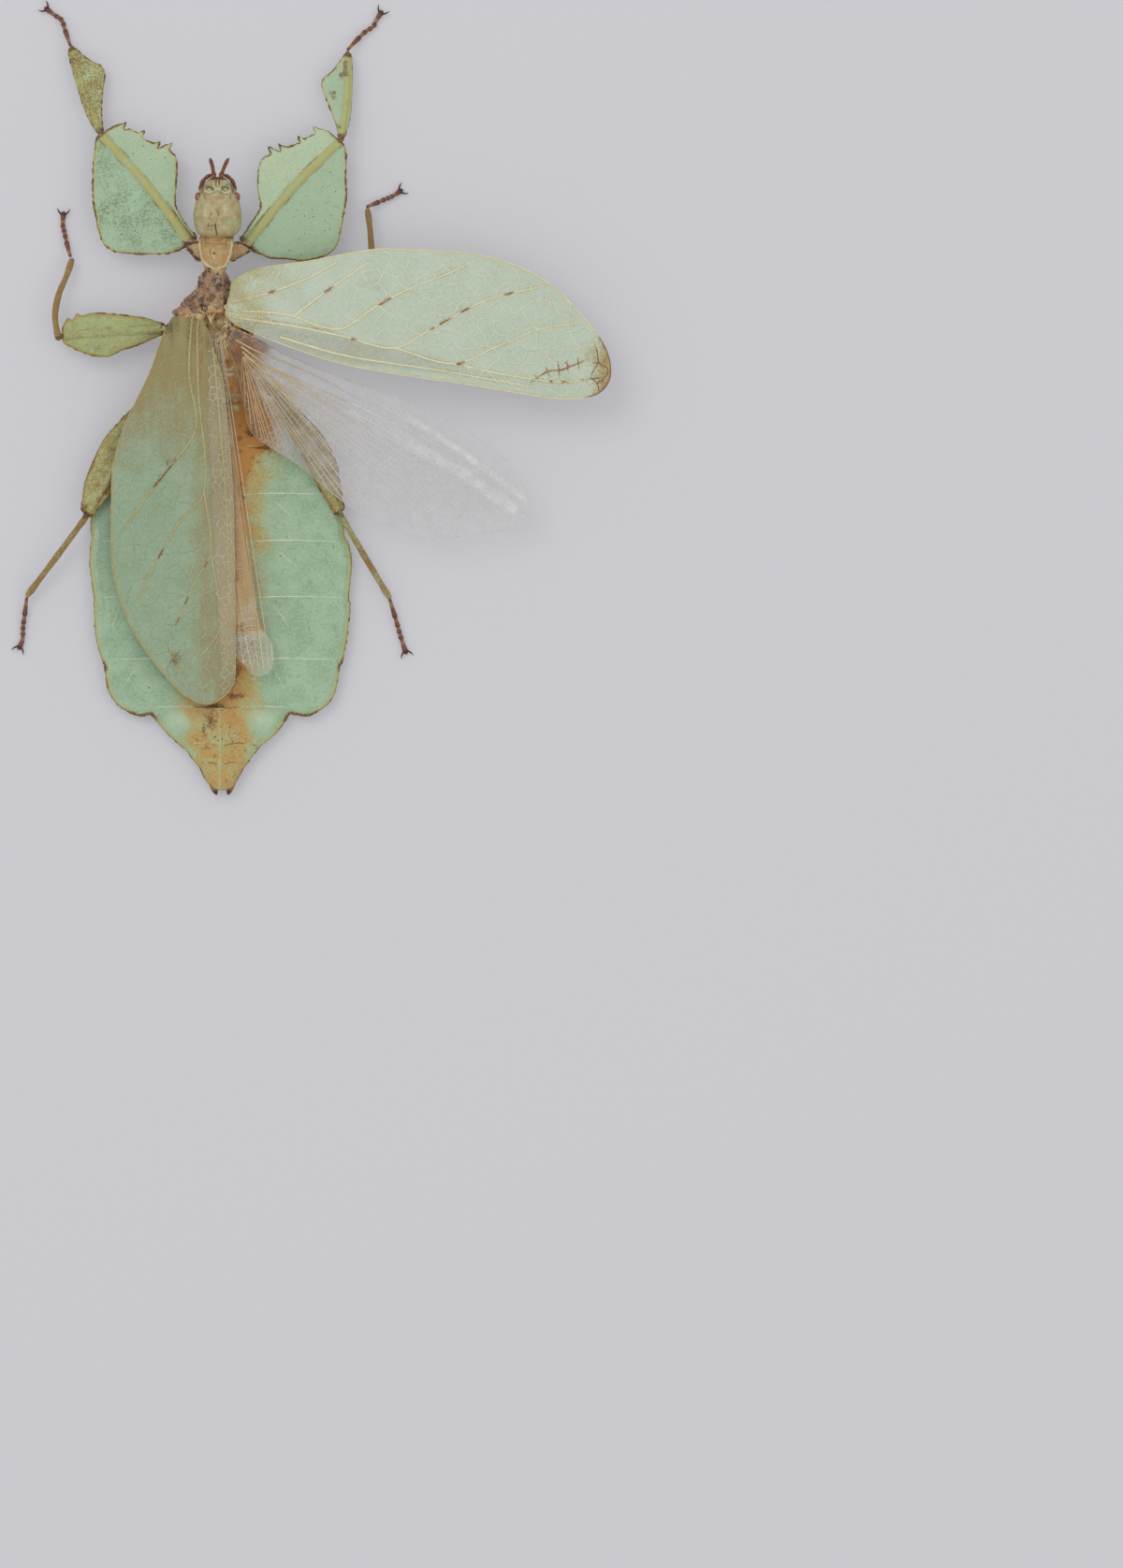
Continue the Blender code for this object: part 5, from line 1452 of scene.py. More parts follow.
@dataclass
class Abdomen:
    """The leaf-like abdomen, its segment lines, dark edge and tail."""

    step: float = 0.28
    edge_thickness: float = 0.22
    deep_inside: float = 9.0
    # How far back each segment line starts, and how far it reaches left and right
    lines: tuple = (
        (7.2, 12.0, 6.0), (14.6, 17.4, 16.4), (21.9, 18.7, 18.8), (30.6, 18.6, 19.2),
        (40.2, 17.0, 17.6), (47.6, 9.9, 10.2), (53.3, 4.8, 5.4), (56.3, 2.7, 3.3),
    )
    # How far forward a segment line lies at its ends, halfway out and in the middle
    bows: tuple[float, ...] = (0.1, 0.25, -0.15, 0.25, 0.1)
    # Faint veins that leave the segment lines, as (x, y)
    branches: tuple = (
        ((-5.8, -22.9), (-3.7, -24.6), (-1.0, -27.0)),
        ((-7.2, -30.6), (-5.0, -32.9), (-2.9, -36.1)),
        ((-6.4, -15.2), (-4.6, -16.6), (-2.6, -18.7)),
        ((-7.0, -40.8), (-5.4, -42.4), (-4.4, -44.6)),
        ((-26.5, -41.0), (-28.0, -42.6), (-28.8, -44.4)),
        ((-29.0, -31.5), (-30.3, -33.6), (-31.0, -36.0)),
        ((-9.5, -48.2), (-7.9, -49.4), (-6.9, -50.9)),
        ((-18.6, -48.2), (-20.3, -49.4), (-21.4, -50.9)),
    )
    # The ochre band: how far back, its half width, its depth, and how far its halo reaches
    band: tuple = (
        (0, 5, 7.4, 9, 15, 40, 47, 54, 60),
        (11.0, 9.5, 9.0, 5.6, 4.7, 4.3, 4.4, 3.2, 3.2),
        (1.0, 1.0, 1.0, 1.0, 0.95, 0.8, 0.65, 0.38, 0.25),
        (2, 2, 3, 7.5, 7, 6, 5, 3.5, 3),
    )
    # Brown patches: x from the middle, how far back, half width, half length, depth
    patches: tuple = (
        (5.4, 4.9, 1.6, 1.3, 0.95), (6.8, 7.3, 2.6, 0.45, 0.95), (4.3, 11.5, 0.4, 4.5, 0.6),
        (4.0, 15.0, 0.7, 0.8, 0.9), (2.3, 42.5, 0.9, 3.2, 0.75), (2.6, 45.8, 1.6, 0.8, 0.8),
        (-1.0, 47.4, 3.0, 0.8, 0.95), (-1.7, 49.6, 1.5, 2.4, 0.75), (-2.6, 50.8, 0.6, 1.8, 0.7),
        (1.6, 50.0, 0.8, 0.5, 0.4), (6.2, 9.6, 1.4, 0.5, 0.6), (3.6, 38.0, 0.7, 1.2, 0.5),
    )

    @cached_property
    def outline(self) -> Outline:
        """The edge with its small teeth."""
        return ragged(Outline.of_node("abdomen", 0.3), 0.07, 41)

    @cached_property
    def segment_lines(self) -> list[Array]:
        """The segment lines across the back, bowed a little to the rear at the sides.

        Returns:
            The places of each.
        """
        made = []
        for back, left, right in self.lines:
            reach = (-left, -0.5 * left, 0.0, 0.5 * right, right)
            y = ABDOMEN_FRONT_Y - back
            line = [(ABDOMEN_X + out, y + rise) for out, rise in zip(reach, self.bows)]
            made.append(smooth_line(line, 0.7))
        return made

    def core(self, y: Array) -> tuple[Array, Array]:
        """The half width and top of the round gut region at a y."""
        share = np.clip((ABDOMEN_FRONT_Y - y) / 60.0, 0.0, 1.0)
        return BELLY_HALF_WIDTH * (1.0 - 0.55 * share), CORE_TOP - 1.3 * share**2

    def top(self, places: Array, depth: Array) -> Array:
        """Shape the back.

        Args:
            places: where to read it.
            depth: how far inside the edge they lie.

        Returns:
            Its height.
        """
        x, y = places.T
        width, crown = self.core(y)
        away = np.minimum(np.abs(x - ABDOMEN_X) / (1.7 * width), 1.0)
        height = FLANGE_TOP + (crown - FLANGE_TOP) * (0.5 + 0.5 * np.cos(math.pi * away))
        height += 0.3 * (fuzz(places, 7.0, 31) - 0.5) + 0.06 * (fuzz(places, 0.9, 32) - 0.5)
        lines = np.min([away_from(places, line) for line in self.segment_lines], axis=0)
        height += 0.1 * hill(lines, 0.5)
        height -= 0.35 * hill(depth, 1.2) - 0.1 * hill(depth - 0.9, 0.6)
        tail = ease(ABDOMEN_FRONT_Y - y, 46.5, 49.0)
        return height + tail * 0.22 * bell(x - ABDOMEN_X, 0.3)

    def bottom(self, places: Array, depth: Array) -> Array:
        """Shape the belly.

        Args:
            places: where to read it.
            depth: how far inside the edge they lie.

        Returns:
            Its height.
        """
        x, y = places.T
        width, _ = self.core(y)
        away = np.clip((np.abs(x - ABDOMEN_X) / width - 0.55) / 0.9, 0.0, 1.0)
        tail = np.clip((ABDOMEN_FRONT_Y - TAIL_RISE_FROM - y) / 5.0, 0.0, 1.0)
        level = FLANGE_BOTTOM * np.maximum(0.5 - 0.5 * np.cos(math.pi * away), tail)
        thick = self.edge_thickness + 0.55 * ease(depth, 0.0, 3.0)
        return most(level, np.where(level > 0.3, self.top(places, depth) - thick - 0.02, 0.0))

    def rim_height(self, places: Array) -> Array:
        """The middle of the rim's thickness."""
        none = np.zeros(len(places))
        return (self.top(places, none) + self.bottom(places, none)) / 2

    def build(self) -> None:
        """Build and dress the abdomen."""
        piece = blade(self.outline, self.step, self.top, self.bottom)
        paint(piece, self._tints(places_of(piece)))
        finish_piece(piece, "abdomen_skin", Finish.LEAF, "leaf_green", ("abdomen",))
        self._veins()
        edge = dark_edge(self.outline, self.rim_height, 42)
        finish_piece(edge, "abdomen_edge", Finish.MARGIN, "leaf_green")
        self._specks()
        self._tail()

    def _tints(self, places: Array) -> dict[Tint, Array]:
        """Paint the ochre middle, the browned joints and the yellow rim.

        Args:
            places: the skin's places.

        Returns:
            The tints.
        """
        flat = places[:, :2]
        depth = most(self.outline.depth(flat), 0.0)
        strayed = warped(flat, 0.7, 2.4, 48)
        x = strayed[:, 0] - ABDOMEN_X
        back = ABDOMEN_FRONT_Y - flat[:, 1]
        marks, *columns = self.band
        width, strength, reach = (np.interp(back, marks, column) for column in columns)
        middle = 1.0 - ease(np.abs(x), 0.65 * width, 1.3 * width)
        halo = 1.0 - ease(np.abs(x), 0.9 * width, 0.9 * width + reach)
        tail = ease(back, 48.0, 52.5)
        panel = hill(np.hypot((np.abs(x) - 6.5) / 2.8, (back - 49.5) / 2.2), 1.4)
        yellow = most(0.72 * halo, 0.4 * tail * (1.0 - 0.9 * panel))
        ochre = most(middle * strength, 0.48 * halo)
        ochre = np.where(places[:, 2] < 1.0, 0.5 * ochre, ochre)
        notch = np.minimum(np.abs(back - 41.0), np.abs(back - 48.7))
        from_middle = np.c_[x, back]
        brown = most(
            0.6 * ease(2.0 - back, 0.0, 3.0) * hill(x, 11.0),
            0.6 * middle * ease(fuzz(flat, 1.0, 45), 0.5, 0.9) * (back < 17),
            *(0.9 * amount * hill(oval(from_middle, *at), 1.25) for *at, amount in self.patches),
            0.9 * hill(depth, 0.8) * hill(notch, 2.0),
            tail * 0.4 * ease(fuzz(flat, 0.6, 43), 0.6, 0.85),
        )
        spine = hill(flat[:, 0] - ABDOMEN_X, 0.4) * ease(back, 46.5, 48.0)
        spine *= 0.4 + 0.6 * fuzz(flat, 0.8, 49)
        pale = most(
            0.4 * spine,
            0.75 * hill(x, 1.2) * hill(back - 6.9, 0.4),
            0.6 * panel,
            0.7 * hill(oval(from_middle, 2.6, 1.2, 0.9, 0.9), 1.2),
        )
        return {
            Tint.BROWN: brown * (1.0 - 0.8 * spine),
            Tint.OCHRE: most(ochre, 0.12 * tail) * (1.0 - 0.7 * spine),
            Tint.RIM: most(0.95 * hill(depth, 0.9), yellow, 0.9 * spine),
            Tint.PALE: pale,
        }

    def _veins(self) -> None:
        """The pale segment lines and the faint branches between them, half sunk."""
        lines = [(line, 0.1) for line in self.segment_lines]
        lines += [(smooth_line(branch, 0.4), 0.055) for branch in self.branches]
        strands = Strands()
        for line, radius in lines:
            line = line[self.outline.depth(line) > 0.5]
            if len(line) < 4:
                continue
            height = self.top(line, np.full(len(line), self.deep_inside))
            taper = np.sin(np.linspace(0.12, math.pi - 0.12, len(line))) ** 0.4
            strands.add(np.c_[line, height - 0.04], radius * taper)
        piece = strands.build(6)
        x = np.abs(places_of(piece)[:, 0] - ABDOMEN_X)
        brown = 0.9 * ease(4.6 - x, 0.0, 1.0) * fuzz(places_of(piece), 0.9, 47) * 1.4
        tints = {
            Tint.PALE: 0.5 * ease(x, 6.0, 12.0),
            Tint.BROWN: np.minimum(brown, 0.9),
            Tint.OCHRE: 0.7 * ease(9.0 - x, 0.0, 4.0),
        }
        paint(piece, tints)
        finish_piece(piece, "abdomen_lines", Finish.NET, "leaf_pale")

    def _specks(self) -> None:
        """Small dark pits scattered over the back."""
        draw = np.random.default_rng(46)
        low, high = self.outline.points.min(0), self.outline.points.max(0)
        spots = draw.uniform(low, high, (220, 2))
        tail = np.c_[draw.normal(ABDOMEN_X + 0.8, 2.4, 60), draw.normal(-52.5, 1.8, 60)]
        spots = np.vstack([spots, tail])
        spots = spots[self.outline.depth(spots) > 0.8]
        heights = self.top(spots, np.full(len(spots), self.deep_inside)) - 0.02
        piece = scatter(np.c_[spots, heights], 0.035 + 0.1 * draw.random(len(spots)) ** 4, 0.4)
        finish_piece(piece, "abdomen_specks", Finish.CLAW, "leaf_green")

    def _tail(self) -> None:
        """The leaf-like tail pieces and the pointed plate between them."""
        for node, name, fine, step, middle, swell, soft in (
            ("cercus_left", "cercus_left_leaf", 0.12, 0.1, (0.85, 0.85), 0.28, 0.4),
            ("cercus_right", "cercus_right_leaf", 0.12, 0.1, (0.85, 0.85), 0.28, 0.4),
            ("subgenital_plate", "subgenital_leaf", 0.2, 0.16, (0.75, 0.55), 0.3, 0.9),
        ):
            outline = Outline.of_node(node, fine)

            def face(up: float, level: float, places: Array, depth: Array) -> Array:
                """One face of the leaf, up 1 for its top and -1 for its underside."""
                return level + up * swell * np.sqrt(ease(depth, -0.02, soft))

            faces = (partial(face, up, level) for up, level in zip((1.0, -1.0), middle))
            piece = blade(outline, step, *faces)
            if node.startswith("cercus"):
                places = places_of(piece)
                depth = most(outline.depth(places[:, :2]), 0.0)
                brown = 0.95 * ease(-59.9 - places[:, 1], 0.0, 1.1)
                paint(piece, {Tint.BROWN: brown, Tint.RIM: 0.9 * hill(depth, 0.3), Tint.OCHRE: 0.7})
            finish_piece(piece, name, Finish.OLIVE, "leaf_pale", (node,))


def ragged(outline: Outline, height: float, seed: int, pitch: float = 1.15) -> Outline:
    """An outline with small blunt teeth along it, as the leaf-like parts have.

    Args:
        outline: the smooth edge.
        height: how far a tooth stands out.
        seed: the draw of their sizes.
        pitch: how far apart they stand.

    Returns:
        The toothed edge.
    """
    steps = np.hypot(*np.diff(outline.ring, axis=0).T)
    walk = np.r_[0.0, np.cumsum(steps)][:-1]
    ahead = np.roll(outline.points, -1, axis=0) - np.roll(outline.points, 1, axis=0)
    ahead /= np.maximum(np.hypot(*ahead.T), 1e-9)[:, None]
    out = np.c_[ahead[:, 1], -ahead[:, 0]]
    draw = np.random.default_rng(seed).uniform(0.3, 1.0, int(walk[-1] / pitch) + 2)
    size = draw[(walk / pitch).astype(int)]
    wave = np.maximum(np.cos(2 * math.pi * walk / pitch), 0.0) ** 3
    return Outline(outline.points + out * (height * size * wave)[:, None])


def dark_edge(
    outline: Outline, height: Callable[[Array], Array], seed: int, radius: float = 0.09
) -> Piece:
    """A dark beaded strand along an edge, thicker and thinner as it runs.

    Args:
        outline: the edge.
        height: how high it runs at each place.
        seed: the draw of the beads.
        radius: a middling bead's size.

    Returns:
        The piece.
    """
    ring = outline.ring
    lump, broad = fuzz(ring, 0.5, seed), fuzz(ring, 3.5, seed + 1)
    radii = radius * (0.5 + 1.3 * ease(lump, 0.25, 0.75) * ease(broad, 0.0, 0.6))
    return rods([np.c_[ring, height(ring)]], [radii], 6)


# ---- the wings ----


@dataclass(kw_only=True)
class Wing:
    """What the wings share: a thin membrane with strands on it."""

    node: str
    axis: Axis
    span: float
    # The heights of the membrane at even steps from the root to the span
    heights: tuple
    step: float
    thickness: float
    outline_step: float

    @cached_property
    def outline(self) -> Outline:
        """The edge, from the solid."""
        return Outline.of_node(self.node, self.outline_step)

    def level(self, along: Array) -> Array:
        """The membrane's plain height along the wing."""
        shares = np.linspace(0.0, 1.0, len(self.heights))
        return np.interp(along / self.span, shares, self.heights)

    def mid(self, places: Array) -> Array:
        """The height of the middle of the membrane."""
        return self.level(self.axis.of(places)[0])

    def on(self, line: Array, rise: float) -> Array:
        """A line set on the membrane, and a little higher."""
        return np.c_[line, self.mid(line) + rise]

    def membrane(self) -> Piece:
        """Build the membrane.

        Returns:
            A thin sheet.
        """
        half = self.thickness / 2
        return blade(
            self.outline,
            self.step,
            lambda places, depth: self.mid(places) + half,
            lambda places, depth: self.mid(places) - half,
        )


@dataclass(kw_only=True)
class FrontWing(Wing):
    """A leathery front wing: its membrane, main veins, brown marks and two nets.

    Veins are (along, across) the axis. Stains and marks are (x, y) with a size or a radius.
    """

    bend: tuple
    veins: tuple
    stains: tuple
    marks: tuple
    # How far along, from and to where across, and how much the membrane is clearer
    clear_between: tuple
    seed: int
    is_folded: bool = False
    # How far the folded wing's inner edge draws back near its root: along, inset
    root_inset: tuple = ((0.0, 2.0, 6.5, 11.0), (2.3, 2.1, 0.9, 0.0))
    bare_root: float = 1.8
    span: float = 60.0
    thickness: float = 0.1
    step: float = 0.4
    outline_step: float = 0.4
    coarse_net: float = 2.7
    fine_net: float = 1.15
    strip_net: float = 1.25
    vein_radius: float = 0.2
    # The worn patch of the folded wing: x, y, half width, half length
    worn: tuple = (-21.0, -40.5, 1.6, 3.0)

    @cached_property
    def outline(self) -> Outline:
        """The edge, drawn back near the root of the folded wing.

        Returns:
            The edge.
        """
        outline = Outline.of_node(self.node, self.outline_step)
        along, across = self.axis.of(outline.points)
        inset = np.interp(along, *self.root_inset) * (across > 0.5) * self.is_folded
        return Outline(outline.points - inset[:, None] * (1.0, 0.0))

    @cached_property
    def main_lines(self) -> list[Array]:
        """The main veins seen from above."""
        return [smooth_line(self.axis.at(vein), 0.6) for vein in self.veins]

    def mid(self, places: Array) -> Array:
        """Shape the membrane: its bend, and the small waves that drying gave it.

        Args:
            places: where to read it.

        Returns:
            The height of its middle.
        """
        along, across = self.axis.of(places)
        lift, front, rear = self.bend
        level = self.level(along) - lift * np.maximum(front[1] * across - front[0], 0.0) ** 2
        level -= rear[1] * np.maximum(-across - rear[0], 0.0) ** 2
        waves = 0.16 * (fuzz(places, 4.5, self.seed) - 0.5)
        return level + (waves + 0.05 * (fuzz(places, 1.2, self.seed + 1) - 0.5))

    def clear_share(self, places: Array) -> Array:
        """Find where the membrane is clearer.

        Args:
            places: where to look.

        Returns:
            How clear each one is, from 0 to 1.
        """
        along, across = self.axis.of(places)
        marks, low, high, amount = self.clear_between
        inner = ease(np.interp(along, marks, high) - across, -0.3, 0.5)
        outer = ease(across - np.interp(along, marks, low), -0.3, 0.5)
        return inner * outer * np.interp(along, marks, amount)

    def build(self) -> None:
        """Build and dress the wing."""
        piece = self.membrane()
        flat = places_of(piece)[:, :2]
        main = np.min([away_from(flat, line) for line in self.main_lines], axis=0)
        tints = self._folded_tints(flat) if self.is_folded else self._spread_tints(flat)
        tints[Tint.OCHRE] = most(tints[Tint.OCHRE], 0.55 * hill(main, 0.6))
        tints[Tint.RIM] = 0.85 * hill(most(self.outline.depth(flat), 0.0), 0.7)
        tints[Tint.CLEAR] = self.clear_share(flat)
        paint(piece, tints)
        finish = Finish.TEGMEN_FOLDED if self.is_folded else Finish.TEGMEN
        finish_piece(piece, self.node + "_membrane", finish, "tegmen", (self.node,))
        self._veins()
        self._marks()
        self._nets()

    def _spread_tints(self, flat: Array) -> dict[Tint, Array]:
        """Paint the spread wing: an ochre root, and a browned tip.

        Args:
            flat: places seen from above.

        Returns:
            The tints.
        """
        along, across = self.axis.of(flat)
        strip = self.clear_share(flat)
        root = ease(17.0 - along, 0.0, 15.0) * (0.5 + 0.5 * fuzz(flat, 2.0, self.seed + 2))
        blot = 0.6 * hill(np.hypot((along - 57.5) / 3.0, (across - 1.5) / 4.5), 1.3)
        tip = most(ease(along, 56.5, 59.8) * ease(6.5 - across, 0.0, 3.0), blot)
        shade = np.hypot((along - 22.5) / 4.5, (across - 5.8) / 2.4)
        stalk = away_from(flat, self.axis.at(((0.0, -2.3), (10.0, -1.8), (18.0, -2.2))))
        brown = most(
            0.5 * tip * (0.3 + 0.8 * fuzz(flat, 0.8, self.seed + 3)),
            0.25 * hill(shade, 1.0),
            0.4 * hill(stalk, 0.6) * ease(20.0 - along, 0.0, 3.0),
        )
        ochre = most(0.7 * root, 0.8 * tip, 0.4 * strip)
        return {Tint.BROWN: brown, Tint.OCHRE: ochre, Tint.PALE: 0.2 * strip}

    def _folded_tints(self, flat: Array) -> dict[Tint, Array]:
        """Paint the folded wing: brown above, yellowed towards the body.

        Args:
            flat: places seen from above.

        Returns:
            The tints.
        """
        along, across = self.axis.of(flat)
        strip = self.clear_share(flat)
        ochre = most(
            0.95 * ease(38.0 - along, 0.0, 36.0),
            0.62 * ease(across + 6.0, 0.0, 6.5),
            0.42 * ease(along, 44.0, 56.0) * ease(across + 7.0, 0.0, 5.0),
            0.6 * strip,
        )
        streaks = fuzz(np.c_[along * 0.2, across], 0.5, self.seed + 2)
        root = 0.75 * ease(12.0 - along, 0.0, 12.0) * streaks
        brown = most(0.5 * hill(oval(flat, *self.worn), 1.0), root)
        pale = strip * (0.65 + 0.3 * ease(along, 26.0, 42.0))
        return {Tint.BROWN: brown, Tint.OCHRE: ochre * (0.75 + 0.4 * streaks), Tint.PALE: pale}

    def _veins(self) -> None:
        """The main veins, thick at the root and thin at the tip, and the strengthened rim."""
        strands = Strands()
        for line in self.main_lines:
            line = line[self.outline.depth(line) > -0.15]
            along, _ = self.axis.of(line)
            fade = 1.0 - 0.4 * np.clip(along / self.span, 0.0, 1.0)
            radii = self.vein_radius * fade * np.linspace(1.0, 0.75, len(line))
            strands.add(self.on(line, 0.03), radii)
        ring = self.outline.points
        ring = np.roll(ring, -int(np.argmin(self.axis.of(ring)[0])), axis=0)
        ring = ring[self.axis.of(ring)[0] > self.bare_root]
        strands.add(self.on(ring, 0.0), 0.065 + 0.05 * fuzz(ring, 2.5, self.seed + 4))
        piece = strands.build(8)
        self._stain(piece, 1.2)
        finish = Finish.VEIN_OLIVE if self.is_folded else Finish.VEIN
        finish_piece(piece, self.node + "_veins", finish, "tegmen")

    def _marks(self) -> None:
        """The brown strokes on and across the veins, and the wrinkles of the root."""
        draw = np.random.default_rng(self.seed + 8)
        strands = Strands()
        veins = np.vstack(self.main_lines)
        ahead = np.vstack([np.gradient(line, axis=0) for line in self.main_lines])
        swell = np.sin(np.linspace(0.3, 2.84, 7))
        for place, size in self.stains:
            near = int(np.argmin(np.hypot(*(veins - place).T)))
            along = ahead[near] / np.hypot(*ahead[near])
            left = np.array((-along[1], along[0]))
            for shift in (-0.4, 0.3):
                middle = veins[near] + along * shift * size
                reach = size * draw.uniform(0.2, 0.5)
                start = middle - (left + along * draw.normal(0.0, 0.5)) * reach
                stroke = np.array((start, middle, middle + left * reach))
                strands.add(self.on(stroke, 0.05), (0.02, 0.045, 0.02))
            dash = veins[near] + along * size * np.linspace(-0.7, 0.7, 7)[:, None]
            dash += left * draw.normal(0.0, 0.05, 7)[:, None]
            radii = self.vein_radius * (0.25 + 0.65 * draw.random(7)) * swell
            strands.add(self.on(dash, 0.05), radii)
        for line, radius in self.marks:
            line = smooth_line(line, 0.4)
            taper = np.sin(np.linspace(0.15, math.pi - 0.15, len(line))) ** 0.5
            strands.add(self.on(line, 0.05), radius * taper)
        piece = strands.build(6)
        brown = 0.2 + 0.65 * fuzz(places_of(piece), 0.6, self.seed + 9)
        paint(piece, {Tint.BROWN: brown, Tint.OCHRE: 1.0})
        finish_piece(piece, self.node + "_marks", Finish.VEIN, "tegmen")

    def _stain(self, piece: Piece, reach: float) -> None:
        """Brown the strands near each stain, and yellow them near the root.

        Args:
            piece: the strands.
            reach: how far a stain reaches, as a share of its size.
        """
        flat = places_of(piece)[:, :2]
        along, across = self.axis.of(flat)
        worn = 0.9 * hill(oval(flat, *self.worn), 1.2)
        tip = ease(along, 56.5, 58.5) * ease(5.0 - across, 0.0, 2.0)
        brown = most(
            *(0.7 * ease(size * reach - oval(flat, *at), 0.0, 0.5) for at, size in self.stains),
            worn if self.is_folded else tip,
        )
        patchy = 0.45 if self.is_folded else 0.2
        root = 0.6 * ease(14.0 - along, 0.0, 14.0)
        ochre = most(root, patchy * fuzz(flat, 2.0, self.seed + 5))
        paint(piece, {Tint.BROWN: brown, Tint.OCHRE: ochre})

    def _nets(self) -> None:
        """The wide and the fine net, the wide net's painted shadows, and the bright one of the
        clear strip.
        """
        draw = np.random.default_rng(self.seed + 6)
        folded = self.is_folded
        net_shadows = []
        for suffix, finish, size, radius, kept in (
            ("_net", Finish.NET_OLIVE if folded else Finish.NET, self.coarse_net,
             0.075 if folded else 0.09, 1.0),
            ("_fine_net_and_shadow", Finish.NET_SHADE if folded else Finish.NET_FINE, self.fine_net,
             0.035, 0.85),
        ):
            strands = Strands()
            # Painted shadow: darker strands just beside each wall of the wide net
            for line in net_shadows:
                strands.add(line, 0.045)
            for wall in cell_walls(self.outline, size, self.seed + int(size * 10)):
                middle = wall.mean(axis=0) + draw.normal(0.0, 0.05 * size, 2)
                line = np.array((wall[0], middle, wall[1]))
                if draw.random() < kept and self.clear_share(line).max() < 0.35:
                    fade = 0.5 + 0.5 * ease(self.axis.of(line)[0].mean(), 8.0, 26.0)
                    strands.add(self.on(line, 0.03), radius * float(fade))
                    # Each wide-net wall gets a painted shadow strand, shifted a little sideways and
                    # lower
                    if size == self.coarse_net:
                        net_shadows.append(self.on(line + (0.1, -0.1), 0.025))
            piece = strands.build(4)
            self._stain(piece, 0.7)
            finish_piece(piece, self.node + suffix, finish, "tegmen")
        strands = Strands()
        for line in cell_walls(self.outline, self.strip_net, self.seed + 7, 0.42):
            if self.clear_share(line).min() > 0.12:
                strands.add(self.on(line, 0.035), 0.075 if folded else 0.035)
        piece = strands.build(6)
        paint(piece, {Tint.OCHRE: 0.8 * fuzz(places_of(piece), 2.0, self.seed + 10)})
        finish = Finish.NET_STRIP if folded else Finish.NET
        finish_piece(piece, self.node + "_strip_net", finish, "tegmen")


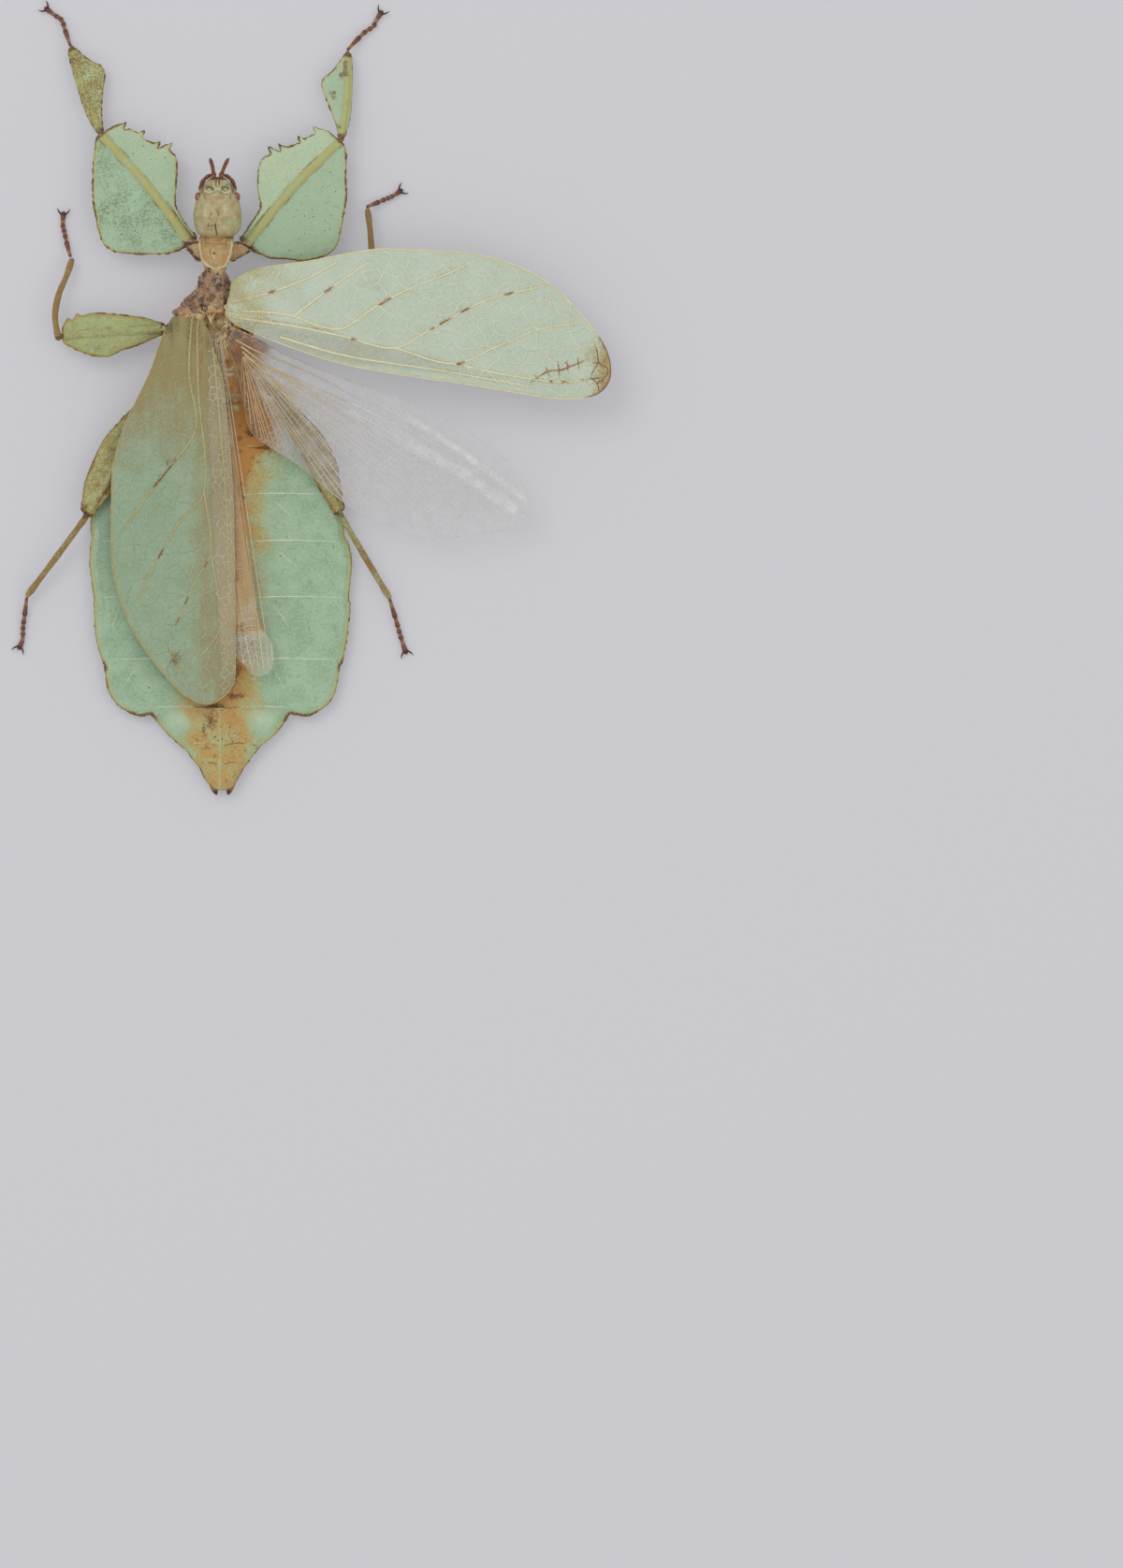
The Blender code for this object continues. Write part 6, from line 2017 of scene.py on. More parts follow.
@dataclass(kw_only=True)
class SpreadHindWing(Wing):
    """The fanned hind wing: a pleated clear membrane, its rays and their cross veins."""

    node: str = "hindwing_right"
    axis: Axis = Axis((-12.0, 9.5), (33.7, -16.3))
    span: float = 52.0
    heights: tuple = (6.8, 6.05)
    hub: tuple[float, float] = (2.5, -1.5)
    rays: int = 27
    first: float = 4.0
    last: float = -68.0
    # Where rays start from the hub in turn, so that few of them meet there
    ray_starts: tuple[float, ...] = (0.4, 6.0, 2.6, 8.0)
    rung_gap: float = 1.3
    step: float = 0.35
    outline_step: float = 0.4
    pleat: float = 0.24
    thickness: float = 0.07
    # The thick veins that fan out from the root along the wing's front
    stems: tuple = (
        ((-11.6, 9.2), (-8.4, 7.5), (-4.0, 5.7), (1.1, 3.5), (7.5, 0.0)),
        ((-10.8, 8.2), (-6.5, 5.1), (-1.8, 2.3), (3.0, -0.7), (8.0, -4.2)),
        ((-10.6, 7.4), (-7.6, 4.6), (-4.4, 1.0), (-0.4, -3.6), (3.5, -8.0)),
    )
    # Folds where several layers lie on each other, and their half widths; painted paler, partly for
    # the layers, partly as painted sheen
    bands: tuple = (
        (((7.0, -1.6), (16.7, -7.7), (23.7, -11.5), (31.2, -16.9)), 0.95),
        (((10.0, 0.4), (20.2, -5.9), (27.4, -10.9), (33.4, -15.6)), 0.6),
    )

    def polar(self, places: Array) -> tuple[Array, Array]:
        """Measure places round the fan's hub.

        Args:
            places: the places.

        Returns:
            How far away they lie, and at what turn in degrees.
        """
        along, across = self.axis.of(places)
        out, side = along - self.hub[0], across - self.hub[1]
        return np.hypot(out, side), np.degrees(np.arctan2(side, out))

    def at(self, reach: ArrayLike, turn: ArrayLike) -> Array:
        """World places at distances and turns (radians) round the fan's hub."""
        x, y = self.hub
        return self.axis.at(np.c_[x + reach * np.cos(turn), y + reach * np.sin(turn)])

    def mid(self, places: Array) -> Array:
        """Shape the membrane, with its pleats.

        Args:
            places: where to read it.

        Returns:
            The height of its middle.
        """
        along, across = self.axis.of(places)
        root, tip = self.heights
        share = np.minimum(along / self.span, 1.0)
        level = root + (tip - root) * share + 0.05 * np.minimum(across, 0.0)
        reach, turn = self.polar(places)
        phase = (turn - self.first) / (self.last - self.first) * (self.rays - 1)
        fold = 1.0 - 2.0 * np.abs((phase * 0.5) % 1.0 - 0.5) * 2.0
        grow = self.pleat * ease(reach, 3.0, 22.0)
        wave = 0.2 * (fuzz(places, 2.2, 61) - 0.5) * ease(reach, 4.0, 12.0)
        return level + grow * fold * 0.5 + wave

    def build(self) -> None:
        """Build and dress the wing."""
        piece = self.membrane()
        flat = places_of(piece)[:, :2]
        reach, turn = self.polar(flat)
        inner = ease(-turn, 25.0, 44.0) * ease(21.0 - reach, 0.0, 12.0)
        inner = most(inner, 0.85 * ease(6.5 - reach, 0.0, 5.0))
        dark = 0.6 * ease(-turn, 38.0, 56.0) * ease(18.0 - reach, 0.0, 9.0)
        root = 0.4 * ease(turn, 4.0, 40.0) * ease(7.0 - reach, 0.0, 3.0)
        outer = 0.65 * ease(reach, 20.0, 34.0)
        # Painted paler and less clear along the folds: partly the stacked layers, partly a painted
        # sheen of the pleats
        bands = (ease(width - away_from(flat, line), -0.4, 0.5) for line, width in self.bands)
        layers_and_sheen = outer * most(*bands) * (0.5 + 0.8 * fuzz(flat, 1.1, 64))
        patchy = 0.16 * ease(fuzz(flat, 1.6, 65), 0.4, 0.9)
        tints = {
            Tint.OCHRE: inner,
            Tint.BROWN: most(dark, root) * (0.4 + fuzz(flat, 1.0, 63)),
            Tint.PALE: layers_and_sheen,
            Tint.CLEAR: 1.0 - most(0.85 * inner, 0.7 * layers_and_sheen, patchy),
        }
        paint(piece, tints)
        finish_piece(piece, self.node + "_membrane", Finish.CLEAR, "wing_membrane", (self.node,))
        self._veins()

    def _veins(self) -> None:
        """The rays of the fan, the veins across them, the folds, the thick stems and the rim."""
        strands = Strands()
        self._rays(strands)
        self._bands(strands)
        for stem in self.stems:
            line = smooth_line(stem, 0.5)
            line = line[self.outline.depth(line) > 0.1]
            strands.add(self.on(line, 0.04), np.linspace(0.16, 0.06, len(line)))
        strands.add(self.on(self.outline.ring, 0.0), 0.05)
        piece = strands.build(4)
        flat = places_of(piece)[:, :2]
        reach, turn = self.polar(flat)
        # Veins along the folds are painted paler, partly as painted sheen
        bands = (
            ease(width + 0.1 - away_from(flat, line), -0.1, 0.1) for line, width in self.bands
        )
        leading = ease(turn, -9.0, -4.0) * ease(30.0 - reach, 0.0, 12.0)
        over_leg = 0.75 * ease(-turn, 14.0, 20.0) * ease(32.0 - reach, 0.0, 6.0)
        tints = {
            Tint.PALE: most(0.8 * most(*bands), 0.6 * ease(reach, 12.0, 26.0)),
            Tint.OCHRE: most(0.4 * leading, 0.7 * ease(17.0 - reach, 0.0, 10.0), over_leg),
            Tint.BROWN: 0.42 * ease(-turn, 24.0, 34.0) * ease(reach, 12.0, 20.0),
        }
        paint(piece, tints)
        finish_piece(piece, self.node + "_veins", Finish.VEIN_FINE, "wing_membrane")

    def _rays(self, strands: Strands) -> None:
        """Add the rays of the fan, and the cross veins that step between them.

        Args:
            strands: where they are gathered.
        """
        draw = np.random.default_rng(62)
        paths = []
        for index, angle in enumerate(np.radians(np.linspace(self.first, self.last, self.rays))):
            walk = np.arange(self.ray_starts[index % 4], 62.0, 0.5)
            line = self.at(walk, angle + math.radians(1.2) * np.sin(walk * 0.08 + index))
            inside = self.outline.depth(line) > 0.12
            stop = len(line) if inside.all() else int(np.argmax(~inside & (walk > 4.0)))
            line, walk = (values[:stop][inside[:stop]] for values in (line, walk))
            if len(line) < 4:
                continue
            taper = np.linspace(0.09 if index % 2 else 0.125, 0.06, len(line))
            strands.add(self.on(line, 0.02), taper * (0.5 + 0.5 * ease(walk, 0.0, 9.0)))
            paths.append(angle)
        for angle, angle_next in zip(paths, paths[1:]):
            for reach in np.arange(3.6 + draw.random(), 56.0, self.rung_gap):
                if draw.random() < 0.14:
                    continue
                line = self.at(reach + draw.normal(0.0, 0.15), np.linspace(angle, angle_next, 3))
                if self.outline.depth(line).min() > 0.2:
                    strands.add(self.on(line, 0.02), 0.045 if reach < 16.0 else 0.035)

    def _bands(self, strands: Strands) -> None:
        """Add the edges and rungs of the folds.

        Args:
            strands: where they are gathered.
        """
        for band, width in self.bands:
            line = smooth_line(band, 0.95)
            left = left_of(line) * width
            for side in (-1.0, 1.0):
                edge = line + left * side
                edge = edge[self.outline.depth(edge) > 0.1]
                strands.add(self.on(edge, 0.03), 0.05)
            for rung in zip(line - left, line + left):
                rung = np.array(rung)
                if self.outline.depth(rung).min() > 0.1:
                    strands.add(self.on(rung, 0.03), 0.05)


@dataclass(kw_only=True)
class FoldedHindWing(Wing):
    """The hind wing folded along the back, with its ladder of cross veins."""

    node: str = "hindwing_left"
    axis: Axis = Axis((-14.6, 10.4), (-7.4, -42.7))
    heights: tuple = (6.87, 6.45, 5.75, 5.1, 4.95, 4.95, 4.9, 4.9, 4.8, 4.7)
    span: float = 53.0
    step: float = 0.22
    outline_step: float = 0.3
    thickness: float = 0.12
    folds: tuple[float, ...] = (-1.7, -0.9, 0.0, 1.1, 2.3, 3.5, 4.6)
    rung_gap: float = 1.1
    # The corners of the crumpled tip, as (along, across)
    tip: tuple = ((46.5, 0.5), (46.5, -5.2), (49.5, -3.9), (52.0, -2.2), (53.0, 0.0), (50.0, 1.5))

    def mid(self, places: Array) -> Array:
        """Shape the folded stack.

        Args:
            places: where to read it.

        Returns:
            The height of its top.
        """
        along, across = self.axis.of(places)
        pleat = np.abs(((across + 0.3) / 0.85) % 1.0 - 0.5)
        crumple = 0.3 * (fuzz(places, 1.1, 71) - 0.5) * ease(along, 46.0, 49.0)
        level = self.level(along) + 0.14 * pleat
        return level + 0.1 * (fuzz(places, 3.0, 72) - 0.5) + crumple

    def build(self) -> None:
        """Build and dress the wing."""
        piece = self.membrane()
        flat = places_of(piece)[:, :2]
        along, across = self.axis.of(flat)
        body = ease(along, 14.0, 20.0) * ease(48.5 - along, 0.0, 2.5)
        left = ease(-across, 1.2, 2.4)
        clear = (1.0 - ease(along, 13.0, 19.0), 0.86 * ease(along, 46.0, 48.5))
        tints = {
            Tint.OCHRE: body * (0.45 + 0.45 * fuzz(flat, 2.0, 73) + 0.25 * left),
            Tint.BROWN: 0.85 * left * body * ease(fuzz(flat, 1.6, 74), 0.3, 0.8),
            Tint.CLEAR: most(*clear, 0.55 * (1.0 - left) * body),
            Tint.PALE: 0.75 * ease(along, 46.0, 48.0),
        }
        paint(piece, tints)
        finish_piece(piece, self.node + "_membrane", Finish.FOLD, "wing_membrane", (self.node,))
        self._veins()

    def spread(self, along: ArrayLike) -> Array:
        """How far apart the folds lie along the wing."""
        return np.interp(along, (0, 10, 40, 53), (0.25, 0.6, 1.15, 0.8))

    def _veins(self) -> None:
        """The long veins of the fold, the rungs between them and the net at the tip."""
        strands = Strands()
        draw = np.random.default_rng(75)
        along = np.arange(1.0, 53.0, 0.5)
        for index, fold in enumerate(self.folds):
            across = 0.3 - fold * self.spread(along) + 0.06 * np.sin(along * 0.35 + fold * 3)
            line = self.axis.at(np.c_[along, across])
            line = line[self.outline.depth(line) > 0.12]
            if len(line) > 4:
                strands.add(self.on(line, 0.08), 0.05 if index % 2 else 0.07)
        for fold, fold_next in zip(self.folds, self.folds[1:]):
            for start in np.arange(5.0, 47.0, self.rung_gap):
                place = start + draw.normal(0.0, 0.12)
                gap = self.spread(place)
                end = place + draw.normal(0, 0.12)
                line = self.axis.at(((place, 0.3 - fold * gap), (end, 0.3 - fold_next * gap)))
                if self.outline.depth(line).min() > 0.1:
                    strands.add(self.on(line, 0.08), 0.075)
        for line in cell_walls(Outline(self.axis.at(self.tip)), 0.8, 76, 0.48):
            if self.outline.depth(line).min() > 0.1 and draw.random() < 0.8:
                strands.add(self.on(line, 0.08), draw.uniform(0.02, 0.05))
        piece = strands.build(4)
        flat = places_of(piece)[:, :2]
        along, _ = self.axis.of(flat)
        tip = ease(along, 46.0, 48.0)
        pale = most(0.45 * tip, 0.2 * ease(18.0 - along, 0.0, 4.0))
        ochre = (0.35 + 0.5 * fuzz(flat, 1.5, 77)) * (1.0 - tip)
        paint(piece, {Tint.PALE: pale, Tint.OCHRE: ochre})
        finish_piece(piece, self.node + "_veins", Finish.VEIN_FINE, "wing_membrane")


# ---- the legs ----


@dataclass
class Leg:
    """One leg: a leaf-like thigh, a shin, a jointed foot and two claws."""

    name: str
    hip: tuple[float, float]
    knee: tuple[float, float]
    # The heights of the hip, the knee and the foot's root
    heights: tuple[float, float, float]
    shin: tuple
    foot: tuple
    # How far the thigh's shaft bows to the left
    bow: float = 0.0
    shaft_radius: float = 0.6
    shin_radius: float = 0.46
    is_leafy: bool = False
    browned: float = 0.0
    shaded_outside: float = 0.0
    yellow_shin: float = 0.0
    pale_inside: float = 0.62
    pale_outside: float = 0.3
    seed: int = 80
    lobe_thickness: float = 0.45
    # The foot's joints as shares of its length, and its heights at even shares after the first
    joints: tuple[float, ...] = (0.0, 0.36, 0.52, 0.64, 0.75, 1.0)
    foot_heights: tuple[float, ...] = (0.8, 0.45, 0.4)

    @property
    def axis(self) -> Axis:
        """The thigh's axis."""
        return Axis(self.hip, self.knee)

    @property
    def side(self) -> float:
        """Which way across the thigh its inner lobe lies."""
        return -1.0 if self.name.endswith("left") else 1.0

    @property
    def shaft(self) -> Array:
        """The middle of the thigh's round shaft."""
        end = self.axis.length - 0.3
        return smooth_line(self.axis.at(((-0.2, 0.0), (end / 2, self.bow), (end, 0.0))), 0.5)

    def thigh_mid(self, places: Array) -> Array:
        """Shape the thigh's lobes.

        Args:
            places: where to read them.

        Returns:
            The height of their middle.
        """
        along, _ = self.axis.of(places)
        level = np.interp(along / self.axis.length, (0.0, 1.0), self.heights[:2])
        return level + 0.25 * (fuzz(places, 4.0, self.seed) - 0.5)

    def build(self) -> None:
        """Build and dress the leg."""
        self._thigh()
        if self.is_leafy:
            self._leafy_shin()
        else:
            self._slim_shin()
        self._foot()
        self._claws()

    def _limb(
        self,
        outline: Outline,
        step: float,
        shaft: Array,
        radius: float,
        mid: Callable[[Array], Array],
    ) -> Piece:
        """A lobed limb: thin lobes on both sides of a round shaft, with keels along its top.

        Args:
            outline: its edge.
            step: the width of its faces.
            shaft: the middle of the shaft.
            radius: the shaft's radius.
            mid: the height of the lobes' middle.

        Returns:
            The piece.
        """

        def face(up: float, full: float, keeled: float, places: Array, depth: Array) -> Array:
            """Shape one face.

            Args:
                up: 1 for the top and -1 for the underside.
                full: how much of the shaft's swelling shows.
                keeled: how high the keels stand.
                places: where to read it.
                depth: how far inside the edge they lie.

            Returns:
                Its height.
            """
            thick = 0.08 + (self.lobe_thickness / 2 - 0.08) * ease(depth, 0.0, 1.2)
            away = away_from(places, shaft) / radius
            swell = np.sqrt(np.clip(1.0 - away**2, 0.0, 1.0)) * radius * ease(depth, 0.0, 0.5)
            keel = keeled * hill(away - 0.75, 0.3)
            grain = 0.07 * (fuzz(places, 0.8, self.seed + 1) - 0.5)
            return mid(places) + up * (np.maximum(thick, swell * full) + keel) + grain

        return blade(
            outline, step, partial(face, 1.0, 1.0, 0.12), partial(face, -1.0, 0.6, 0.0)
        )

    def _thigh(self) -> None:
        """The thigh, its dark edge and its veins."""
        node = "femur_" + self.name
        outline = Outline.of_node(node, 0.2)
        outline = ragged(outline, 0.12 if self.is_leafy else 0.07, self.seed, 1.0)
        piece = self._limb(outline, 0.24, self.shaft, self.shaft_radius, self.thigh_mid)
        paint(piece, self._thigh_tints(places_of(piece)[:, :2], outline))
        finish, slot = Finish.OLIVE, "olive_cuticle"
        if self.is_leafy:
            finish, slot = Finish.LEAF, "leaf_green"
        finish_piece(piece, node + "_leaf", finish, slot, (node,))
        draw = np.random.default_rng(self.seed + 5)
        edge = self._thigh_edge(outline, draw)
        finish_piece(edge, node + "_edge", Finish.MARGIN, slot)
        self._thigh_veins(outline, draw)

    def _thigh_tints(self, flat: Array, outline: Outline) -> dict[Tint, Array]:
        """Paint the pale lobes, the yellow shaft and rim, and the brown marks.

        Args:
            flat: the thigh's places seen from above.
            outline: its edge.

        Returns:
            The tints.
        """
        flank_share, stain_share, stem_share = (0.15, 0.2, 0.4)
        if self.is_leafy:
            flank_share, stain_share, stem_share = (0.35, 0.35, 0.9)
        depth = most(outline.depth(flat), 0.0)
        away = away_from(flat, self.shaft)
        along, across = self.axis.of(flat)
        ends = np.minimum(along, self.axis.length - along)
        inside = ease(across * self.side, -0.3, 0.3)
        stem = ease(self.shaft_radius * 1.25 - away, 0.0, 0.3)
        patches = ease(fuzz(flat, 2.0, self.seed + 3), 0.3, 0.7)
        flank = hill(away - self.shaft_radius - 0.25, 0.3) * patches
        spots = ease(fuzz(flat, 1.1, self.seed + 11), 0.55, 0.9)
        rusty = hill(depth, 0.4) * ease(fuzz(flat, 1.3, self.seed + 15), 0.3, 0.7)
        streaks = fuzz(np.c_[along * 0.25, away], 0.22, self.seed + 2)
        pale = self.pale_inside * inside + self.pale_outside * (1.0 - inside)
        yellow = stem_share * stem * (0.65 + 0.6 * streaks)
        return {
            Tint.OCHRE: most(stain_share * stem * streaks, self.browned * (0.5 + 0.5 * spots)),
            Tint.BROWN: most(
                0.85 * ease(1.2 - ends, 0.0, 1.2),
                flank_share * flank,
                0.45 * self.browned * spots,
                0.75 * rusty * self.is_leafy,
                self.shaded_outside * (1.0 - inside) * (1.0 - stem),
            ),
            Tint.PALE: pale * (1.0 - stem) * self.is_leafy,
            Tint.RIM: most(0.95 * hill(depth, 0.8), yellow, 0.5 * self.browned),
        }

    def _thigh_edge(self, outline: Outline, draw: np.random.Generator) -> Piece:
        """The dark beaded edge, the lines beside the shaft and a few pits.

        Args:
            outline: the thigh's edge.
            draw: the draw of the pits.

        Returns:
            The piece.
        """
        shaft, length = self.shaft, self.axis.length
        edge = dark_edge(outline, self.thigh_mid, self.seed + 4, 0.1 if self.is_leafy else 0.08)
        strands = Strands()
        for side in (-1.0, 1.0):
            line = shaft + left_of(shaft) * side * (self.shaft_radius + 0.1)
            line = line[outline.depth(line) > 0.3]
            height = self.thigh_mid(line) + self.lobe_thickness / 2 - 0.01
            beads = ease(fuzz(line, 1.6, self.seed + 12), 0.25, 0.75)
            strands.add(np.c_[line, height], (0.07 if self.is_leafy else 0.03) * beads)
        spread = draw.uniform((1.0, -8.0), (length, 8.0), (60, 2))
        gathered = draw.normal((length * 0.55, -4.0 * self.side), (3.2, 2.0), (70, 2))
        spots = self.axis.at(np.vstack([spread, gathered]))
        beside = away_from(spots, shaft) > self.shaft_radius + 0.2
        spots = spots[(outline.depth(spots) > 0.8) & beside]
        height = self.thigh_mid(spots) + self.lobe_thickness / 2
        pits = scatter(np.c_[spots, height], 0.035 + 0.09 * draw.random(len(spots)) ** 3, 0.4)
        return join([edge, strands.build(6), pits])

    def _thigh_veins(self, outline: Outline, draw: np.random.Generator) -> None:
        """The faint branches that leave the shaft, where the lobes have room for them.

        Args:
            outline: the thigh's edge.
            draw: the draw of where they start.
        """
        reach = np.arange(0.7, 12.0, 0.5)
        strands = Strands()
        for side in (-1.0, 1.0):
            for start in np.arange(3.0, self.axis.length - 4.0, 3.2):
                along = start + draw.random()
                line = self.axis.at(np.c_[along + reach * 0.75 + 0.1 * np.sin(reach), side * reach])
                line = line[outline.depth(line) > 0.8]
                if len(line) > 3:
                    height = self.thigh_mid(line) + self.lobe_thickness / 2
                    strands.add(np.c_[line, height - 0.02], np.linspace(0.06, 0.03, len(line)))
        if strands.lines:
            piece = strands.build(4)
            paint(piece, {Tint.OCHRE: 0.6})
            finish_piece(piece, f"femur_{self.name}_veins", Finish.NET, "leaf_pale")

    def _knee(self) -> Piece:
        """The brown hinge that joins the thigh to the shin.

        Returns:
            The piece.
        """
        start = np.array((*self.knee, self.heights[1]))
        end = np.array((*self.shin[0], self.heights[1]))
        lead = np.array((*self.axis.unit, 0.0)) * 0.9
        shin = np.array(self.shin[1]) - self.shin[0]
        follow = np.array((*(shin / np.hypot(*shin)), 0.0)) * 0.9
        line = smooth_line((start - lead, (start + end) / 2, end + follow), 0.15)
        radii = 0.46 * np.sin(np.linspace(0.5, math.pi - 0.5, len(line))) ** 0.5
        piece = rods([line], [radii], 12)
        paint(piece, {Tint.BROWN: 0.45 + 0.4 * fuzz(places_of(piece), 0.5, self.seed + 13)})
        return piece

    def _leafy_shin(self) -> None:
        """A front shin: a shaft with a lobe along its inner side."""
        node = "tibia_" + self.name
        outline = ragged(Outline.of_node(node, 0.2), 0.06, self.seed + 6, 0.9)
        axis = Axis(self.shin[0], self.shin[-1])
        middle = (axis.length / 2, -0.4 * self.side)
        shaft = smooth_line(axis.at(((-0.4, 0.0), middle, (axis.length + 0.2, 0.0))), 0.4)

        def mid(places: Array) -> Array:
            """The height of the middle of the shin."""
            along, _ = axis.of(places)
            return np.interp(along / axis.length, (0.0, 1.0), self.heights[1:])

        piece = self._limb(outline, 0.16, shaft, 0.5, mid)
        flat = places_of(piece)[:, :2]
        depth = most(outline.depth(flat), 0.0)
        along, _ = axis.of(flat)
        ends = np.minimum(along, axis.length - along)
        stem = ease(0.75 - away_from(flat, shaft), 0.0, 0.4)
        spots = 0.5 * ease(fuzz(flat, 0.9, self.seed + 14), 0.6, 0.9)
        yellow = (1.1 - self.pale_outside) * stem
        tints = {
            Tint.BROWN: most(0.9 * ease(1.0 - ends, 0.0, 1.0), spots, 0.6 * self.yellow_shin),
            Tint.PALE: self.pale_outside * (1.0 - stem),
            Tint.RIM: most(0.9 * hill(depth, 0.6), self.yellow_shin, yellow),
        }
        paint(piece, tints)
        foot = ball((*self.shin[-1], self.heights[2]), (0.38, 0.45, 0.38))
        paint(foot, {Tint.BROWN: 0.7})
        piece = join([piece, self._knee(), foot])
        finish_piece(piece, node + "_leaf", Finish.LEAF, "leaf_green", (node,))
        edge = dark_edge(outline, mid, self.seed + 7, 0.08)
        finish_piece(edge, node + "_edge", Finish.MARGIN, "leaf_green")

    def _slim_shin(self) -> None:
        """A plain shin: a ridged shaft between two knuckles."""
        node = "tibia_" + self.name
        line = smooth_line(self.shin, 0.35)
        share = np.linspace(0.0, 1.0, len(line))
        height = np.interp(share, (0.0, 1.0), self.heights[1:])
        marks = (0.0, 0.06, 0.15, 0.5, 0.8, 0.95, 1.0)
        radius = self.shin_radius * np.interp(share, marks, (0.9, 1.1, 0.95, 1.1, 0.95, 1.15, 0.9))
        wobble = 1.0 + 0.12 * (fuzz(line, 0.8, self.seed + 8) - 0.5)
        shaft = rods([np.c_[line, height]], [radius * wobble], 12)
        ridges = Strands()
        for side in (-1.0, 0.0, 1.0):
            ridge = line + left_of(line) * (side * 0.68 * radius)[:, None]
            ridges.add(np.c_[ridge, height + radius * (0.72 if side else 0.98)], 0.07)
        keels = ridges.build(6)
        foot = ball((*line[-1], height[-1]), (0.42, 0.42, 0.42), 20, 14)
        piece = join([shaft, keels, self._knee(), foot])
        flat = places_of(piece)[:, :2]
        ends = np.minimum(*(oval(flat, *end) for end in (self.shin[0], self.shin[-1])))
        dark = 0.15 + 0.6 * ease(fuzz(flat, 1.1, self.seed + 9), 0.5, 0.85)
        least = 0.35 if self.browned else 0.6
        tints = {
            Tint.BROWN: most(0.9 * ease(1.5 - ends, 0.0, 1.5), dark),
            Tint.OCHRE: least + 0.45 * fuzz(flat, 2.5, self.seed + 10),
        }
        paint(piece, tints)
        finish_piece(piece, node + "_shaft", Finish.OLIVE, "olive_cuticle", (node,))

    def _foot(self) -> None:
        """The foot's five joints and its pad."""
        node = "tarsus_" + self.name
        line = smooth_line(self.foot, 0.07)
        steps = np.r_[0.0, np.cumsum(np.hypot(*np.diff(line, axis=0).T))]
        share = steps / steps[-1]
        levels = (self.heights[2] - 0.05, *self.foot_heights)
        height = np.interp(share, (0.0, 1 / 3, 2 / 3, 1.0), levels)
        place = np.zeros(len(share))
        for low, high in zip(self.joints, self.joints[1:]):
            inside = (share >= low) & (share <= high)
            place[inside] = (share[inside] - low) / (high - low)
        radius = 0.25 + 0.18 * place**1.6 + 0.04 * share
        radius *= ease(1.0 - place, 0.0, 0.08) * 0.35 + 0.65
        body = rods([np.c_[line, height]], [radius], 12)
        ahead = line[-1] - line[-3]
        ahead /= np.linalg.norm(ahead)
        pad = ball((*(line[-1] + 0.1 * ahead), 0.3), (0.34, 0.34, 0.27), 20, 14)
        piece = join([body, pad])
        places = places_of(piece)
        places[:, 2] = np.maximum(places[:, 2], 0.0)
        move_to(piece, places)
        gaps = places[:, None, :2] - line[None, ::3]
        at = place[::3][np.argmin(np.linalg.norm(gaps, axis=2), axis=1)]
        paint(piece, {Tint.PALE: 0.5 * hill(at - 0.3, 0.35), Tint.BROWN: 0.8 * ease(at, 0.7, 1.0)})
        finish_piece(piece, node + "_joints", Finish.RUST, "rust_cuticle", (node,))

    def _claws(self) -> None:
        """The two curved claws."""
        end, before = (np.array(place) for place in (self.foot[-1], self.foot[-2]))
        ahead = (end - before) / np.linalg.norm(end - before)
        left = np.array((-ahead[1], ahead[0]))
        turn = np.linspace(0.0, 1.0, 12)
        taper = 0.16 * (1.0 - turn**2 * 0.9)
        claws = Strands()
        for side in (-1.0, 1.0):
            spread = side * (0.12 + 0.8 * np.sin(turn * math.pi * 0.55))
            flat = end + ahead * (1.15 * turn - 0.2)[:, None] + left * spread[:, None]
            claws.add(np.c_[flat, 0.45 + 0.3 * np.sin(math.pi * turn) - 0.2 * turn], taper)
        piece = claws.build(10)
        finish_piece(piece, "claws_" + self.name, Finish.CLAW, "rust_cuticle")


LEGS = (
    Leg(
        "front_left", (-18.7, 24.3), (-32.7, 41.3), (3.9, 3.2, 1.7),
        ((-32.6, 41.6), (-35.2, 48.8), (-37.1, 54.5)),
        ((-37.35, 54.95), (-38.1, 57.2), (-38.7, 58.9), (-39.7, 59.6), (-41.0, 60.6)),
        bow=-0.5, shaft_radius=0.66, is_leafy=True, seed=100,
        pale_inside=0.42, pale_outside=0.0, shaded_outside=0.24, yellow_shin=0.66,
    ),
    Leg(
        "front_right", (-10.0, 24.0), (4.7, 40.3), (3.9, 3.2, 1.7),
        ((4.62, 40.7), (5.5, 47.5), (5.6, 53.6)),
        ((5.6, 54.2), (6.9, 55.6), (8.3, 57.0), (9.6, 57.9), (10.0, 58.7), (10.8, 60.0)),
        bow=0.6, shaft_radius=0.66, is_leafy=True, seed=120,
        pale_inside=0.6, pale_outside=0.36, yellow_shin=0.2,
    ),
    Leg(
        "mid_left", (-22.7, 11.0), (-39.3, 9.9), (3.6, 3.3, 1.6),
        ((-39.15, 9.35), (-39.65, 13.0), (-39.1, 16.3), (-37.9, 19.2), (-37.1, 21.6)),
        ((-37.3, 22.2), (-37.8, 24.0), (-38.2, 25.8), (-38.5, 27.2), (-38.4, 28.8)),
        seed=140,
    ),
    Leg(
        "mid_right", (-7.1, 12.7), (8.7, 18.2), (3.6, 3.3, 1.6),
        ((8.82, 17.2), (9.4, 20.0), (9.35, 23.0), (9.1, 26.5), (8.75, 29.3)),
        ((8.6, 29.9), (9.8, 30.4), (11.2, 31.0), (12.6, 31.6), (13.8, 32.4)),
        seed=160,
    ),
    Leg(
        "hind_left", (-23.2, 0.5), (-34.9, -17.9), (3.75, 3.6, 1.5),
        ((-34.8, -18.07), (-39.5, -24.4), (-43.9, -30.2)),
        ((-44.08, -30.65), (-44.35, -33.0), (-44.65, -35.15), (-44.75, -37.2), (-45.2, -38.3)),
        seed=180, browned=0.75,
    ),
    Leg(
        "hind_right", (-5.2, 0.5), (4.5, -17.7), (3.75, 3.6, 1.5),
        ((4.5, -17.75), (8.6, -24.8), (12.0, -30.5)),
        ((12.15, -30.87), (13.2, -34.4), (14.0, -37.2), (14.6, -39.0)),
        seed=200, browned=0.9,
    ),
)

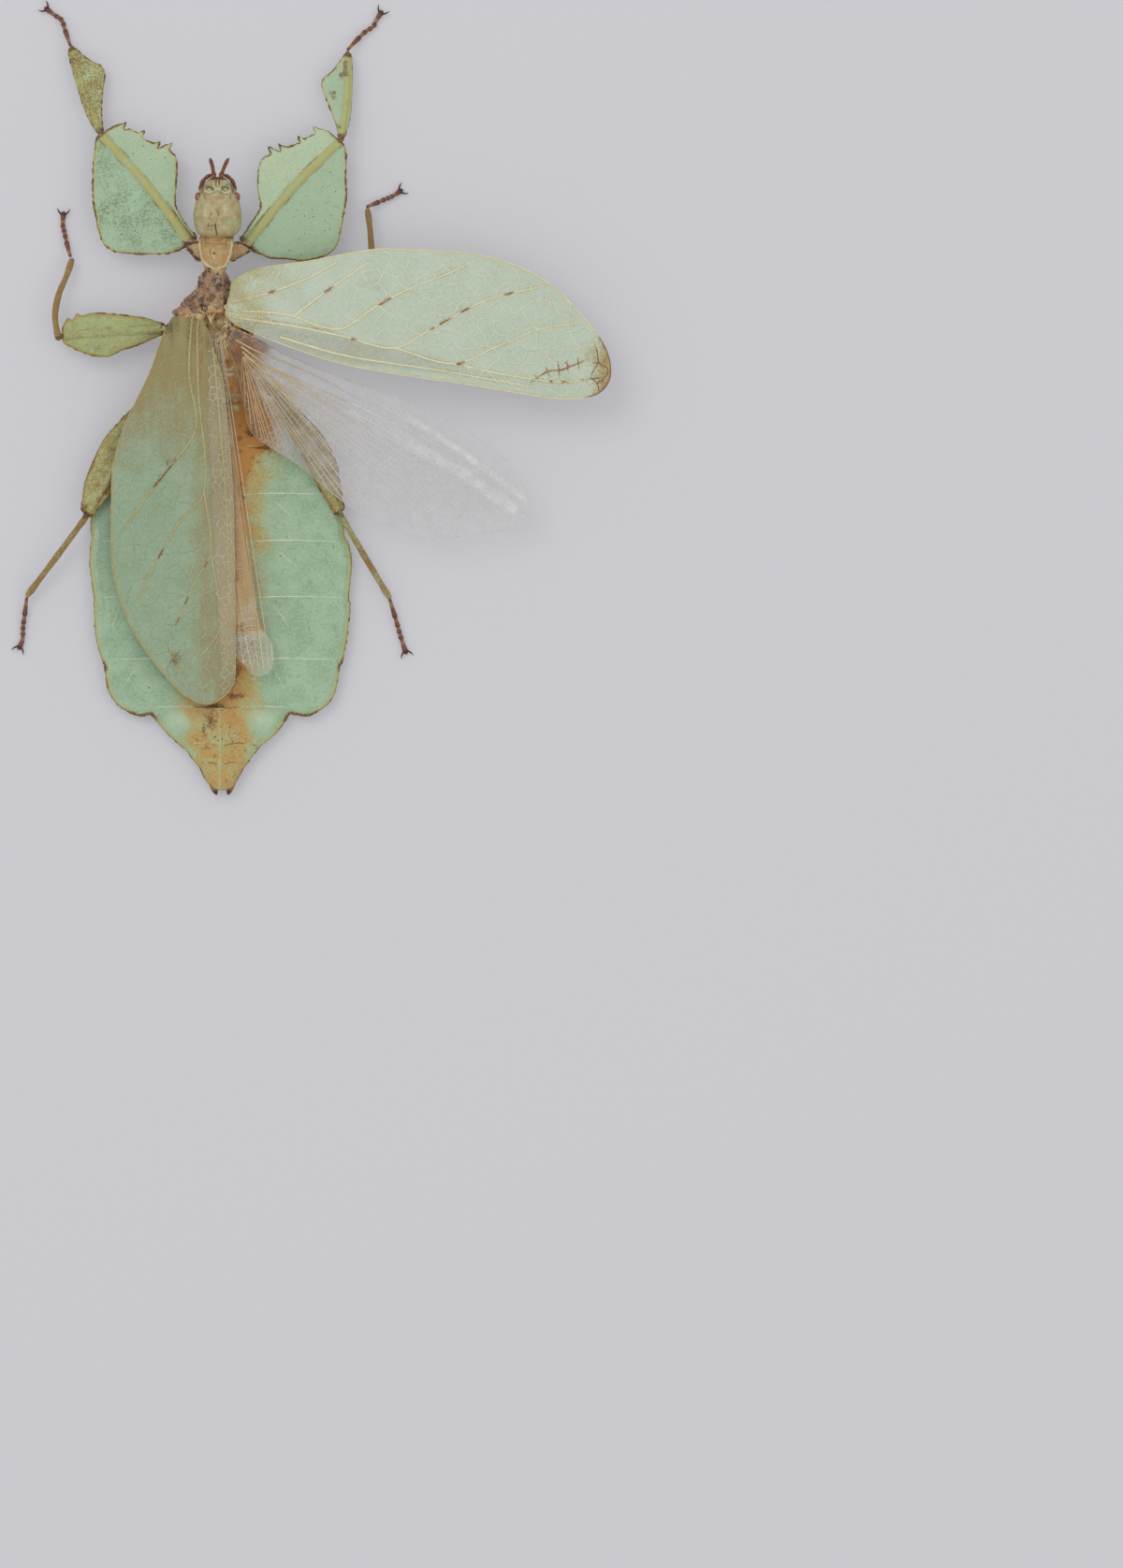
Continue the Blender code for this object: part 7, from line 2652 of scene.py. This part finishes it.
RIGHT_TEGMEN = FrontWing(
    node="tegmen_right",
    axis=Axis((-13.2, 15.3), (46.3, 5.5)),
    heights=(8.0, 8.5, 8.6, 8.3, 7.6),
    bend=(0.012, (4.0, 1.0), (3.0, 0.02)),
    veins=(
        ((-0.4, -0.9), (0.8, -1.4), (6.0, -0.8), (10.8, -0.7), (14.7, -1.5), (18.6, -1.3),
         (22.8, 2.6), (28.0, 6.6), (33.4, 9.8), (37.0, 12.4)),
        ((10.8, -0.7), (14.6, 3.4), (20.9, 9.5)),
        ((0.0, -1.9), (0.9, -2.3), (11.8, -2.2), (18.5, -2.5), (27.0, -3.0), (31.9, 0.7),
         (39.8, 6.6), (48.4, 10.3)),
        ((27.0, -3.0), (36.5, -3.9), (42.4, -0.3), (49.1, 3.7), (54.6, 5.5)),
        ((36.5, -3.9), (44.5, -4.3), (53.3, -4.0), (59.0, -2.4)),
        ((9.2, -4.2), (19.7, -5.4), (34.4, -5.3), (49.1, -5.5)),
        ((0.3, -0.4), (0.9, -0.2), (6.7, 2.4), (12.0, 5.5), (15.9, 8.5)),
    ),
    stains=(
        ((2.87, 16.78), 1.1),
        ((11.61, 15.04), 1.3),
        ((23.82, 13.86), 0.9),
        ((20.92, 11.73), 1.2),
        ((30.64, 16.27), 1.0),
        ((18.79, 10.76), 0.6),
        ((23.07, 5.9), 0.9),
        ((6.57, 9.28), 0.7),
        ((-5.9, 16.47), 0.9),
        ((37.4, 4.6), 0.9),
        ((39.4, 5.1), 1.3),
        ((41.6, 5.8), 1.2),
    ),
    marks=(
        (((33.94, 2.6), (36.67, 4.35), (38.61, 4.54), (42.49, 6.1)), 0.13),
        (((34.6, 3.9), (35.3, 2.7)), 0.08),
        (((36.3, 5.1), (36.9, 3.5)), 0.08),
        (((38.2, 5.9), (38.5, 3.4)), 0.1),
        (((39.6, 6.0), (39.8, 4.0)), 0.08),
        (((41.2, 6.8), (41.5, 4.6)), 0.08),
    ),
    seed=300,
    clear_between=(
        (0.0, 4.0, 10.0, 20.0, 30.0, 40.0, 50.0),
        (-2.6, -4.6, -5.9, -6.4, -6.0, -5.6, -5.6),
        (-2.4, -2.5, -2.6, -2.8, -3.4, -4.2, -4.4),
        (0.2, 0.7, 1.0, 1.0, 0.7, 0.3, 0.0),
    ),
)

LEFT_TEGMEN = FrontWing(
    node="tegmen_left",
    axis=Axis((-17.1, 13.4), (-16.1, -47.2)),
    heights=(7.95, 7.8, 7.3, 6.7, 6.25, 6.05, 5.95, 5.9, 5.9, 5.8, 5.7, 5.5, 5.2),
    bend=(0.0, (4.0, 1.0), (2.0, 0.005)),
    veins=(
        ((0.4, -1.0), (0.9, -1.3), (9.4, -1.9), (17.8, -1.0), (23.6, -5.0), (28.1, -8.7),
         (33.2, -12.2)),
        ((0.6, -0.2), (2.2, -0.5), (12.3, -0.5), (27.6, 0.1), (32.8, -4.2), (37.9, -7.2),
         (44.1, -10.5)),
        ((27.6, 0.1), (37.0, 1.0), (41.3, -1.4), (47.8, -4.4)),
        ((37.0, 1.0), (48.6, 2.2), (52.9, -0.5)),
        ((1.0, 1.0), (3.0, 1.6), (15.3, 2.6), (30.0, 3.5), (45.0, 3.6), (55.0, 3.2)),
    ),
    stains=(
        ((-21.75, -9.85), 1.4),
        ((-23.4, -12.4), 1.6),
        ((-23.17, -23.88), 1.0),
        ((-19.3, -31.0), 0.9),
        ((-16.46, -25.52), 0.7),
        ((-20.7, -34.5), 0.9),
    ),
    marks=(
        (((-16.1, 12.4), (-16.8, 9.6), (-16.9, 6.5), (-17.2, 2.5)), 0.07),
        (((-18.3, 11.6), (-18.9, 8.6), (-19.2, 5.0)), 0.07),
        (((-22.0, -38.6), (-21.0, -40.3), (-20.6, -42.4)), 0.12),
        (((-21.6, -39.5), (-20.2, -39.0)), 0.09),
        (((-21.3, -41.0), (-20.0, -41.6)), 0.09),
    ),
    is_folded=True,
    seed=400,
    clear_between=(
        (0.0, 8.0, 16.0, 30.0, 45.0, 58.0),
        (0.6, 1.0, 0.8, 1.2, 1.8, 2.0),
        (4.0, 4.0, 5.0, 5.4, 5.4, 5.4),
        (0.2, 0.6, 1.0, 1.0, 0.8, 0.3),
    ),
)


# ---- the stage ----


@dataclass
class Stage:
    """The pale floor, the soft light and the camera of the plate."""

    frame_middle: tuple[float, float] = (38.76, -59.5)
    frame_height: float = 243.0
    camera_height: float = 5000.0
    floor_colour: str = "#A8A7AB"
    floor_fleck: str = "#A5A4A9"
    glow_colour: str = "#CAC9CE"
    glow: float = 0.36

    def build(self) -> None:
        """Set up the floor, the lights and the camera."""
        bpy.ops.mesh.primitive_plane_add(size=30.0)
        floor = bpy.context.object
        floor.name = "floor"
        material = bpy.data.materials.new("matt_backing_board")
        material.use_nodes = True
        tree = material.node_tree
        shader = tree.nodes["Principled BSDF"]
        place = add(tree, "ShaderNodeTexCoord", {}).outputs["Object"]
        grain = add(tree, "ShaderNodeTexNoise", {"Vector": place, "Scale": 900.0, "Detail": 2.0})
        sockets = {
            MIX_FACTOR: grain.outputs["Fac"],
            MIX_FIRST: linear(self.floor_colour),
            MIX_SECOND: linear(self.floor_fleck),
        }
        board = add(tree, "ShaderNodeMix", sockets, data_type="RGBA")
        tree.links.new(board.outputs[MIX_RESULT], shader.inputs["Base Color"])
        shader.inputs["Roughness"].default_value = 0.9
        shader.inputs["Emission Color"].default_value = linear(self.glow_colour)
        shader.inputs["Emission Strength"].default_value = self.glow
        shader.inputs["Specular IOR Level"].default_value = 0.1
        floor.data.materials.append(material)
        self._light()
        self._camera()

    def _light(self) -> None:
        """An even sky with one broad lamp above the head end."""
        scene = bpy.context.scene
        scene.view_settings.view_transform = "Standard"
        world = bpy.data.worlds.new("soft_room")
        world.use_nodes = True
        scene.world = world
        background = world.node_tree.nodes["Background"]
        background.inputs["Color"].default_value = (1.0, 1.0, 1.0, 1.0)
        background.inputs["Strength"].default_value = 0.78
        for name, place, size, power in (
            ("key", (-0.45, 0.5, 0.9), 0.7, 2.9),
            ("fill", (0.6, -0.3, 0.8), 0.9, 0.9),
        ):
            data = bpy.data.lights.new(name, "AREA")
            data.shape = "DISK"
            data.size = size
            data.energy = power
            lamp = bpy.data.objects.new(name, data)
            lamp.location = place
            aim = Vector((0.0, 0.0, 0.0)) - Vector(place)
            lamp.rotation_mode = "QUATERNION"
            lamp.rotation_quaternion = aim.to_track_quat("-Z", "Y")
            scene.collection.objects.link(lamp)

    def _camera(self) -> None:
        """A long lens straight above the middle of the plate."""
        data = bpy.data.cameras.new("camera")
        data.sensor_fit = "AUTO"
        data.sensor_width = 36.0
        data.lens = data.sensor_width * self.camera_height / self.frame_height
        data.clip_start, data.clip_end = 0.01, 60.0
        camera = bpy.data.objects.new("camera", data)
        camera.location = tuple(v * MM for v in (*self.frame_middle, self.camera_height))
        bpy.context.scene.collection.objects.link(camera)
        bpy.context.scene.camera = camera


def dress_pin() -> None:
    """Give the pin its steel."""
    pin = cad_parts["stand_pin"]
    pin.data.materials.clear()
    pin.data.materials.append(material_of(Finish.STEEL))


def write_sizes() -> None:
    """Bring the scene's placements up to date."""
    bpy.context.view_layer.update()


def main() -> None:
    """Build the insect and its stage."""
    logging.basicConfig(level=logging.INFO, format="%(message)s")
    bpy.ops.object.select_all(action="DESELECT")
    Head().build()
    Thorax().build()
    Abdomen().build()
    for wing in (RIGHT_TEGMEN, LEFT_TEGMEN, SpreadHindWing(), FoldedHindWing()):
        wing.build()
    for leg in LEGS:
        leg.build()
    dress_pin()
    Stage().build()
    write_sizes()


if __name__ == "__main__":
    main()
